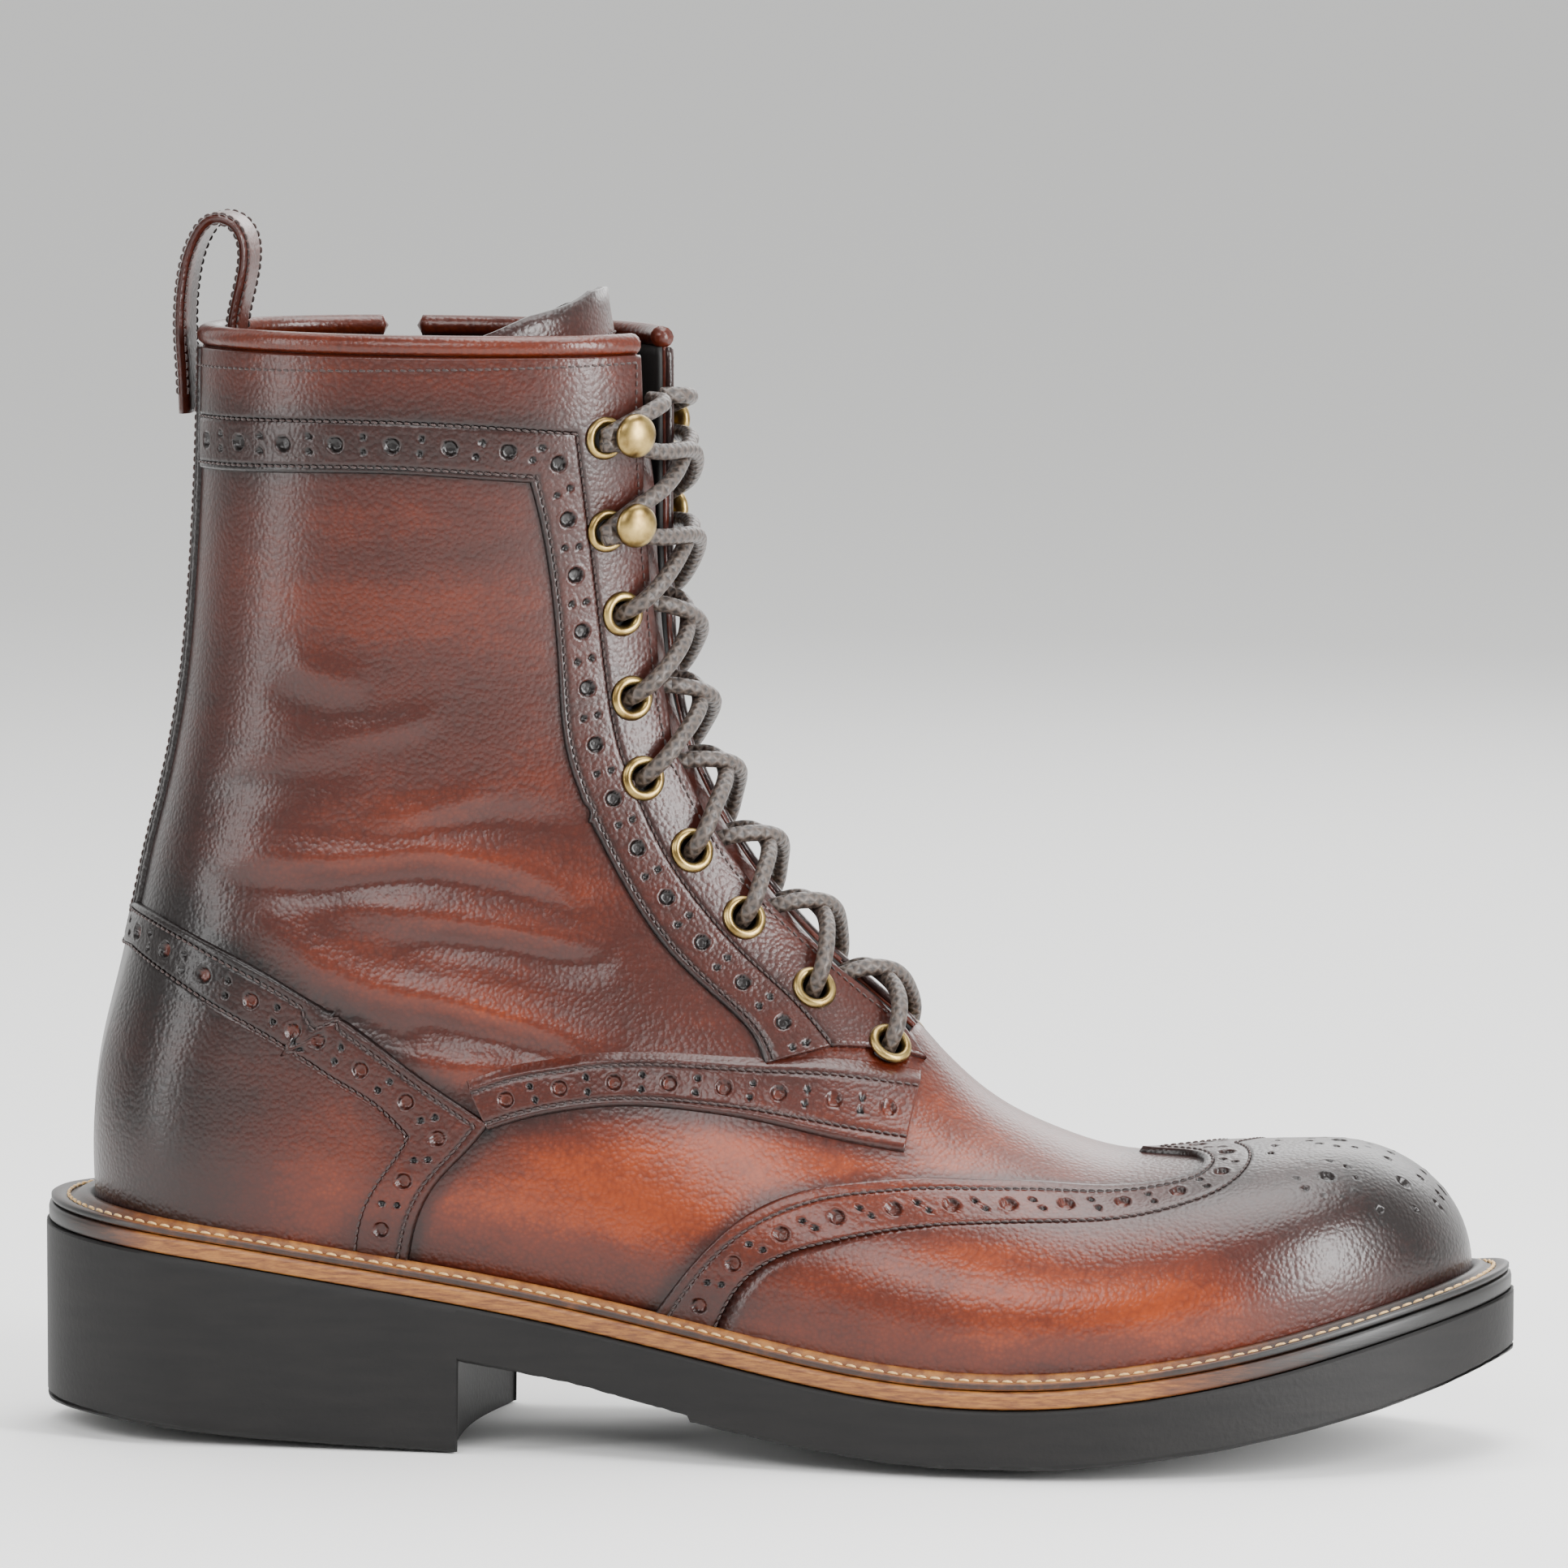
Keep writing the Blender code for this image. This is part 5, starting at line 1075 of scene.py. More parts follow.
def build_wing(sizes, skin, thread):
    """The toe cap with its wings, its punched strip and the medallion."""
    lines = wing_lines(int(sizes.detail * 420))
    strip = Strip(lines, 0.0, 1.0, 26, (0.24, 1.0), 0.60, sizes.hole_pitch, first=0.5)
    made = strip_piece("wing_strip", strip, sizes, skin)
    fine = np.linspace(-0.52, 0.52, 132)
    v = np.concatenate([np.linspace(-0.985, -0.52, 44)[:-1], fine, np.linspace(0.52, 0.985, 44)[1:]])
    reach = np.interp(np.abs(v), np.array(WING_STRIP)[::-1, 3], np.array(WING_STRIP)[::-1, 2])
    q = np.concatenate([np.linspace(0, 0.75, 14)[:-1] ** 2 / 0.75, np.linspace(0.75, 3.3, 70)])
    tail = np.linspace(0, 1, 26)[1:]
    s = np.concatenate([q[:, None] * np.ones_like(v), 3.3 + tail[:, None] * (reach - 3.3)])
    v = np.broadcast_to(v, s.shape)
    flat = place(s, v)
    large, rim_large = punched(flat, [place(a, b) for a, b in MEDALLION_LARGE], sizes.large_hole / 2 * 0.9)
    small, rim_small = punched(flat, medallion_spots(), sizes.small_hole / 2)
    deep = np.maximum(large, small)
    edge = place(strip.lines[:, 2], strip.lines[:, 3])[::3]
    seam = near_curve(flat, edge, SEAM_WIDTH)
    rim = np.maximum(rim_large, rim_small) * (1 - deep)
    height = PANEL_HIGH + MEDALLION_RIM * rim - MEDALLION_DEEP * deep - SEAM_DEPTH * seam
    top = place(s, v, height)
    # Painted shade darkens the seam groove and fills the medallion's holes, with a darker ring round each;
    # the wider band carries the strip's burnish into the cap.
    dark = stain_and_shade(top) + 0.25 * seam + 0.22 * near_curve(flat, edge, 4.0)
    dark = dark * (1 - deep) + 1.1 * deep + 0.2 * rim
    cap = closed_shell("wing_cap", top, place(s, v, PANEL_SUNK), skin, None, {"stain_and_shade": np.clip(dark, 0, 1.2)})
    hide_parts("wing_cap")
    rows = [strip.seam(0.24, PANEL_HIGH), strip.seam(1.0, PANEL_HIGH - 0.05)]
    sewn = fine_stitches("wing_stitches", rows, thread, sizes)
    return [(made, "calf_leather"), (cap, "calf_leather"), (sewn, "calf_leather")]


def medallion_spots():
    """Small holes of the medallion: rings round its large ones, a chain down the middle and two arcs."""
    spots = []
    for station, share in MEDALLION_LARGE[:3]:
        centre, out, ahead = surface_frame(station, share + 1e-4)
        up = np.cross(out, ahead)
        turn = np.arange(10) * 2 * math.pi / 10
        spots += [centre + MEDALLION_RING * MM * (math.cos(a) * ahead + math.sin(a) * up) for a in turn]
    return spots + [place(a, b) for a, shares in MEDALLION_ARCS for b in shares]


def build_counter(sizes, skin, thread):
    """The heel counter, its punched strip and the backstay above it."""
    lines = counter_lines(int(sizes.detail * 300))
    strip = Strip(lines, 0.0, 1.0, 26, (0.20, 1.0), 0.58, sizes.hole_pitch, first=0.5)
    made = strip_piece("counter_strip", strip, sizes, skin)
    steps = np.linspace(0, 1, 46)
    columns = []
    for side in (-1, 1):
        front = np.array(COUNTER_FRONT[::-1])[:, 2:]
        tops = np.array(COUNTER_TOP[::-1])[1:, 2:]
        upper = np.concatenate([front, tops])
        run = np.concatenate([[0], np.cumsum(np.hypot(*np.diff(upper, axis=0).T))])
        at = np.linspace(0, run[-1], 64)
        foot_x = np.interp(at, run, COUNTER_FOOT_X)
        high_x, high_z = np.interp(at, run, upper[:, 0]), np.interp(at, run, upper[:, 1])
        low_z = feather_z(foot_x) + 0.5
        z = low_z[:, None] + steps * (high_z - low_z)[:, None]
        near = (np.sqrt(np.maximum(foot_x - back_x(low_z), 0))[:, None] * (1 - steps)
                + np.sqrt(np.maximum(high_x - back_x(high_z), 0))[:, None] * steps)
        x = back_x(z) + near**2
        s, v = located(x.ravel(), z.ravel(), side)
        grid = np.stack([s.reshape(x.shape), v.reshape(x.shape)], axis=-1)
        columns.append(grid if side < 0 else grid[::-1])
    low_z = float(feather_z(FEATHER_HEEL_X)) + 0.5
    s = np.array([station_of_back(z) for z in low_z + steps * (COUNTER_BACK_Z[1] - low_z)])
    back = np.stack([s, -np.ones(len(s))], axis=-1)[None]
    grid = np.concatenate([columns[0], back, columns[1]])
    top = place(grid[..., 0], grid[..., 1], PANEL_HIGH)
    edge = place(lines[:, 2], lines[:, 3])[::3]
    seam = near_curve(top, edge, SEAM_WIDTH * 1.4)
    top = place(grid[..., 0], grid[..., 1], PANEL_HIGH - SEAM_DEPTH * seam)
    under = place(grid[..., 0], grid[..., 1], PANEL_SUNK)
    # Painted shade darkens the seam groove; the wider band carries the strip's darker burnish into the
    # counter.
    dark = stain_and_shade(top) + 0.2 * seam + 0.15 * near_curve(top, edge, 4.0)
    body = closed_shell("heel_counter", top, under, skin, None, {"stain_and_shade": np.clip(dark, 0, 1.2)})
    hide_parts("heel_counter")
    rows = [strip.seam(0.20, PANEL_HIGH), strip.seam(1.0, PANEL_HIGH - 0.05)]
    sewn = fine_stitches("counter_stitches", rows, thread, sizes)

    low, high = station_of_back(COUNTER_BACK_Z[0] - 4.0), COLLAR - 0.02
    s = np.linspace(low, high, 330)
    lines = np.stack([s, np.full(330, 1 - BACKSTAY_V), s, np.full(330, 1 + BACKSTAY_V)], axis=1)
    stay = Strip(lines, 0.0, 1.0, 34, (0.13, 0.87), 0.5, sizes.hole_pitch, first=0.8)
    stay.from_edge = np.minimum(stay.from_edge, stay.from_edge[:, ::-1])
    stay_piece = strip_piece("backstay", stay, sizes, skin, shade_large_holes=True)
    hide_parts("backstay")
    rows = [stay.seam(0.13, PANEL_HIGH), stay.seam(0.87, PANEL_HIGH)]
    stay_sewn = fine_stitches("backstay_stitches", rows, thread, sizes)
    return [(made, "calf_leather"), (body, "calf_leather"), (sewn, "calf_leather"),
            (stay_piece, "dark_calf_leather"), (stay_sewn, "dark_calf_leather")]


def facing_outline(side):
    """Where the eyelet panel ends beyond its strips: along the collar, down the throat and round its foot."""
    collar_x = np.array([36.9, 50.5, 65.0, 83.0, 104.0])
    top = COLLAR - 0.01
    edge = side * throat_v(np.array([top, 22.4, 20.5, 18.4, 16.6, 15.4, 13.7, 12.3, 10.7]), side)
    along_collar = v_of_side_x(np.full(5, top), collar_x, side)
    s = np.concatenate([np.full(5, top), [top, 22.4, 20.5, 18.4, 16.6, 15.4, 13.7, 12.3, 10.7, 9.30, 8.42]])
    v = np.concatenate([along_collar, edge, [side * 0.078, side * 0.115]])
    return s, v


def build_facing(side, sizes, skin, thread):
    """Cuff and eyelet panel in one, its punched strips, and the punched foot of the quarter."""
    word = SIDE_WORD[side]
    made = []
    cuff = strip_ends(CUFF_STRIP, side, int(sizes.detail * 150))
    down = strip_ends(FACING_STRIP, side, int(sizes.detail * 300))
    lines = np.concatenate([cuff, down[1:]])
    strip = Strip(lines, -0.16, 1.0, 26, (0.0, 1.0), 0.5, sizes.hole_pitch, first=0.35)
    keep = clear_of_zip(place(strip.s, strip.v)) if side > 0 else None
    piece = strip_piece("facing_strip_" + word, strip, sizes, skin, keep, shade_large_holes=True)
    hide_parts(*["cuff_band_" + w for w in
                         (["lateral"] if side < 0 else ["medial_rear", "medial_front"])])
    made.append((piece, "dark_calf_leather"))

    rows = CUFF_STRIP + FACING_STRIP[1:]
    inner = np.stack(located([r[2] for r in rows], [r[3] for r in rows], side), axis=1)
    out_s, out_v = facing_outline(side)
    spots = surface(inner[:, 0], inner[:, 1])
    run = running_length(spots)
    corner = len(CUFF_STRIP) - 1
    legs = []
    above, below = slice(0, corner + 1), slice(corner, None)
    for part, table, count in ((above, CUFF_STRIP, 70), (below, FACING_STRIP, 130)):
        at = np.linspace(run[part][0], run[part][-1], count)
        ends = [spline(at, run[part], c[part]) for c in (out_s, out_v)]
        legs.append(np.concatenate([strip_ends(table, side, count)[:, 2:], np.stack(ends, axis=1)], axis=1))
    ruled = np.concatenate([legs[0], legs[1][1:]])
    q = np.linspace(0, 1, 34)[None, :]
    s = ruled[:, :1] + (ruled[:, 2:3] - ruled[:, :1]) * q
    v = ruled[:, 1:2] + (ruled[:, 3:4] - ruled[:, 1:2]) * q
    flat = place(s, v)
    width = np.linalg.norm(flat[:, -1] - flat[:, 0], axis=1) / MM
    keep = clear_of(flat, eyelet_spots(), EYELET_HOLE + 0.5)
    if side > 0:
        keep &= clear_of_zip(flat)
    to_throat = (1 - q) * width[:, None]
    soft = 1 - np.sqrt(1 - (1 - np.clip(to_throat / 0.7, 0, 1)) ** 2)
    front = np.arange(len(ruled))[:, None] >= len(legs[0]) - 1
    dark = 0.10 + (0.35 * np.exp(-to_throat / 0.6)) * front
    panel = panel_piece("facing_" + word, s, v, skin, keep, -0.6 * soft * front, q * width[:, None], dark)
    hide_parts("facing_" + word)
    made.append((panel, "calf_leather"))

    foot = strip_ends(QUARTER_STRIP, side, int(sizes.detail * 220))
    low = Strip(foot, 0.0, 1.35, 30, (0.20, 1.0), 0.58, sizes.hole_pitch, first=0.55)
    piece = strip_piece("quarter_strip_" + word, low, sizes, skin, fade=1.05)
    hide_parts("quarter_band_" + word)
    made.append((piece, "dark_calf_leather"))

    s = np.linspace(9.4, COLLAR - 0.15, 160)
    rows = [strip.seam(0.0, PANEL_HIGH), strip.seam(1.0, PANEL_HIGH - 0.05), low.seam(0.20, PANEL_HIGH),
            low.seam(1.0, PANEL_HIGH - 0.1), seam_at(s, side * (throat_v(s, side) + 0.0145), PANEL_HIGH)]
    collar_v = side * np.linspace(throat_v(np.array([COLLAR]), side)[0] + 0.012, 0.93, 120)
    s = np.full(120, COLLAR - 0.155)
    rows.append(seam_at(s, collar_v, PANEL_HIGH))
    if side > 0:
        rows = [part for row in rows for part in split_at_zip(row)]
        for x in (ZIP_X - ZIP_SLOT_HALF - 2.2, ZIP_X + ZIP_SLOT_HALF + 2.2):
            s = np.linspace(ZIP_LOW_STATION - 0.15, COLLAR - 0.2, 120)
            v = v_of_side_x(s, x, 1)
            rows.append(seam_at(s, v, np.interp(s, [24.2, 24.35], [0.05, PANEL_HIGH])))
    sewn = fine_stitches("facing_stitches_" + word, rows, thread, sizes)
    made.append((sewn, "calf_leather"))
    return made


def split_at_zip(row):
    """A row of stitches in the parts that lie clear of the zip's slot."""
    points, out = row
    x, z = points[:, 0] / MM - SHIFT[0], points[:, 2] / MM
    free = (np.abs(x - ZIP_X) > ZIP_SLOT_HALF + 0.8) | (z < BELOW_CUFF_Z)
    cuts = np.flatnonzero(np.diff(free.astype(int))) + 1
    parts = zip(np.split(points, cuts), np.split(out, cuts), np.split(free, cuts))
    return [(p, o) for p, o, f in parts if f[0] and len(p) > 3]


def build_collar(sizes, dark_skin, skin, thread):
    """Rolled binding round the collar, the tongue and the pull loop."""
    made = []

    def roll(v):
        """Middle line of the rolled binding, over the middle of the wall's top edge."""
        spot = surface(COLLAR, v) - normal(COLLAR, v) * WALL / 2 + np.array([0, 0, BINDING_RADIUS])
        return (spot + SHIFT) * MM

    zip_rear = v_of_side_x(np.array([COLLAR]), ZIP_X - ZIP_SLOT_HALF, 1)[0]
    zip_front = v_of_side_x(np.array([COLLAR]), ZIP_X + ZIP_SLOT_HALF, 1)[0]
    near, far = throat_v(np.array([COLLAR]), -1)[0], throat_v(np.array([COLLAR]), 1)[0]
    rear = np.concatenate([np.linspace(-near - 0.004, -1, 130), np.linspace(1, zip_rear, 60)[1:]])
    front = np.linspace(far + 0.004, zip_front, 60)
    for name, v in (("collar_binding_rear", rear), ("collar_binding_front", front)):
        piece = tube(name, roll(v), (BINDING_RADIUS + 0.35) * MM, dark_skin, sides=14, flat=0.92)
        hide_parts(name)
        made.append((piece, "calf_leather"))

    q = np.linspace(0, 1, 110)[:, None]
    across = np.linspace(-1, 1, 61)[None, :]
    s = TONGUE_START + q * (26.7 - TONGUE_START)
    v = across * table_of(s, TONGUE_WIDTH, 1)
    s = TONGUE_START + q * (table_of(np.abs(v), TONGUE_TOP, 1) - TONGUE_START)
    bend = TONGUE_BEND * np.clip((s - 22.0) / 4.6, 0, 1) ** 1.5 * np.clip(1 - (v / 0.36) ** 2, 0, 1)
    drop = WALL + 1.5 + bend + 1.2 * np.clip((s - 23.8) / 1.2, 0, 1)
    spot, out = surface(s, v), normal(s, v)
    top = (spot - out * drop[..., None] + SHIFT) * MM
    under = (spot - out * (drop + TONGUE_THICK)[..., None] + SHIFT) * MM
    from_top = (1 - q) * 115.0 * np.ones_like(across)
    dark = stain_and_shade(top) + 0.12 + 0.3 * np.exp(-from_top / 1.0)
    tongue = closed_shell("tongue", top, under, skin, None, {"stain_and_shade": np.clip(dark, 0, 1.1)})
    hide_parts("tongue")
    made.append((tongue, "calf_leather"))
    row = int(len(top) * 0.972)
    seam = (top[row, 2:-2], out[row, 2:-2])
    sewn = fine_stitches("tongue_stitches", [seam], thread, sizes)
    made.append((sewn, "calf_leather"))

    middle = smooth_path(np.array([(x, 0.0, z) for x, z in LOOP]), 90)
    along = np.gradient(middle, axis=0)
    along /= np.linalg.norm(along, axis=1, keepdims=True)
    out = np.stack([-along[:, 2], np.zeros(len(along)), along[:, 0]], axis=1)
    q = np.sin(np.linspace(-math.pi / 2, math.pi / 2, 21))
    spots = middle[:, None, :] + (q * LOOP_WIDTH / 2)[None, :, None] * np.array([0, 1.0, 0])
    half = 1.15 * (1 - np.abs(q) ** 8)[None, :, None] + 0.12
    top = (spots + out[:, None, :] * half + SHIFT) * MM
    under = (spots - out[:, None, :] * half + SHIFT) * MM
    edge = np.broadcast_to(0.62 + 0.35 * np.abs(q) ** 6, top.shape[:2])
    loop = closed_shell("pull_loop", top, under, skin, None, {"stain_and_shade": 0.55 * edge})
    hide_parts("pull_loop")
    made.append((loop, "dark_calf_leather"))
    rows = []
    for k in (3, 17):
        rows.append(((spots[4:-4, k] + out[4:-4] * 1.1 + SHIFT) * MM, out[4:-4]))
        rows.append(((spots[4:-4, k] - out[4:-4] * 1.1 + SHIFT) * MM, -out[4:-4]))
    sewn = fine_stitches("loop_stitches", rows, thread, sizes)
    made.append((sewn, "dark_calf_leather"))
    return made


EYELET_PROFILE = ((2.6, -1.6), (2.65, 0.3), (2.95, 0.85), (3.5, 1.12), (4.1, 1.0), (4.55, 0.6), (4.75, 0.05),
                  (4.5, -0.25), (3.2, -0.3), (3.0, -1.6))
HOOK_BASE = ((2.5, -1.0), (2.55, 0.3), (2.9, 0.75), (3.5, 0.95), (4.1, 0.8), (4.5, 0.3), (4.4, -0.2),
             (3.0, -0.3))
HOOK_STEM = ((2.3, -0.2, 0.6), (2.0, 1.0, 1.2), (1.45, 2.2, 2.2), (1.3, 3.4, 3.2), (1.6, 4.6, 3.9))
HOOK_BUTTON = ((0.4, 3.9, 4.3), (2.6, 4.0, 4.3), (4.1, 4.4, 4.3), (4.6, 5.0, 4.3), (4.55, 5.7, 4.35),
               (4.1, 6.3, 4.4), (3.1, 6.9, 4.45), (1.7, 7.25, 4.5), (0.4, 7.35, 4.5))


def build_metal(side, brass, hollow):
    """Eyelets and hooks of one side, turned from profiles, each over a dark hole."""
    word = SIDE_WORD[side]
    made = []
    for k, (station, share) in enumerate(EYELET_ROWS):
        spot, out, ahead = surface_frame(station, side * share, PANEL_HIGH)
        rows = [(r, h, 0.0) for r, h in EYELET_PROFILE]
        piece = gathered(f"eyelet_{word}_{k + 1}", [turned(rows, spot, out, ahead, 36, True)], brass)
        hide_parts(f"eyelet_{word}_{k + 1}")
        made.append((piece, "antique_brass"))
    for k, (station, share) in enumerate(HOOK_ROWS):
        spot, out, ahead = surface_frame(station, side * share, PANEL_HIGH)
        shapes = [turned([(r, h, 0.0) for r, h in HOOK_BASE], spot, out, ahead, 36, True),
                  turned(HOOK_STEM, spot, out, ahead, 20), turned(HOOK_BUTTON, spot, out, ahead, 36)]
        piece = gathered(f"hook_{word}_{k + 1}", shapes, brass)
        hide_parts(f"hook_{word}_{k + 1}")
        made.append((piece, "antique_brass"))
    discs = []
    for station, share in HOOK_ROWS:
        spot, out, ahead = surface_frame(station, side * share, PANEL_HIGH + 0.1)
        discs.append(turned(((2.56, -0.3, 0.0), (2.56, 0.0, 0.0)), spot, out, ahead, 24))
    made.append((gathered("hook_floor_" + word, discs, hollow), "lining"))
    return made


def build_laces(sizes, wax):
    """The lace from eyelet to eyelet: up through a hole, over the near edge and down under the far one."""
    made = []
    rows = EYELET_ROWS + HOOK_ROWS
    for k in range(len(rows) - 1):
        shapes = []
        for side in (-1, 1):
            (s0, v0), (s1, v1) = rows[k], rows[k + 1]
            ds = s1 - s0
            near, far = throat_v(s0, side), throat_v(s0 + 0.9 * ds, -side)
            if k < 7:
                path = [(s0 - 0.02 * ds, v0 + 0.004, -2.2), (s0, v0 - 0.003, 0.6),
                        (s0 + 0.05 * ds, v0 - 0.30 * (v0 - near), 3.6)]
            else:
                path = [(s0 + 0.02 * ds, v0 + 0.012, 3.6), (s0 + 0.14 * ds, v0 - 0.030, 4.0)]
            path.append((s0 + 0.22 * ds, near, 4.6))
            path.append((s0 + 0.52 * ds, 0.0, (2.9 if k < 6 else 4.2) + 0.9 * side))
            if k < 6:
                path += [(s0 + 0.80 * ds, -0.66 * far, 0.3), (s0 + 0.90 * ds, -1.0 * far, -2.6),
                         (s0 + 0.96 * ds, -1.4 * far, -4.2)]
            else:
                path += [(s0 + 0.72 * ds, -far, 4.6), (s0 + 0.88 * ds, -v1 + 0.030, 4.0),
                         (s0 + 0.98 * ds, -v1 - 0.012, 3.6)]
            spots = [place(a, side * b, h) for a, b, h in path]
            shapes.append(smooth_path(np.array(spots), 60))
        for side, path in zip(("lateral", "medial"), shapes):
            piece = tube(f"lace_{k + 1}_{side}", path, sizes.lace / 2 * MM, wax, sides=14)
            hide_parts(f"lace_crossing_{k + 1}")
            made.append((piece, "waxed_cord"))
    s0, v0 = HOOK_ROWS[1]
    for side, word in ((-1, "lateral"), (1, "medial")):
        near = throat_v(s0, side)
        path = [place(a, side * b, h) for a, b, h in (
            (s0 + 0.1, v0 + 0.010, 3.6), (s0 + 0.3, v0 - 0.033, 4.3), (s0 + 0.45, near, 4.6),
            (s0 + 0.5, near - 0.045, 1.4), (s0 + 0.5, near - 0.055, -1.8))]
        points = smooth_path(np.array(path), 40)
        piece = tube("lace_end_" + word, points, sizes.lace / 2 * MM, wax, sides=14)
        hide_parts("lace_end_" + word)
        made.append((piece, "waxed_cord"))
    return made


def cushion_box(spot, axes, low, high, sharp=0.35, sides=14):
    """Points and faces of a rounded box between two corners, a superellipsoid measured along three axes."""
    u = np.linspace(-math.pi / 2, math.pi / 2, sides // 2 + 2)[:, None]
    w = (np.arange(sides) * 2 * math.pi / sides)[None, :]

    def bent(value):
        """A sine or cosine pushed towards a box's flat faces."""
        return np.sign(value) * np.abs(value) ** sharp

    unit = np.stack([bent(np.cos(u)) * bent(np.cos(w)), bent(np.cos(u)) * bent(np.sin(w)),
                     bent(np.sin(u)) * np.ones_like(w)], axis=-1)
    low, high = np.asarray(low, float), np.asarray(high, float)
    local = (low + high) / 2 + unit * (high - low) / 2
    points = spot + (local @ axes) * MM
    poles = points[[0, -1], 0]
    body = points[1:-1]
    faces = [wrapped_faces(len(body), sides), tip_faces(len(body), sides)]
    return np.concatenate([body.reshape(-1, 3), poles]), faces


def build_zip(tape, steel):
    """Zip on the inner side: woven tape, a row of interlocked teeth, the slider, and the pull on its arch."""
    made = []
    s = np.linspace(ZIP_LOW_STATION, COLLAR, 70)
    front = v_of_side_x(s, ZIP_X + ZIP_SLOT_HALF + 0.4, 1)
    rear = v_of_side_x(s, ZIP_X - ZIP_SLOT_HALF - 0.4, 1)
    v = front[:, None] + (rear - front)[:, None] * np.linspace(0, 1, 9)
    s = s[:, None] * np.ones(9)
    cloth = closed_shell("zip_tape", *(place(s, v, height) for height in TAPE_HEIGHTS), tape)
    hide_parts("zip_tape")
    made.append((cloth, "zip_tape"))
    s = np.linspace(ZIP_LOW_STATION + 0.05, COLLAR - 0.05, 400)
    line, out = seam_at(s, v_of_side_x(s, ZIP_X, 1), TEETH_HEIGHT)
    run = running_length(line) / MM
    teeth = []
    for k in range(int(run[-1] / TOOTH_PITCH)):
        at = (k + 0.5) * TOOTH_PITCH
        spot = read_along(at, run, line)
        up = read_along(at + 0.5, run, line) - spot
        up /= np.linalg.norm(up)
        face = read_along(at, run, out)
        across = np.cross(up, face)
        axes = np.array([across, up, face])
        middle, half = np.array([TOOTH_SHIFT if k % 2 else -TOOTH_SHIFT, 0, 0]), np.array(TOOTH_HALF)
        teeth.append(cushion_box(spot, axes, middle - half, middle + half, 0.5, 8))
    made.append((gathered("zip_teeth", teeth, steel), "zip_metal"))

    station, v_mid = located([ZIP_X], [SLIDER_Z], 1)
    spot, out = surface(station[0], v_mid[0]), normal(station[0], v_mid[0])
    across = np.array([1.0, 0, 0]) - out * out[0]
    across /= np.linalg.norm(across)
    up = np.cross(out, across)
    up *= np.sign(up[2])
    axes = np.array([across, up, out])
    spot = (spot + SHIFT) * MM
    low, high = [a for a, _ in SLIDER], [b for _, b in SLIDER]
    path = spot + (np.array([(0.0, u, o) for u, o in SLIDER_ARCH]) @ axes) * MM
    slider = gathered("zip_slider", [cushion_box(spot, axes, low, high, 0.3, 20)], steel)
    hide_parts("zip_slider")
    bridge = tube("zip_slider_arch", smooth_path(path, 30), 0.85 * MM, steel, sides=10)
    made += [(slider, "zip_metal"), (bridge, "zip_metal")]
    q = np.linspace(0, 1, 24)[:, None]
    half = np.interp(q, PULL_SHARES, PULL_HALF_WIDTHS)
    wide = np.linspace(-1, 1, 13)[None, :]
    down = PULL_TOP - PULL_LONG * q * np.ones_like(wide)
    plane = np.stack([half * wide, down, np.full(down.shape, PIVOT_OUT)], axis=-1)
    centre = cell_centres(plane)
    hole = (np.abs(centre[..., 0]) < 1.5) & (centre[..., 1] < -0.7) & (centre[..., 1] > -5.2)
    thick = PULL_HALF_THICK * np.sqrt(1 - 0.8 * np.abs(wide) ** 6) * np.ones_like(q)
    lift = np.stack([0 * thick, 0 * thick, thick], axis=-1)
    pull = closed_shell("zip_pull", spot + ((plane + lift) @ axes) * MM, spot + ((plane - lift) @ axes) * MM,
                        steel, ~hole)
    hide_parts("zip_pull")
    return made, pull


# Midsole's edge as (inset, height over the rubber's rim) in millimetres. Welt as (share of the way from its
# outer edge to the upper, height over the midsole): its edge, the groove with the stitches, and the bead.
MIDSOLE_EDGE = ((0.6, 0.6), (0.5, 1.2), (0.5, 2.8), (0.7, 3.6))
WELT_PROFILE = ((1.5, 0.0), (0.05, 0.0), (0.0, 0.4), (0.0, 1.15), (0.06, 1.5), (0.14, 1.62), (0.27, 1.62),
                (0.33, 1.40), (0.42, 1.34), (0.52, 1.40), (0.58, 1.66), (0.64, 2.2), (0.74, 2.75),
                (0.86, 2.9), (0.97, 2.6), (1.10, 1.9), (1.5, 1.2))
WELT_SEAM_COLUMN = 8
WELT_OFFSET = 1.15
# Pitch, length and radius of the welt's stitches.
WELT_STITCH = (3.0, 2.7, 0.42)


def outline_at(share, side, inset):
    """A point of the sole's outline at a share of the way from heel to toe, moved in by an inset."""
    half_long = SOLE_LENGTH / 2
    x = half_long + (share * SOLE_LENGTH - half_long) * (1 - inset / half_long)
    outer, inner = (sole_half_width(share * SOLE_LENGTH, k) for k in (-1, 1))
    wide = np.where(side < 0, outer, inner)
    return x, wide * (1 - inset / 54.0)


def round_trip(count):
    """Shares of the way along the sole and sides: up the outer side to the toe and back by the inner one."""
    u = (1 - np.cos(np.linspace(0, math.pi, count))) / 2
    return np.concatenate([u, u[::-1][1:-1]]), np.concatenate([-np.ones(count), np.ones(count - 2)])


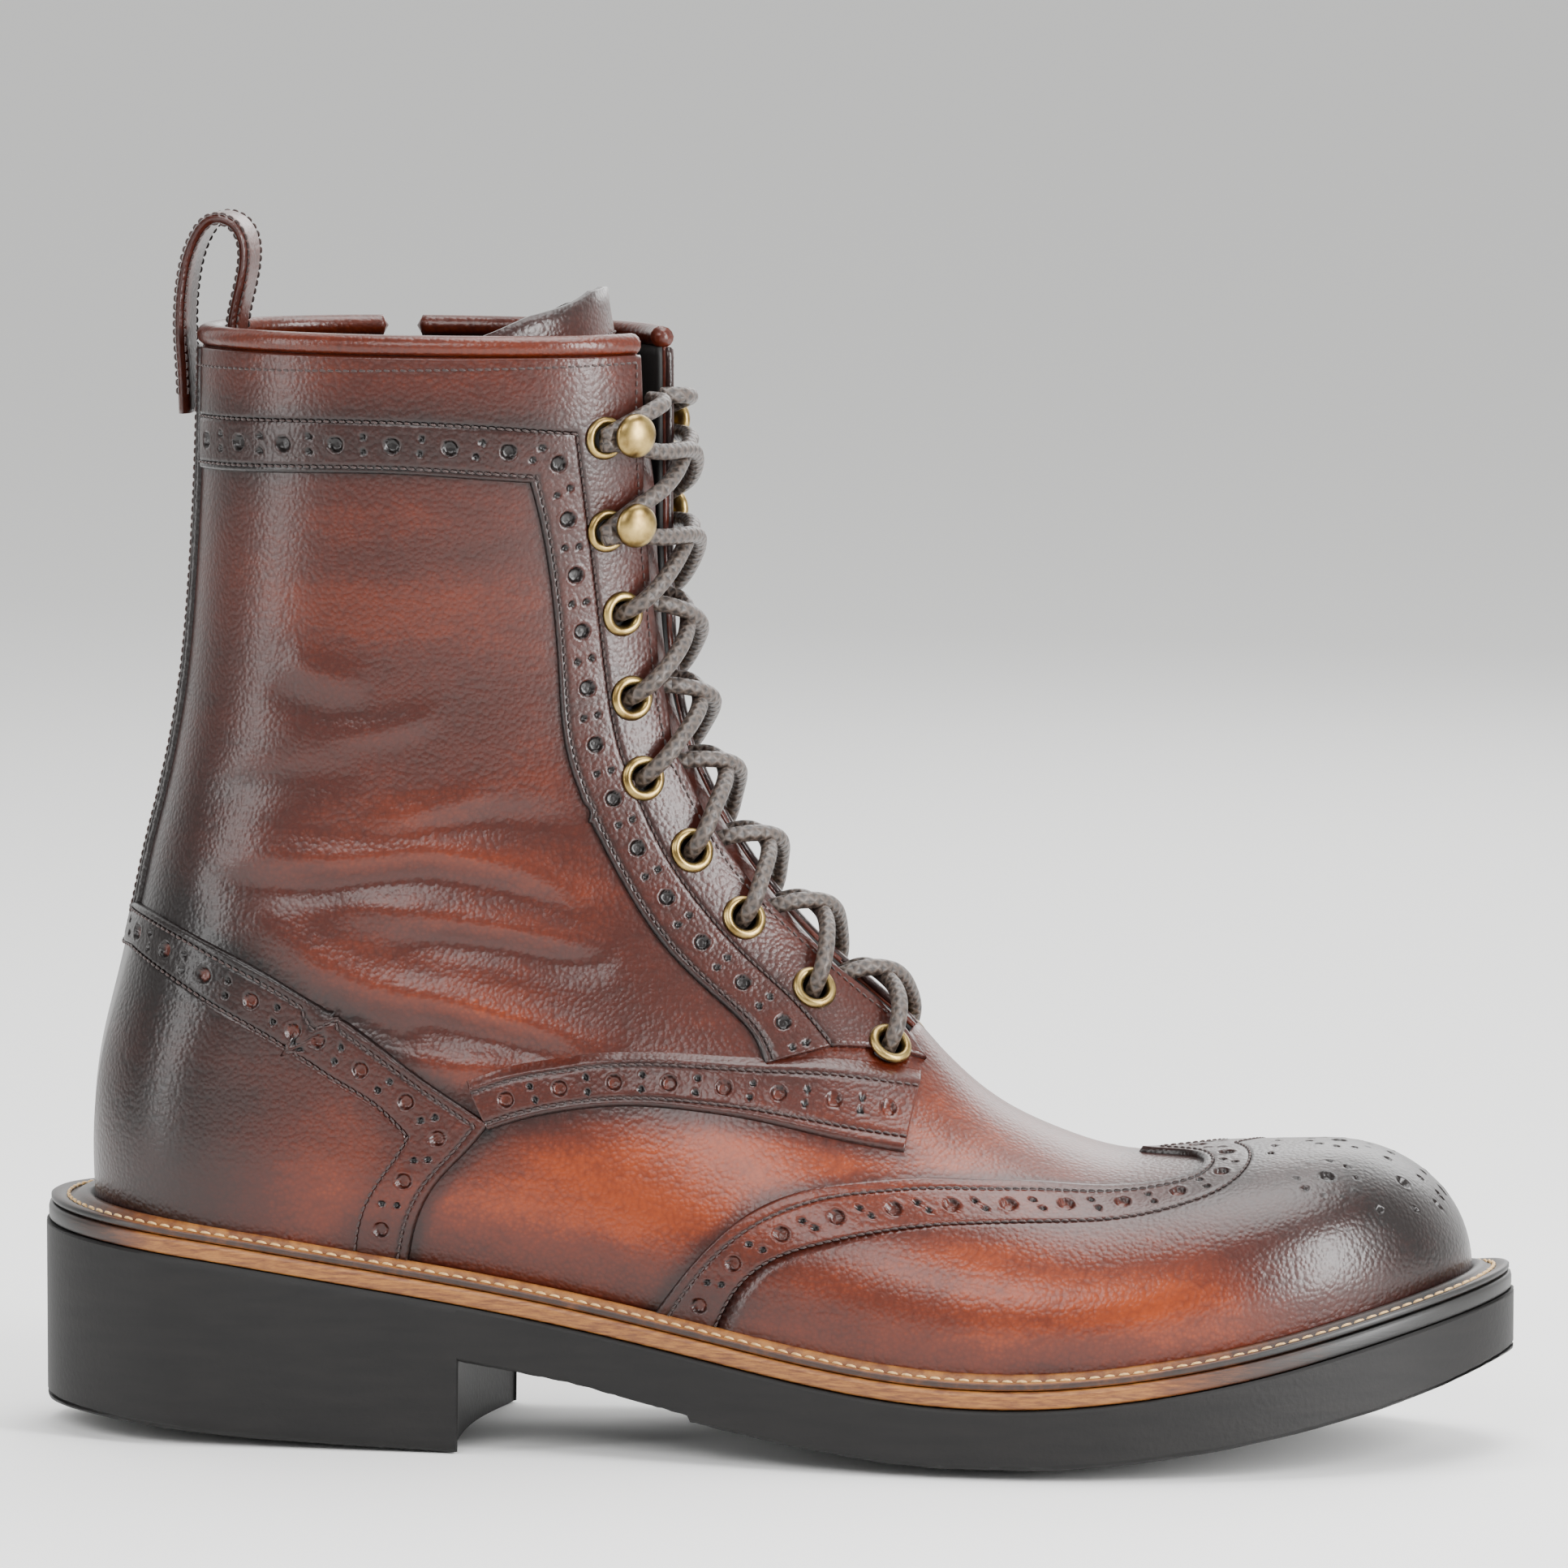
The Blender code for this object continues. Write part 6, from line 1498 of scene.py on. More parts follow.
def ring_mesh(name, profile, count, material, mark):
    """A closed band round the sole: rows go round from heel to toe to heel, and columns follow a profile.

    profile holds (inset, height over the rim) in millimetres, and its last point meets its first.
    """
    share, side = round_trip(count)
    profile = np.array(profile, float)
    x, wide = outline_at(share[:, None], side[:, None], profile[None, :, 0])
    points = np.stack([x, swing(x) + side[:, None] * wide, rim_z(x) + profile[None, :, 1]], axis=-1)
    points = (points + SHIFT) * MM
    four = wrapped_faces(*points.shape[:2], True)[:, [0, 3, 2, 1]]
    centre = points.mean(axis=1, keepdims=True)
    facing = np.cross(points[1:, 1:] - points[:-1, 1:], points[:-1, 1:] - points[:-1, :-1])
    if np.sum(facing * (points - centre)[:-1, 1:]) < 0:
        four = four[:, ::-1]
    return add_mesh(name, points.reshape(-1, 3), [four], material, {"stain_and_shade": mark(points).ravel()})


def edge_burnish(points):
    """Darkness of the sole's edges: burnished round the heel's back and the toe, tan between."""
    x = points[..., 0] / MM - SHIFT[0]
    return np.clip(1.1 - np.clip((x - 4) / 26, 0, 1) * 1.15 + np.clip((x - 236) / 46, 0, 1) * 1.05, 0, 1)


def build_sole(rubber, welt_leather, edge_leather, sock, pale_thread):
    """Rubber outsole with its heel, the midsole's edge, the stitched welt with its bead, and the insole."""
    made = []
    heel_end = (1 - np.cos(np.linspace(0, math.pi / 2, 40))) * 60
    toe_end = SOLE_LENGTH - (1 - np.cos(np.linspace(0, math.pi / 2, 60)))[::-1] * 95
    x = np.concatenate([heel_end[:-1], np.linspace(60, 93.9, 40), [94.15], np.linspace(95, 143.4, 46),
                        np.linspace(144.1, 214, 60)[:-1], toe_end])
    ground = np.where(x < BREAST_X, table_of(x, HEEL_GROUND, 1),
                      np.where(x < TREAD_STEP_X, table_of(x, ARCH_GROUND, 1), table_of(x, TREAD_GROUND, 1)))
    crown = np.where(x < BREAST_X, table_of(x, HEEL_GROUND, 2),
                     np.where(x < TREAD_STEP_X, table_of(x, ARCH_GROUND, 2), table_of(x, TREAD_GROUND, 2)))
    side_rows = np.linspace(0, 1, 15)
    inner = np.array([0, 0.2, 0.4, 0.55, 0.7, 0.82, 0.92, 0.97])
    across = np.concatenate([inner, np.ones(17), inner[::-1]])
    inset = np.concatenate([np.zeros(8), [0.5], np.zeros(15), [0.7], np.zeros(8)])
    level = np.concatenate([np.ones(8), [1.0], 1 - side_rows, [0.0], np.zeros(8)])
    parts = []
    for side in (-1, 1):
        half_long = SOLE_LENGTH / 2
        place_x = half_long + (x[:, None] - half_long) * (1 - inset[None, :] / half_long)
        half = sole_half_width(x, side)[:, None]
        y = side * (half * across[None, :] - inset[None, :] * np.minimum(half / 12.0, 1))
        lift = np.clip((across - 0.55) / 0.45, 0, 1)[None, :] ** 2
        lift = np.where(half < 1e-6, 1.0, lift)
        low = ground[:, None] + crown[:, None] * lift
        top = rim_z(x)[:, None] * np.ones_like(low)
        z = low + (top - low) * level[None, :]
        corner = (level > 0.999) & (across > 0.999) & (inset < 0.01)
        z = np.where(corner[None, :], z - 0.5, z)
        corner = (level < 0.001) & (across > 0.999) & (inset < 0.01)
        z = np.where(corner[None, :], z + 0.7, z)
        near = np.exp(-((x[:, None] - BREAST_X) / 9.0) ** 2) * (1 - level[None, :])
        place_x = place_x - BREAST_HOLLOW * (1 - across[None, :] ** 2) * near
        parts.append(np.stack([place_x, swing(place_x) + y, z], axis=-1))
    grid = np.concatenate([parts[0][:, :-1], parts[1][:, ::-1][:, :-1]], axis=1)
    rough = np.sin(grid[..., 0] * 5.1 + 2.0 * np.sin(grid[..., 1] * 3.3)) * np.sin(grid[..., 0] * 2.3 + 1.0)
    low_edge = np.concatenate([level[:-1], level[::-1][:-1]])[None, :] < 0.1
    outer = np.concatenate([across[:-1], across[::-1][:-1]])[None, :] > 0.96
    grid[..., 2] += np.where(low_edge & outer, 0.22 * np.abs(rough), 0.0)
    points = (grid + SHIFT) * MM
    outsole = add_mesh("outsole", points.reshape(-1, 3), [wrapped_faces(*points.shape[:2])], rubber)
    clean_shell(outsole)
    outsole.data.set_sharp_from_angle(angle=math.radians(48))
    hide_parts("outsole")
    made.append((outsole, "black_rubber"))

    top = LAYER_GAP + MIDSOLE_THICK
    profile = [(14, LAYER_GAP), (0.9, LAYER_GAP), *MIDSOLE_EDGE, (1.3, top), (14, top)]
    midsole = ring_mesh("midsole", profile, 150, edge_leather, edge_burnish)
    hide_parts("midsole")
    made.append((midsole, "welt_leather"))

    share, side = round_trip(170)
    out_x, out_w = outline_at(share, side, 1.0)
    reach = WELT_OFFSET
    in_x = FEATHER_HEEL_X - reach + (FEATHER_TOE_X - FEATHER_HEEL_X + 2 * reach) * share
    spot = FEATHER_HEEL_X + share * (FEATHER_TOE_X - FEATHER_HEEL_X)
    in_w = np.where(side < 0, feather_half_width(spot, -1), feather_half_width(spot, 1)) + reach * (
        share * (1 - share) > 1e-9)
    base = MIDSOLE_THICK + 2 * LAYER_GAP
    profile = np.array(WELT_PROFILE)
    x = out_x[:, None] + (in_x - out_x)[:, None] * profile[None, :, 0]
    y = side[:, None] * (out_w[:, None] + (in_w - out_w)[:, None] * profile[None, :, 0])
    z = rim_z(x) + base + profile[None, :, 1]
    points = (np.stack([x, swing(x) + y, z], axis=-1) + SHIFT) * MM
    four = wrapped_faces(*points.shape[:2], True)[:, [1, 2, 3, 0]]
    # Ink round the heel and toe and on the welt's outer cut edge, and painted shade where its bead turns down
    # to the upper.
    ink_and_shade = np.clip(0.75 * edge_burnish(points) + 0.42 * (profile[None, :, 0] > 0.94)
                    + 0.5 * (profile[None, :, 0] < 0.02), 0, 1)
    welt = add_mesh("welt", points.reshape(-1, 3), [four], welt_leather, {"stain_and_shade": ink_and_shade.ravel()})
    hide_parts("welt")
    made.append((welt, "welt_leather"))
    seam = points[:, WELT_SEAM_COLUMN]
    out = np.tile([[0.0, 0.0, 1.0]], (len(seam), 1))
    seam = np.concatenate([seam, seam[:1]])
    out = np.concatenate([out, out[:1]])
    sewn = stitches("welt_stitches", [(seam + out * 0.12 * MM, out)], pale_thread, *WELT_STITCH)
    made.append((sewn, "welt_leather"))

    inset = WALL + 0.3
    u = (1 - np.cos(np.linspace(0, math.pi, 90))) / 2
    cells = np.linspace(-1, 1, 41)
    x = FEATHER_HEEL_X + inset + (FEATHER_TOE_X - FEATHER_HEEL_X - 2 * inset) * u
    spot = FEATHER_HEEL_X + u * (FEATHER_TOE_X - FEATHER_HEEL_X)
    trim = inset * (u * (1 - u) > 1e-9)
    wide = [np.maximum(feather_half_width(spot, k) - trim, 0)[:, None] for k in (-1, 1)]
    y = np.where(cells[None, :] < 0, cells * wide[0], cells * wide[1])
    x = x[:, None] * np.ones_like(cells)
    cup = 1.2 * np.abs(cells[None, :]) ** 4
    top = np.stack([x, swing(x) + y, feather_z(x) + INSOLE_THICK + cup], axis=-1)
    under = np.stack([x, swing(x) + y, feather_z(x)], axis=-1)
    insole = closed_shell("insole", (top + SHIFT) * MM, (under + SHIFT) * MM, sock)
    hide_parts("insole")
    made.append((insole, "lining"))
    return made


def clean_shell(obj):
    """Welds coinciding points, drops faces without area and turns the faces of a closed mesh outwards."""
    work = bmesh.new()
    work.from_mesh(obj.data)
    bmesh.ops.remove_doubles(work, verts=work.verts, dist=2e-6)
    bmesh.ops.dissolve_degenerate(work, edges=work.edges, dist=1e-6)
    bmesh.ops.recalc_face_normals(work, faces=work.faces)
    work.to_mesh(obj.data)
    work.free()


def add_node(tree, kind, links=None, **settings):
    """A node with its settings. links gives each socket a value, or the socket of another node."""
    made = tree.nodes.new(kind)
    for key, value in settings.items():
        setattr(made, key, value)
    for socket, source in (links or {}).items():
        target = made.inputs[socket]
        if isinstance(source, bpy.types.NodeSocket):
            tree.links.new(source, target)
        else:
            target.default_value = source
    return made


def new_finish(name, values):
    """A material with a bare Principled shader whose sockets have the given values."""
    material = bpy.data.materials.new(name)
    material.use_nodes = True
    tree = material.node_tree
    tree.nodes.clear()
    shader = add_node(tree, "ShaderNodeBsdfPrincipled", values)
    output = add_node(tree, "ShaderNodeOutputMaterial")
    tree.links.new(shader.outputs["BSDF"], output.inputs["Surface"])
    return material, tree, shader


def paint(tree, shader, factor, stops):
    """Colours the shader by a ramp whose stops are (position, linear colour)."""
    made = add_node(tree, "ShaderNodeValToRGB", {"Fac": factor})
    elements = made.color_ramp.elements
    while len(elements) < len(stops):
        elements.new(0.5)
    for element, (position, colour) in zip(elements, stops):
        element.position = position
        element.color = (*colour, 1.0)
    tree.links.new(made.outputs["Color"], shader.inputs["Base Color"])


def noise(tree, spot, scale, detail=2.0, roughness=0.5):
    """Noise between 0 and 1 at a place."""
    return add_node(tree, "ShaderNodeTexNoise", {"Vector": spot, "Scale": scale, "Detail": detail,
                                                 "Roughness": roughness}).outputs["Fac"]


def emboss(tree, shader, strength, distance, height, sockets=("Normal",)):
    """Bends the shader's normals over a height, whose step from 0 to 1 is a distance in metres."""
    bump = add_node(tree, "ShaderNodeBump", {"Strength": strength, "Distance": distance, "Height": height})
    for socket in sockets:
        tree.links.new(bump.outputs["Normal"], shader.inputs[socket])


def reckon(tree, operation, first, second, third=0.0, clamp=False):
    """The result of one Math node. The third value counts only for a multiply and add."""
    return add_node(tree, "ShaderNodeMath", {0: first, 1: second, 2: third}, operation=operation,
                    use_clamp=clamp).outputs[0]


def antiqued_calf(colours, sizes, name, tint=0.0):
    """Drum dyed calf, milled to a fine pebble, then antiqued by hand with dark cream and polished.

    The stain and shade attribute says where the cream is, and where shade and light are painted at seams,
    creases, panel edges and holes; clouds of noise break it up. The grain is a Voronoi pebble of about 1 mm
    with finer fibres over it, and wax gives a thin soft coat.
    """
    material, tree, shader = new_finish(name, {"Roughness": 0.34, "IOR": 1.45, "Coat Weight": 0.18,
                                               "Coat Roughness": 0.26, "Specular IOR Level": 0.42})
    spot = add_node(tree, "ShaderNodeTexCoord").outputs["Object"]
    # The attribute holds the antiquing stain and the painted shade and light added to it where the meshes are
    # built.
    shade_and_stain_mark = add_node(tree, "ShaderNodeAttribute", attribute_name="stain_and_shade").outputs["Fac"]
    stretched = add_node(tree, "ShaderNodeMapping", {"Vector": spot,
                                                     "Scale": (1.0, 1.0, 2.4)}).outputs["Vector"]
    clouds = noise(tree, stretched, 26.0, 5.0, 0.6)
    streaks = noise(tree, stretched, 110.0, 4.0, 0.65)
    dark = reckon(tree, "ADD", reckon(tree, "MULTIPLY_ADD", clouds, 0.50, -0.25 + tint), shade_and_stain_mark)
    dark = reckon(tree, "ADD", dark, reckon(tree, "MULTIPLY_ADD", streaks, 0.26, -0.13))
    warp = add_node(tree, "ShaderNodeTexNoise", {"Vector": spot, "Scale": 420.0,
                                                 "Detail": 2.0}).outputs["Color"]
    bent = add_node(tree, "ShaderNodeVectorMath", {0: warp, 1: (0.0004, 0.0004, 0.0004), 2: spot},
                    operation="MULTIPLY_ADD").outputs[0]
    pebbles = {"Vector": bent, "Scale": 1000 / sizes.pebble, "Smoothness": 0.35}
    pebble = add_node(tree, "ShaderNodeTexVoronoi", pebbles, feature="SMOOTH_F1").outputs["Distance"]
    fibre = noise(tree, spot, 2600.0, 2.0)
    dark = reckon(tree, "ADD", dark, reckon(tree, "MULTIPLY_ADD", pebble, 0.16, -0.06), clamp=True)
    stops = ((0.0, colours.light), (0.20, colours.cognac), (0.42, colours.chestnut),
             (0.68, colours.burnished), (1.0, colours.edge))
    paint(tree, shader, dark, stops)
    relief = reckon(tree, "MULTIPLY_ADD", fibre, 0.25, reckon(tree, "MULTIPLY", pebble, -1.0))
    emboss(tree, shader, 0.6, 0.00013, relief, ("Normal", "Coat Normal"))
    return material


def lining_leather(colours):
    """Thin black dyed lining calf, matt from its open grain."""
    material, tree, shader = new_finish("black lining calf", {"Roughness": 0.72,
                                                              "Base Color": (*colours.lining, 1)})
    spot = add_node(tree, "ShaderNodeTexCoord").outputs["Object"]
    grain = noise(tree, spot, 1400.0, 3.0)
    emboss(tree, shader, 0.4, 0.0001, grain)
    return material


def moulded_rubber(colours):
    """Expanded black rubber, cut at the edge: matt, with fine pores and a few scuffs from the knife."""
    material, tree, shader = new_finish("cut black rubber", {"Roughness": 0.6, "Specular IOR Level": 0.35})
    spot = add_node(tree, "ShaderNodeTexCoord").outputs["Object"]
    pores = noise(tree, spot, 900.0, 4.0)
    drawn = add_node(tree, "ShaderNodeMapping", {"Vector": spot, "Scale": (1.0, 1.0, 7.0)}).outputs["Vector"]
    scuffs = noise(tree, drawn, 60.0, 6.0)
    paint(tree, shader, scuffs, ((0.35, colours.rubber), (0.75, colours.rubber_scuff)))
    relief = reckon(tree, "MULTIPLY_ADD", scuffs, 0.7, pores)
    emboss(tree, shader, 0.45, 0.00018, relief)
    return material


def veg_leather(name, colours, layered):
    """Vegetable tanned leather in its own tan, waxed, and darker where the stain and shade attribute is high.

    The midsole's cut edge shows fibres that lie along it, and the welt's face is closed and smoother.
    """
    material, tree, shader = new_finish(name, {"Roughness": 0.5, "Coat Weight": 0.15, "Coat Roughness": 0.3})
    spot = add_node(tree, "ShaderNodeTexCoord").outputs["Object"]
    scale = (1.0, 1.0, 9.0) if layered else (1.0, 1.0, 1.0)
    drawn = add_node(tree, "ShaderNodeMapping", {"Vector": spot, "Scale": scale}).outputs["Vector"]
    fibres = noise(tree, drawn, 240.0, 6.0, 0.7)
    # The attribute holds ink on the cut edges and, on the welt, painted shade where it meets the upper.
    mark = add_node(tree, "ShaderNodeAttribute", attribute_name="stain_and_shade").outputs["Fac"]
    dark = reckon(tree, "ADD", mark, reckon(tree, "MULTIPLY_ADD", fibres, 1.1, -0.42), clamp=True)
    stops = ((0.0, colours.welt_light), (0.25, colours.welt), (0.6, colours.welt_dark),
             (1.0, colours.edge_ink))
    paint(tree, shader, dark, stops)
    emboss(tree, shader, 0.5, 0.00015, fibres)
    return material


def antique_brass(colours):
    """Brass plated steel with an antique finish: toned brown in the hollows and satin on its high places."""
    material, tree, shader = new_finish("antique brass", {"Metallic": 1.0, "Roughness": 0.34})
    spot = add_node(tree, "ShaderNodeTexCoord").outputs["Object"]
    tone = noise(tree, spot, 320.0, 4.0)
    paint(tree, shader, tone, ((0.3, colours.brass_dark), (0.62, colours.brass)))
    emboss(tree, shader, 0.25, 0.00008, tone)
    return material


def waxed_braid(colours, sizes):
    """Round braided cotton lace under wax: four strands each way, drawn from the tube's lay attribute."""
    material, tree, shader = new_finish("waxed cotton braid", {"Roughness": 0.5, "Coat Weight": 0.2,
                                                               "Coat Roughness": 0.35})
    lay = add_node(tree, "ShaderNodeAttribute", attribute_name="lay").outputs["Vector"]
    parts = add_node(tree, "ShaderNodeSeparateXYZ", {0: lay}).outputs
    turn = reckon(tree, "ARCTAN2", parts[1], parts[0])
    run = reckon(tree, "MULTIPLY", parts[2], 2 * math.pi / (sizes.braid * MM))
    waves = []
    for sign in (1.0, -1.0):
        phase = reckon(tree, "MULTIPLY_ADD", turn, 4.0 * sign, run)
        waves.append(reckon(tree, "SINE", phase, 0.0))
    weave = reckon(tree, "MAXIMUM", waves[0], waves[1])
    spot = add_node(tree, "ShaderNodeTexCoord").outputs["Object"]
    fuzz = noise(tree, spot, 700.0, 3.0)
    # Painted shade: the colour is darker between the strands, where the weave is low, and noise varies it.
    tone = reckon(tree, "MULTIPLY_ADD", fuzz, 0.6, reckon(tree, "MULTIPLY_ADD", weave, 0.28, 0.05),
                  clamp=True)
    paint(tree, shader, tone, ((0.1, colours.lace_dark), (0.75, colours.lace)))
    relief = reckon(tree, "MULTIPLY_ADD", fuzz, 0.4, weave)
    emboss(tree, shader, 0.6, 0.00022, relief)
    return material


def spun_thread(name, colour, pale):
    """Twisted polyester thread with a slight sheen. Its colour is broken by a painted highlight, a lighter
    colour in patches of noise.
    """
    material, tree, shader = new_finish(name, {"Roughness": 0.55, "Sheen Weight": 0.2})
    spot = add_node(tree, "ShaderNodeTexCoord").outputs["Object"]
    # Painted highlight: the lighter colour in patches of noise stands for light caught by the twisted
    # strands.
    twist = noise(tree, spot, 2200.0, 2.0)
    paint(tree, shader, twist, ((0.3, colour), (0.7, pale)))
    return material


def woven_tape(colours):
    """Black polyester zip tape, woven at about 0.6 mm, dull."""
    material, tree, shader = new_finish("woven zip tape", {"Roughness": 0.85, "Sheen Weight": 0.3})
    spot = add_node(tree, "ShaderNodeTexCoord").outputs["Object"]
    weave = add_node(tree, "ShaderNodeTexWave", {"Vector": spot, "Scale": 260.0, "Distortion": 0.6},
                     bands_direction="Z").outputs["Fac"]
    paint(tree, shader, weave, ((0.2, colours.lining), (0.9, colours.tape)))
    emboss(tree, shader, 0.5, 0.0002, weave)
    return material


def dark_nickel(colours):
    """Zinc zip parts with a dark nickel plating, satin, with tiny knocks."""
    material, tree, shader = new_finish("dark nickel plate", {"Metallic": 1.0, "Roughness": 0.36})
    spot = add_node(tree, "ShaderNodeTexCoord").outputs["Object"]
    tone = noise(tree, spot, 500.0, 3.0)
    paint(tree, shader, tone, ((0.3, colours.nickel_dark), (0.7, colours.nickel)))
    return material


def studio_floor(colours):
    """Pale seamless paper, matt, with a faint tooth."""
    material, tree, shader = new_finish("pale paper", {"Roughness": 0.85, "Base Color": (*colours.floor, 1)})
    spot = add_node(tree, "ShaderNodeTexCoord").outputs["Object"]
    tooth = noise(tree, spot, 300.0)
    emboss(tree, shader, 0.05, 0.0002, tooth)
    return material


def colour_property(name, code, description):
    """A colour whose default is an sRGB hex code."""
    return bpy.props.FloatVectorProperty(name=name, description=description, subtype="COLOR", size=3, min=0.0,
                                         max=1.0, default=hex_colour(code))


def length_property(name, value, description):
    """A length in millimetres."""
    return bpy.props.FloatProperty(name=name, description=description + ", in millimetres", default=value,
                                   min=0.01, max=50.0)


class BootColours(bpy.types.PropertyGroup):
    light: colour_property("Rubbed cognac", "#782F0C", "Calf where the cream is rubbed off")
    cognac: colour_property("Cognac", "#531D09", "Calf under a thin coat of cream")
    chestnut: colour_property("Chestnut", "#391208", "Calf under a full coat of cream")
    burnished: colour_property("Burnished", "#260D08", "Calf burnished dark")
    edge: colour_property("Edge", "#0E0605", "Inked cut edges and the deepest burnish")
    lining: colour_property("Lining", "#0B0A09", "Lining leather")
    rubber: colour_property("Rubber", "#060505", "Outsole")
    rubber_scuff: colour_property("Rubber scuff", "#100E0D", "Outsole where the knife has scuffed it")
    welt_light: colour_property("Welt, light", "#8C5A24", "Lightest fibres of the welt")
    welt: colour_property("Welt", "#5F3312", "Welt and midsole edge")
    welt_dark: colour_property("Welt, dark", "#2E170A", "Waxed edges of the welt")
    edge_ink: colour_property("Edge ink", "#080706", "Ink round the heel and toe")
    brass: colour_property("Brass", "#A8905A", "High places of the metal")
    brass_dark: colour_property("Brass, toned", "#665230", "Toned hollows of the metal")
    lace: colour_property("Lace", "#4C4038", "Waxed lace")
    lace_dark: colour_property("Lace, dark", "#1E1815", "Between the lace's strands")
    thread: colour_property("Thread", "#180A08", "Dark stitches")
    # Painted highlight: this lighter thread colour stands for stitches catching the light.
    thread_light: colour_property("Thread, highlit", "#341811", "Dark stitches where they catch the light")
    pale_thread: colour_property("Welt thread", "#B98F55", "Stitches of the welt")
    pale_thread_light: colour_property("Welt thread, light", "#D6B47C", "Highlights of the welt's stitches")
    tape: colour_property("Zip tape", "#161514", "Zip tape")
    nickel: colour_property("Zip metal", "#8A8680", "Zip teeth, slider and pull")
    nickel_dark: colour_property("Zip metal, dark", "#4E4A46", "Zip metal in its hollows")
    floor: colour_property("Floor", "#F4F4F3", "Paper that the boot stands on")


class BootSizes(bpy.types.PropertyGroup):
    large_hole: length_property("Large hole", 3.0, "Across a large punched hole")
    small_hole: length_property("Small hole", 1.3, "Across a small punched hole")
    hole_pitch: length_property("Hole pitch", 11.7, "From one large hole to the next")
    stitch_pitch: length_property("Stitch pitch", 1.75, "From one stitch to the next")
    stitch_length: length_property("Stitch length", 1.5, "Length of one stitch")
    thread: length_property("Thread", 0.5, "Thickness of the thread")
    lace: length_property("Lace", 3.5, "Thickness of the lace")
    braid: length_property("Braid", 2.4, "Length of one turn of the lace's braid")
    pebble: length_property("Pebble", 0.95, "Size of the leather's pebbles")
    strip_dark: bpy.props.FloatProperty(name="Strip darkness", default=0.13, min=0.0, max=1.0,
                                        description="How much darker the punched strips are")
    detail: bpy.props.FloatProperty(
        name="Detail", default=1.15, min=0.3, max=3.0,
        description="Points along the punched strips, as a share of the plain count")


def settle(pieces):
    """Each piece rides on the boot."""
    for piece, name in pieces:
        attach(piece, BODY)


def finish_of(name, maker, *values):
    """The material of that name, made once."""
    return bpy.data.materials.get(name) or maker(*values)


def calf(context):
    """The leather of the upper and its panels."""
    return finish_of("antiqued calf", antiqued_calf, context.scene.boot_colours, context.scene.boot_sizes,
                     "antiqued calf")


def dark_thread(context):
    """The thread of the upper's seams."""
    colours = context.scene.boot_colours
    return finish_of("dark thread", spun_thread, "dark thread", colours.thread, colours.thread_light)


class BOOT_OT_upper(bpy.types.Operator):
    """Build the vamp, quarters and lining"""

    bl_idname = "boot.upper"
    bl_label = "Upper"

    def execute(self, context):
        colours = context.scene.boot_colours
        settle(build_upper(calf(context), finish_of("black lining calf", lining_leather, colours)))
        return {"FINISHED"}


class BOOT_OT_panels(bpy.types.Operator):
    """Build the toe cap, heel counter, facings and punched strips with their stitching"""

    bl_idname = "boot.panels"
    bl_label = "Panels"

    def execute(self, context):
        sizes = context.scene.boot_sizes
        skin, thread = calf(context), dark_thread(context)
        settle(build_wing(sizes, skin, thread))
        settle(build_counter(sizes, skin, thread))
        for side in (-1, 1):
            settle(build_facing(side, sizes, skin, thread))
        return {"FINISHED"}


class BOOT_OT_collar(bpy.types.Operator):
    """Build the collar's binding, the tongue and the pull loop"""

    bl_idname = "boot.collar"
    bl_label = "Collar"

    def execute(self, context):
        sizes, colours = context.scene.boot_sizes, context.scene.boot_colours
        dark = finish_of("burnished calf", antiqued_calf, colours, sizes, "burnished calf", 0.30)
        settle(build_collar(sizes, dark, calf(context), dark_thread(context)))
        return {"FINISHED"}


class BOOT_OT_metal(bpy.types.Operator):
    """Build the eyelets and lace hooks"""

    bl_idname = "boot.metal"
    bl_label = "Eyelets and hooks"

    def execute(self, context):
        colours = context.scene.boot_colours
        brass = finish_of("antique brass", antique_brass, colours)
        for side in (-1, 1):
            settle(build_metal(side, brass, finish_of("black lining calf", lining_leather, colours)))
        return {"FINISHED"}


class BOOT_OT_laces(bpy.types.Operator):
    """Build the lace"""

    bl_idname = "boot.laces"
    bl_label = "Laces"

    def execute(self, context):
        sizes, colours = context.scene.boot_sizes, context.scene.boot_colours
        settle(build_laces(sizes, finish_of("waxed cotton braid", waxed_braid, colours, sizes)))
        return {"FINISHED"}


class BOOT_OT_zip(bpy.types.Operator):
    """Build the zip with its slider and pull"""

    bl_idname = "boot.zip"
    bl_label = "Zip"

    def execute(self, context):
        colours = context.scene.boot_colours
        steel = finish_of("dark nickel plate", dark_nickel, colours)
        pieces, pull = build_zip(finish_of("woven zip tape", woven_tape, colours), steel)
        settle(pieces)
        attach(pull, "zip_pull")
        return {"FINISHED"}


class BOOT_OT_sole(bpy.types.Operator):
    """Build the outsole, midsole, welt and insole"""

    bl_idname = "boot.sole"
    bl_label = "Sole"

    def execute(self, context):
        colours = context.scene.boot_colours
        pale = finish_of("welt thread", spun_thread, "welt thread", colours.pale_thread,
                         colours.pale_thread_light)
        settle(build_sole(finish_of("cut black rubber", moulded_rubber, colours),
                          finish_of("waxed welt leather", veg_leather, "waxed welt leather", colours, False),
                          finish_of("cut sole leather", veg_leather, "cut sole leather", colours, True),
                          finish_of("black lining calf", lining_leather, colours), pale))
        return {"FINISHED"}


# Stage: places in metres in the frame of the part, and light strengths in watts.
CAMERA_TARGET = (0.0023, 0.00103, 0.1367)
CAMERA_DISTANCE = 2.3
CAMERA_AZIMUTH = 9.0
CAMERA_ELEVATION = 6.0
CAMERA_LENS = 253.7
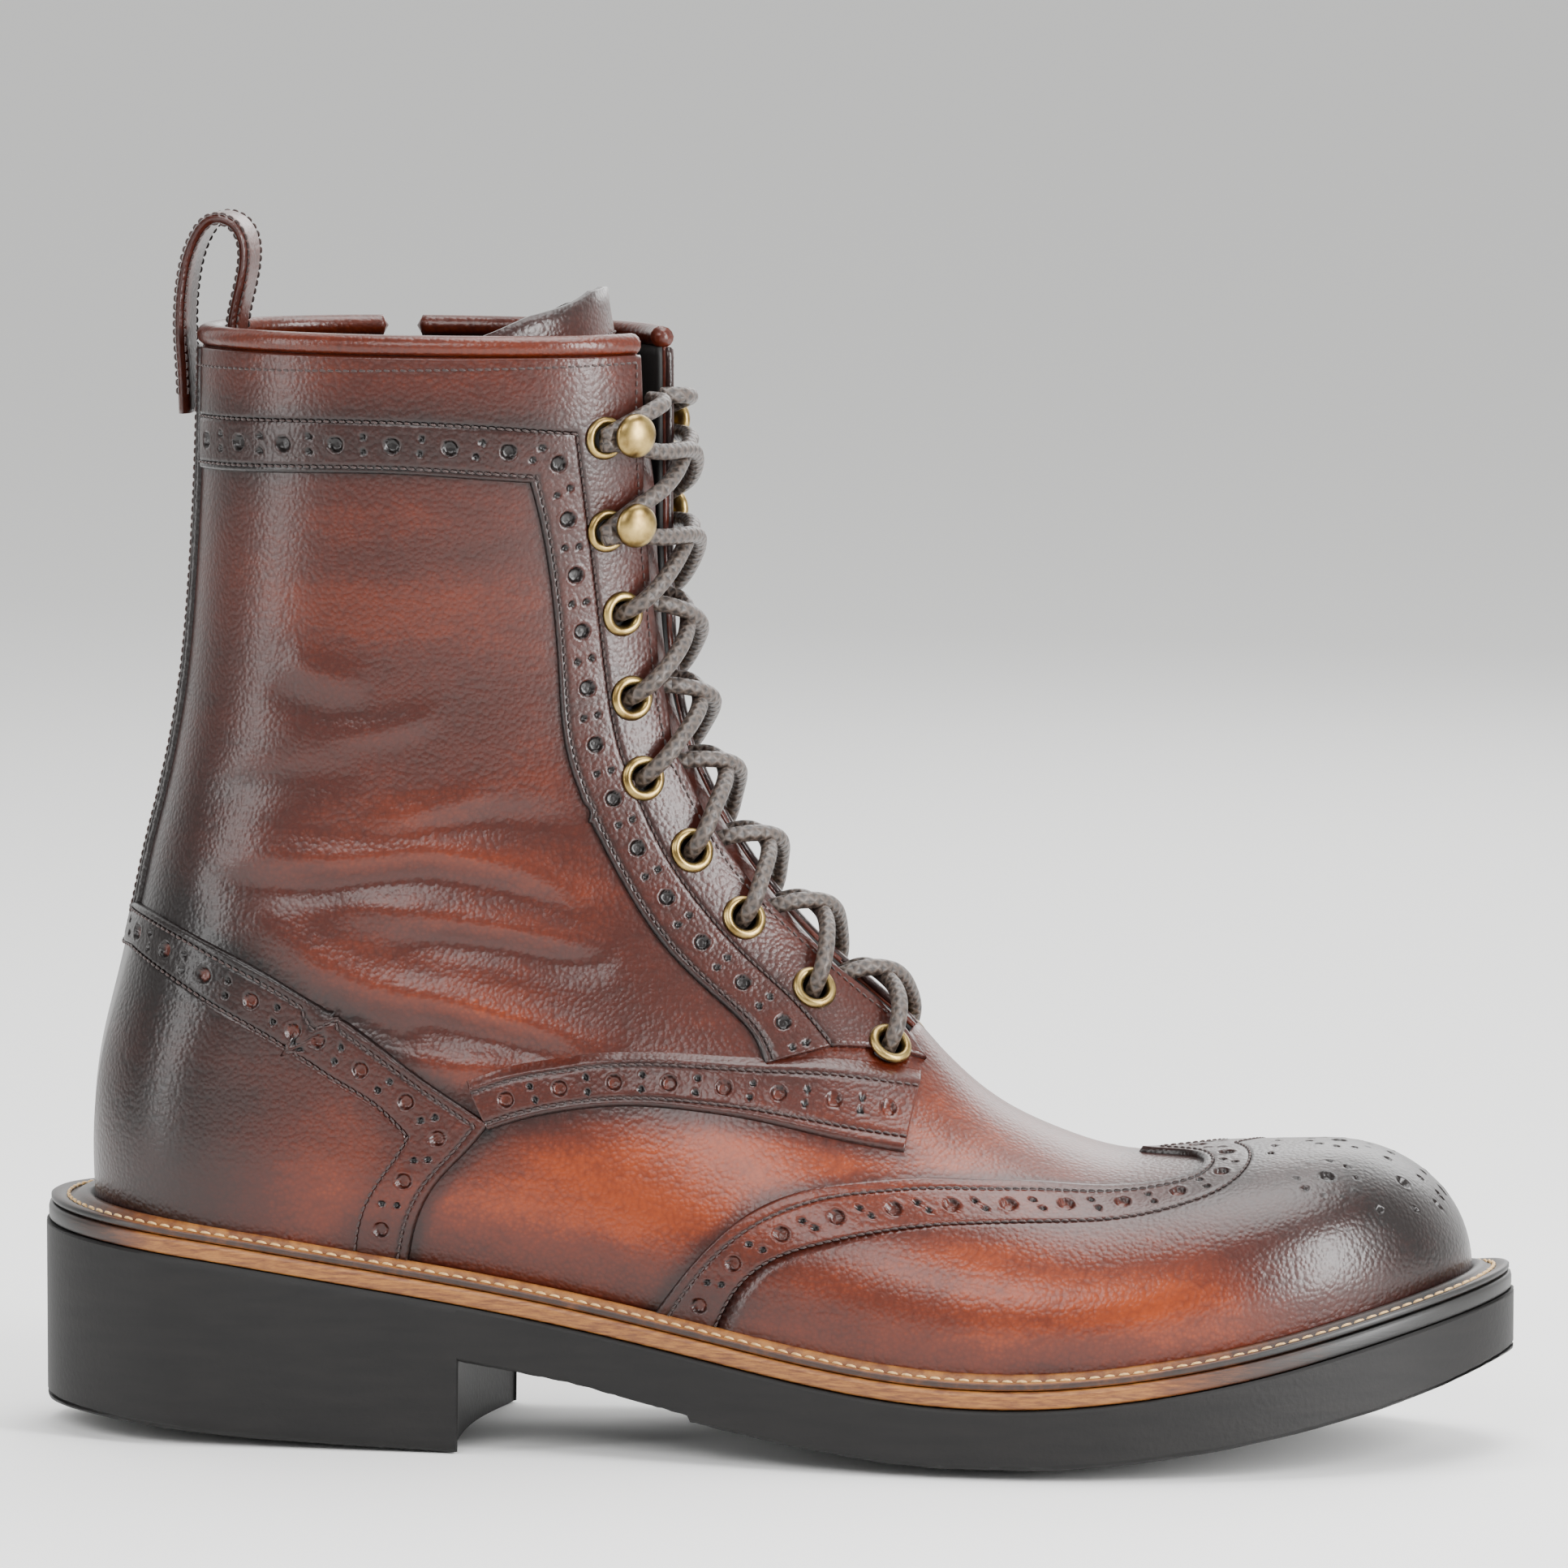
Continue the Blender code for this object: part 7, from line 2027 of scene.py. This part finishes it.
# Columns: name, place, size, power.
LIGHTS = (
    ("key box", (-0.25, -1.35, 1.05), (0.9, 0.7), 17.0),
    ("front strip", (1.15, -0.62, 0.50), (0.26, 1.1), 40.0),
    ("rear strip", (-1.05, -0.62, 0.50), (0.2, 1.0), 8.0),
    ("top box", (0.15, 0.10, 1.30), (1.0, 0.7), 19.0),
    ("far box", (0.3, 1.3, 0.8), (0.9, 0.7), 8.0),
)
LIGHT_AIM = (0.0, 0.0, 0.11)
FLOOR_RADIUS = 16.0
BACKDROP_STRENGTH = 2.1
ROOM_STRENGTH = 0.30


class BOOT_OT_stage(bpy.types.Operator):
    """Build the camera, the lights and the floor"""

    bl_idname = "boot.stage"
    bl_label = "Stage"

    def execute(self, context):
        scene = context.scene
        colours = scene.boot_colours
        world = bpy.data.worlds.new("studio")
        world.use_nodes = True
        tree = world.node_tree
        backdrop = tree.nodes["Background"]
        backdrop.inputs["Color"].default_value = (*colours.floor, 1)
        spot = add_node(tree, "ShaderNodeTexCoord").outputs["Generated"]
        depth = add_node(tree, "ShaderNodeSeparateXYZ", {0: spot}).outputs[1]
        limits = {0: depth, 1: -0.1, 2: 0.75, 3: ROOM_STRENGTH, 4: BACKDROP_STRENGTH}
        strength = add_node(tree, "ShaderNodeMapRange", limits, interpolation_type="SMOOTHSTEP")
        tree.links.new(strength.outputs[0], backdrop.inputs["Strength"])
        scene.world = world
        target = np.array(CAMERA_TARGET)
        azimuth, elevation = math.radians(CAMERA_AZIMUTH), math.radians(CAMERA_ELEVATION)
        away = np.array([math.sin(azimuth) * math.cos(elevation), -math.cos(azimuth) * math.cos(elevation),
                         math.sin(elevation)])
        camera = bpy.data.cameras.new("camera")
        camera.lens = CAMERA_LENS
        camera.sensor_width = 36.0
        camera.clip_end = 100.0
        stand = bpy.data.objects.new("camera", camera)
        stand.location = target + away * CAMERA_DISTANCE
        stand.rotation_euler = Vector(-away).to_track_quat("-Z", "Y").to_euler()
        scene.collection.objects.link(stand)
        scene.camera = stand
        for name, spot, size, power in LIGHTS:
            lamp = bpy.data.lights.new(name, "AREA")
            lamp.shape = "RECTANGLE"
            lamp.size, lamp.size_y = size
            lamp.energy = power
            holder = bpy.data.objects.new(name, lamp)
            holder.location = spot
            aim = Vector(LIGHT_AIM) - Vector(spot)
            holder.rotation_euler = aim.to_track_quat("-Z", "Y").to_euler()
            scene.collection.objects.link(holder)
        ring = np.linspace(0, 2 * math.pi, 65)[:-1]
        points = np.stack([FLOOR_RADIUS * np.cos(ring), FLOOR_RADIUS * np.sin(ring), np.zeros(64)], axis=1)
        floor = add_mesh("floor", points, [np.arange(64)[None, :]], studio_floor(colours))
        return {"FINISHED"}


class BOOT_PT_panel(bpy.types.Panel):
    bl_idname = "BOOT_PT_panel"
    bl_label = "Brogue Ankle Boot"
    bl_space_type = "VIEW_3D"
    bl_region_type = "UI"
    bl_category = "Boot"

    def draw(self, context):
        for operator in OPERATORS:
            self.layout.operator(operator.bl_idname)
        for group in (context.scene.boot_sizes, context.scene.boot_colours):
            for name in group.__annotations__:
                self.layout.prop(group, name)


OPERATORS = (BOOT_OT_stage, BOOT_OT_sole, BOOT_OT_upper, BOOT_OT_panels, BOOT_OT_collar, BOOT_OT_metal,
             BOOT_OT_laces, BOOT_OT_zip)
CLASSES = (BootColours, BootSizes, *OPERATORS, BOOT_PT_panel)


def register():
    for each in CLASSES:
        bpy.utils.register_class(each)
    bpy.types.Scene.boot_colours = bpy.props.PointerProperty(type=BootColours)
    bpy.types.Scene.boot_sizes = bpy.props.PointerProperty(type=BootSizes)


def unregister():
    del bpy.types.Scene.boot_sizes
    del bpy.types.Scene.boot_colours
    for each in reversed(CLASSES):
        bpy.utils.unregister_class(each)


def main():
    """Builds every piece in order."""
    register()
    for operator in OPERATORS:
        group, name = operator.bl_idname.split(".")
        getattr(getattr(bpy.ops, group), name)()


if __name__ == "__main__":
    main()
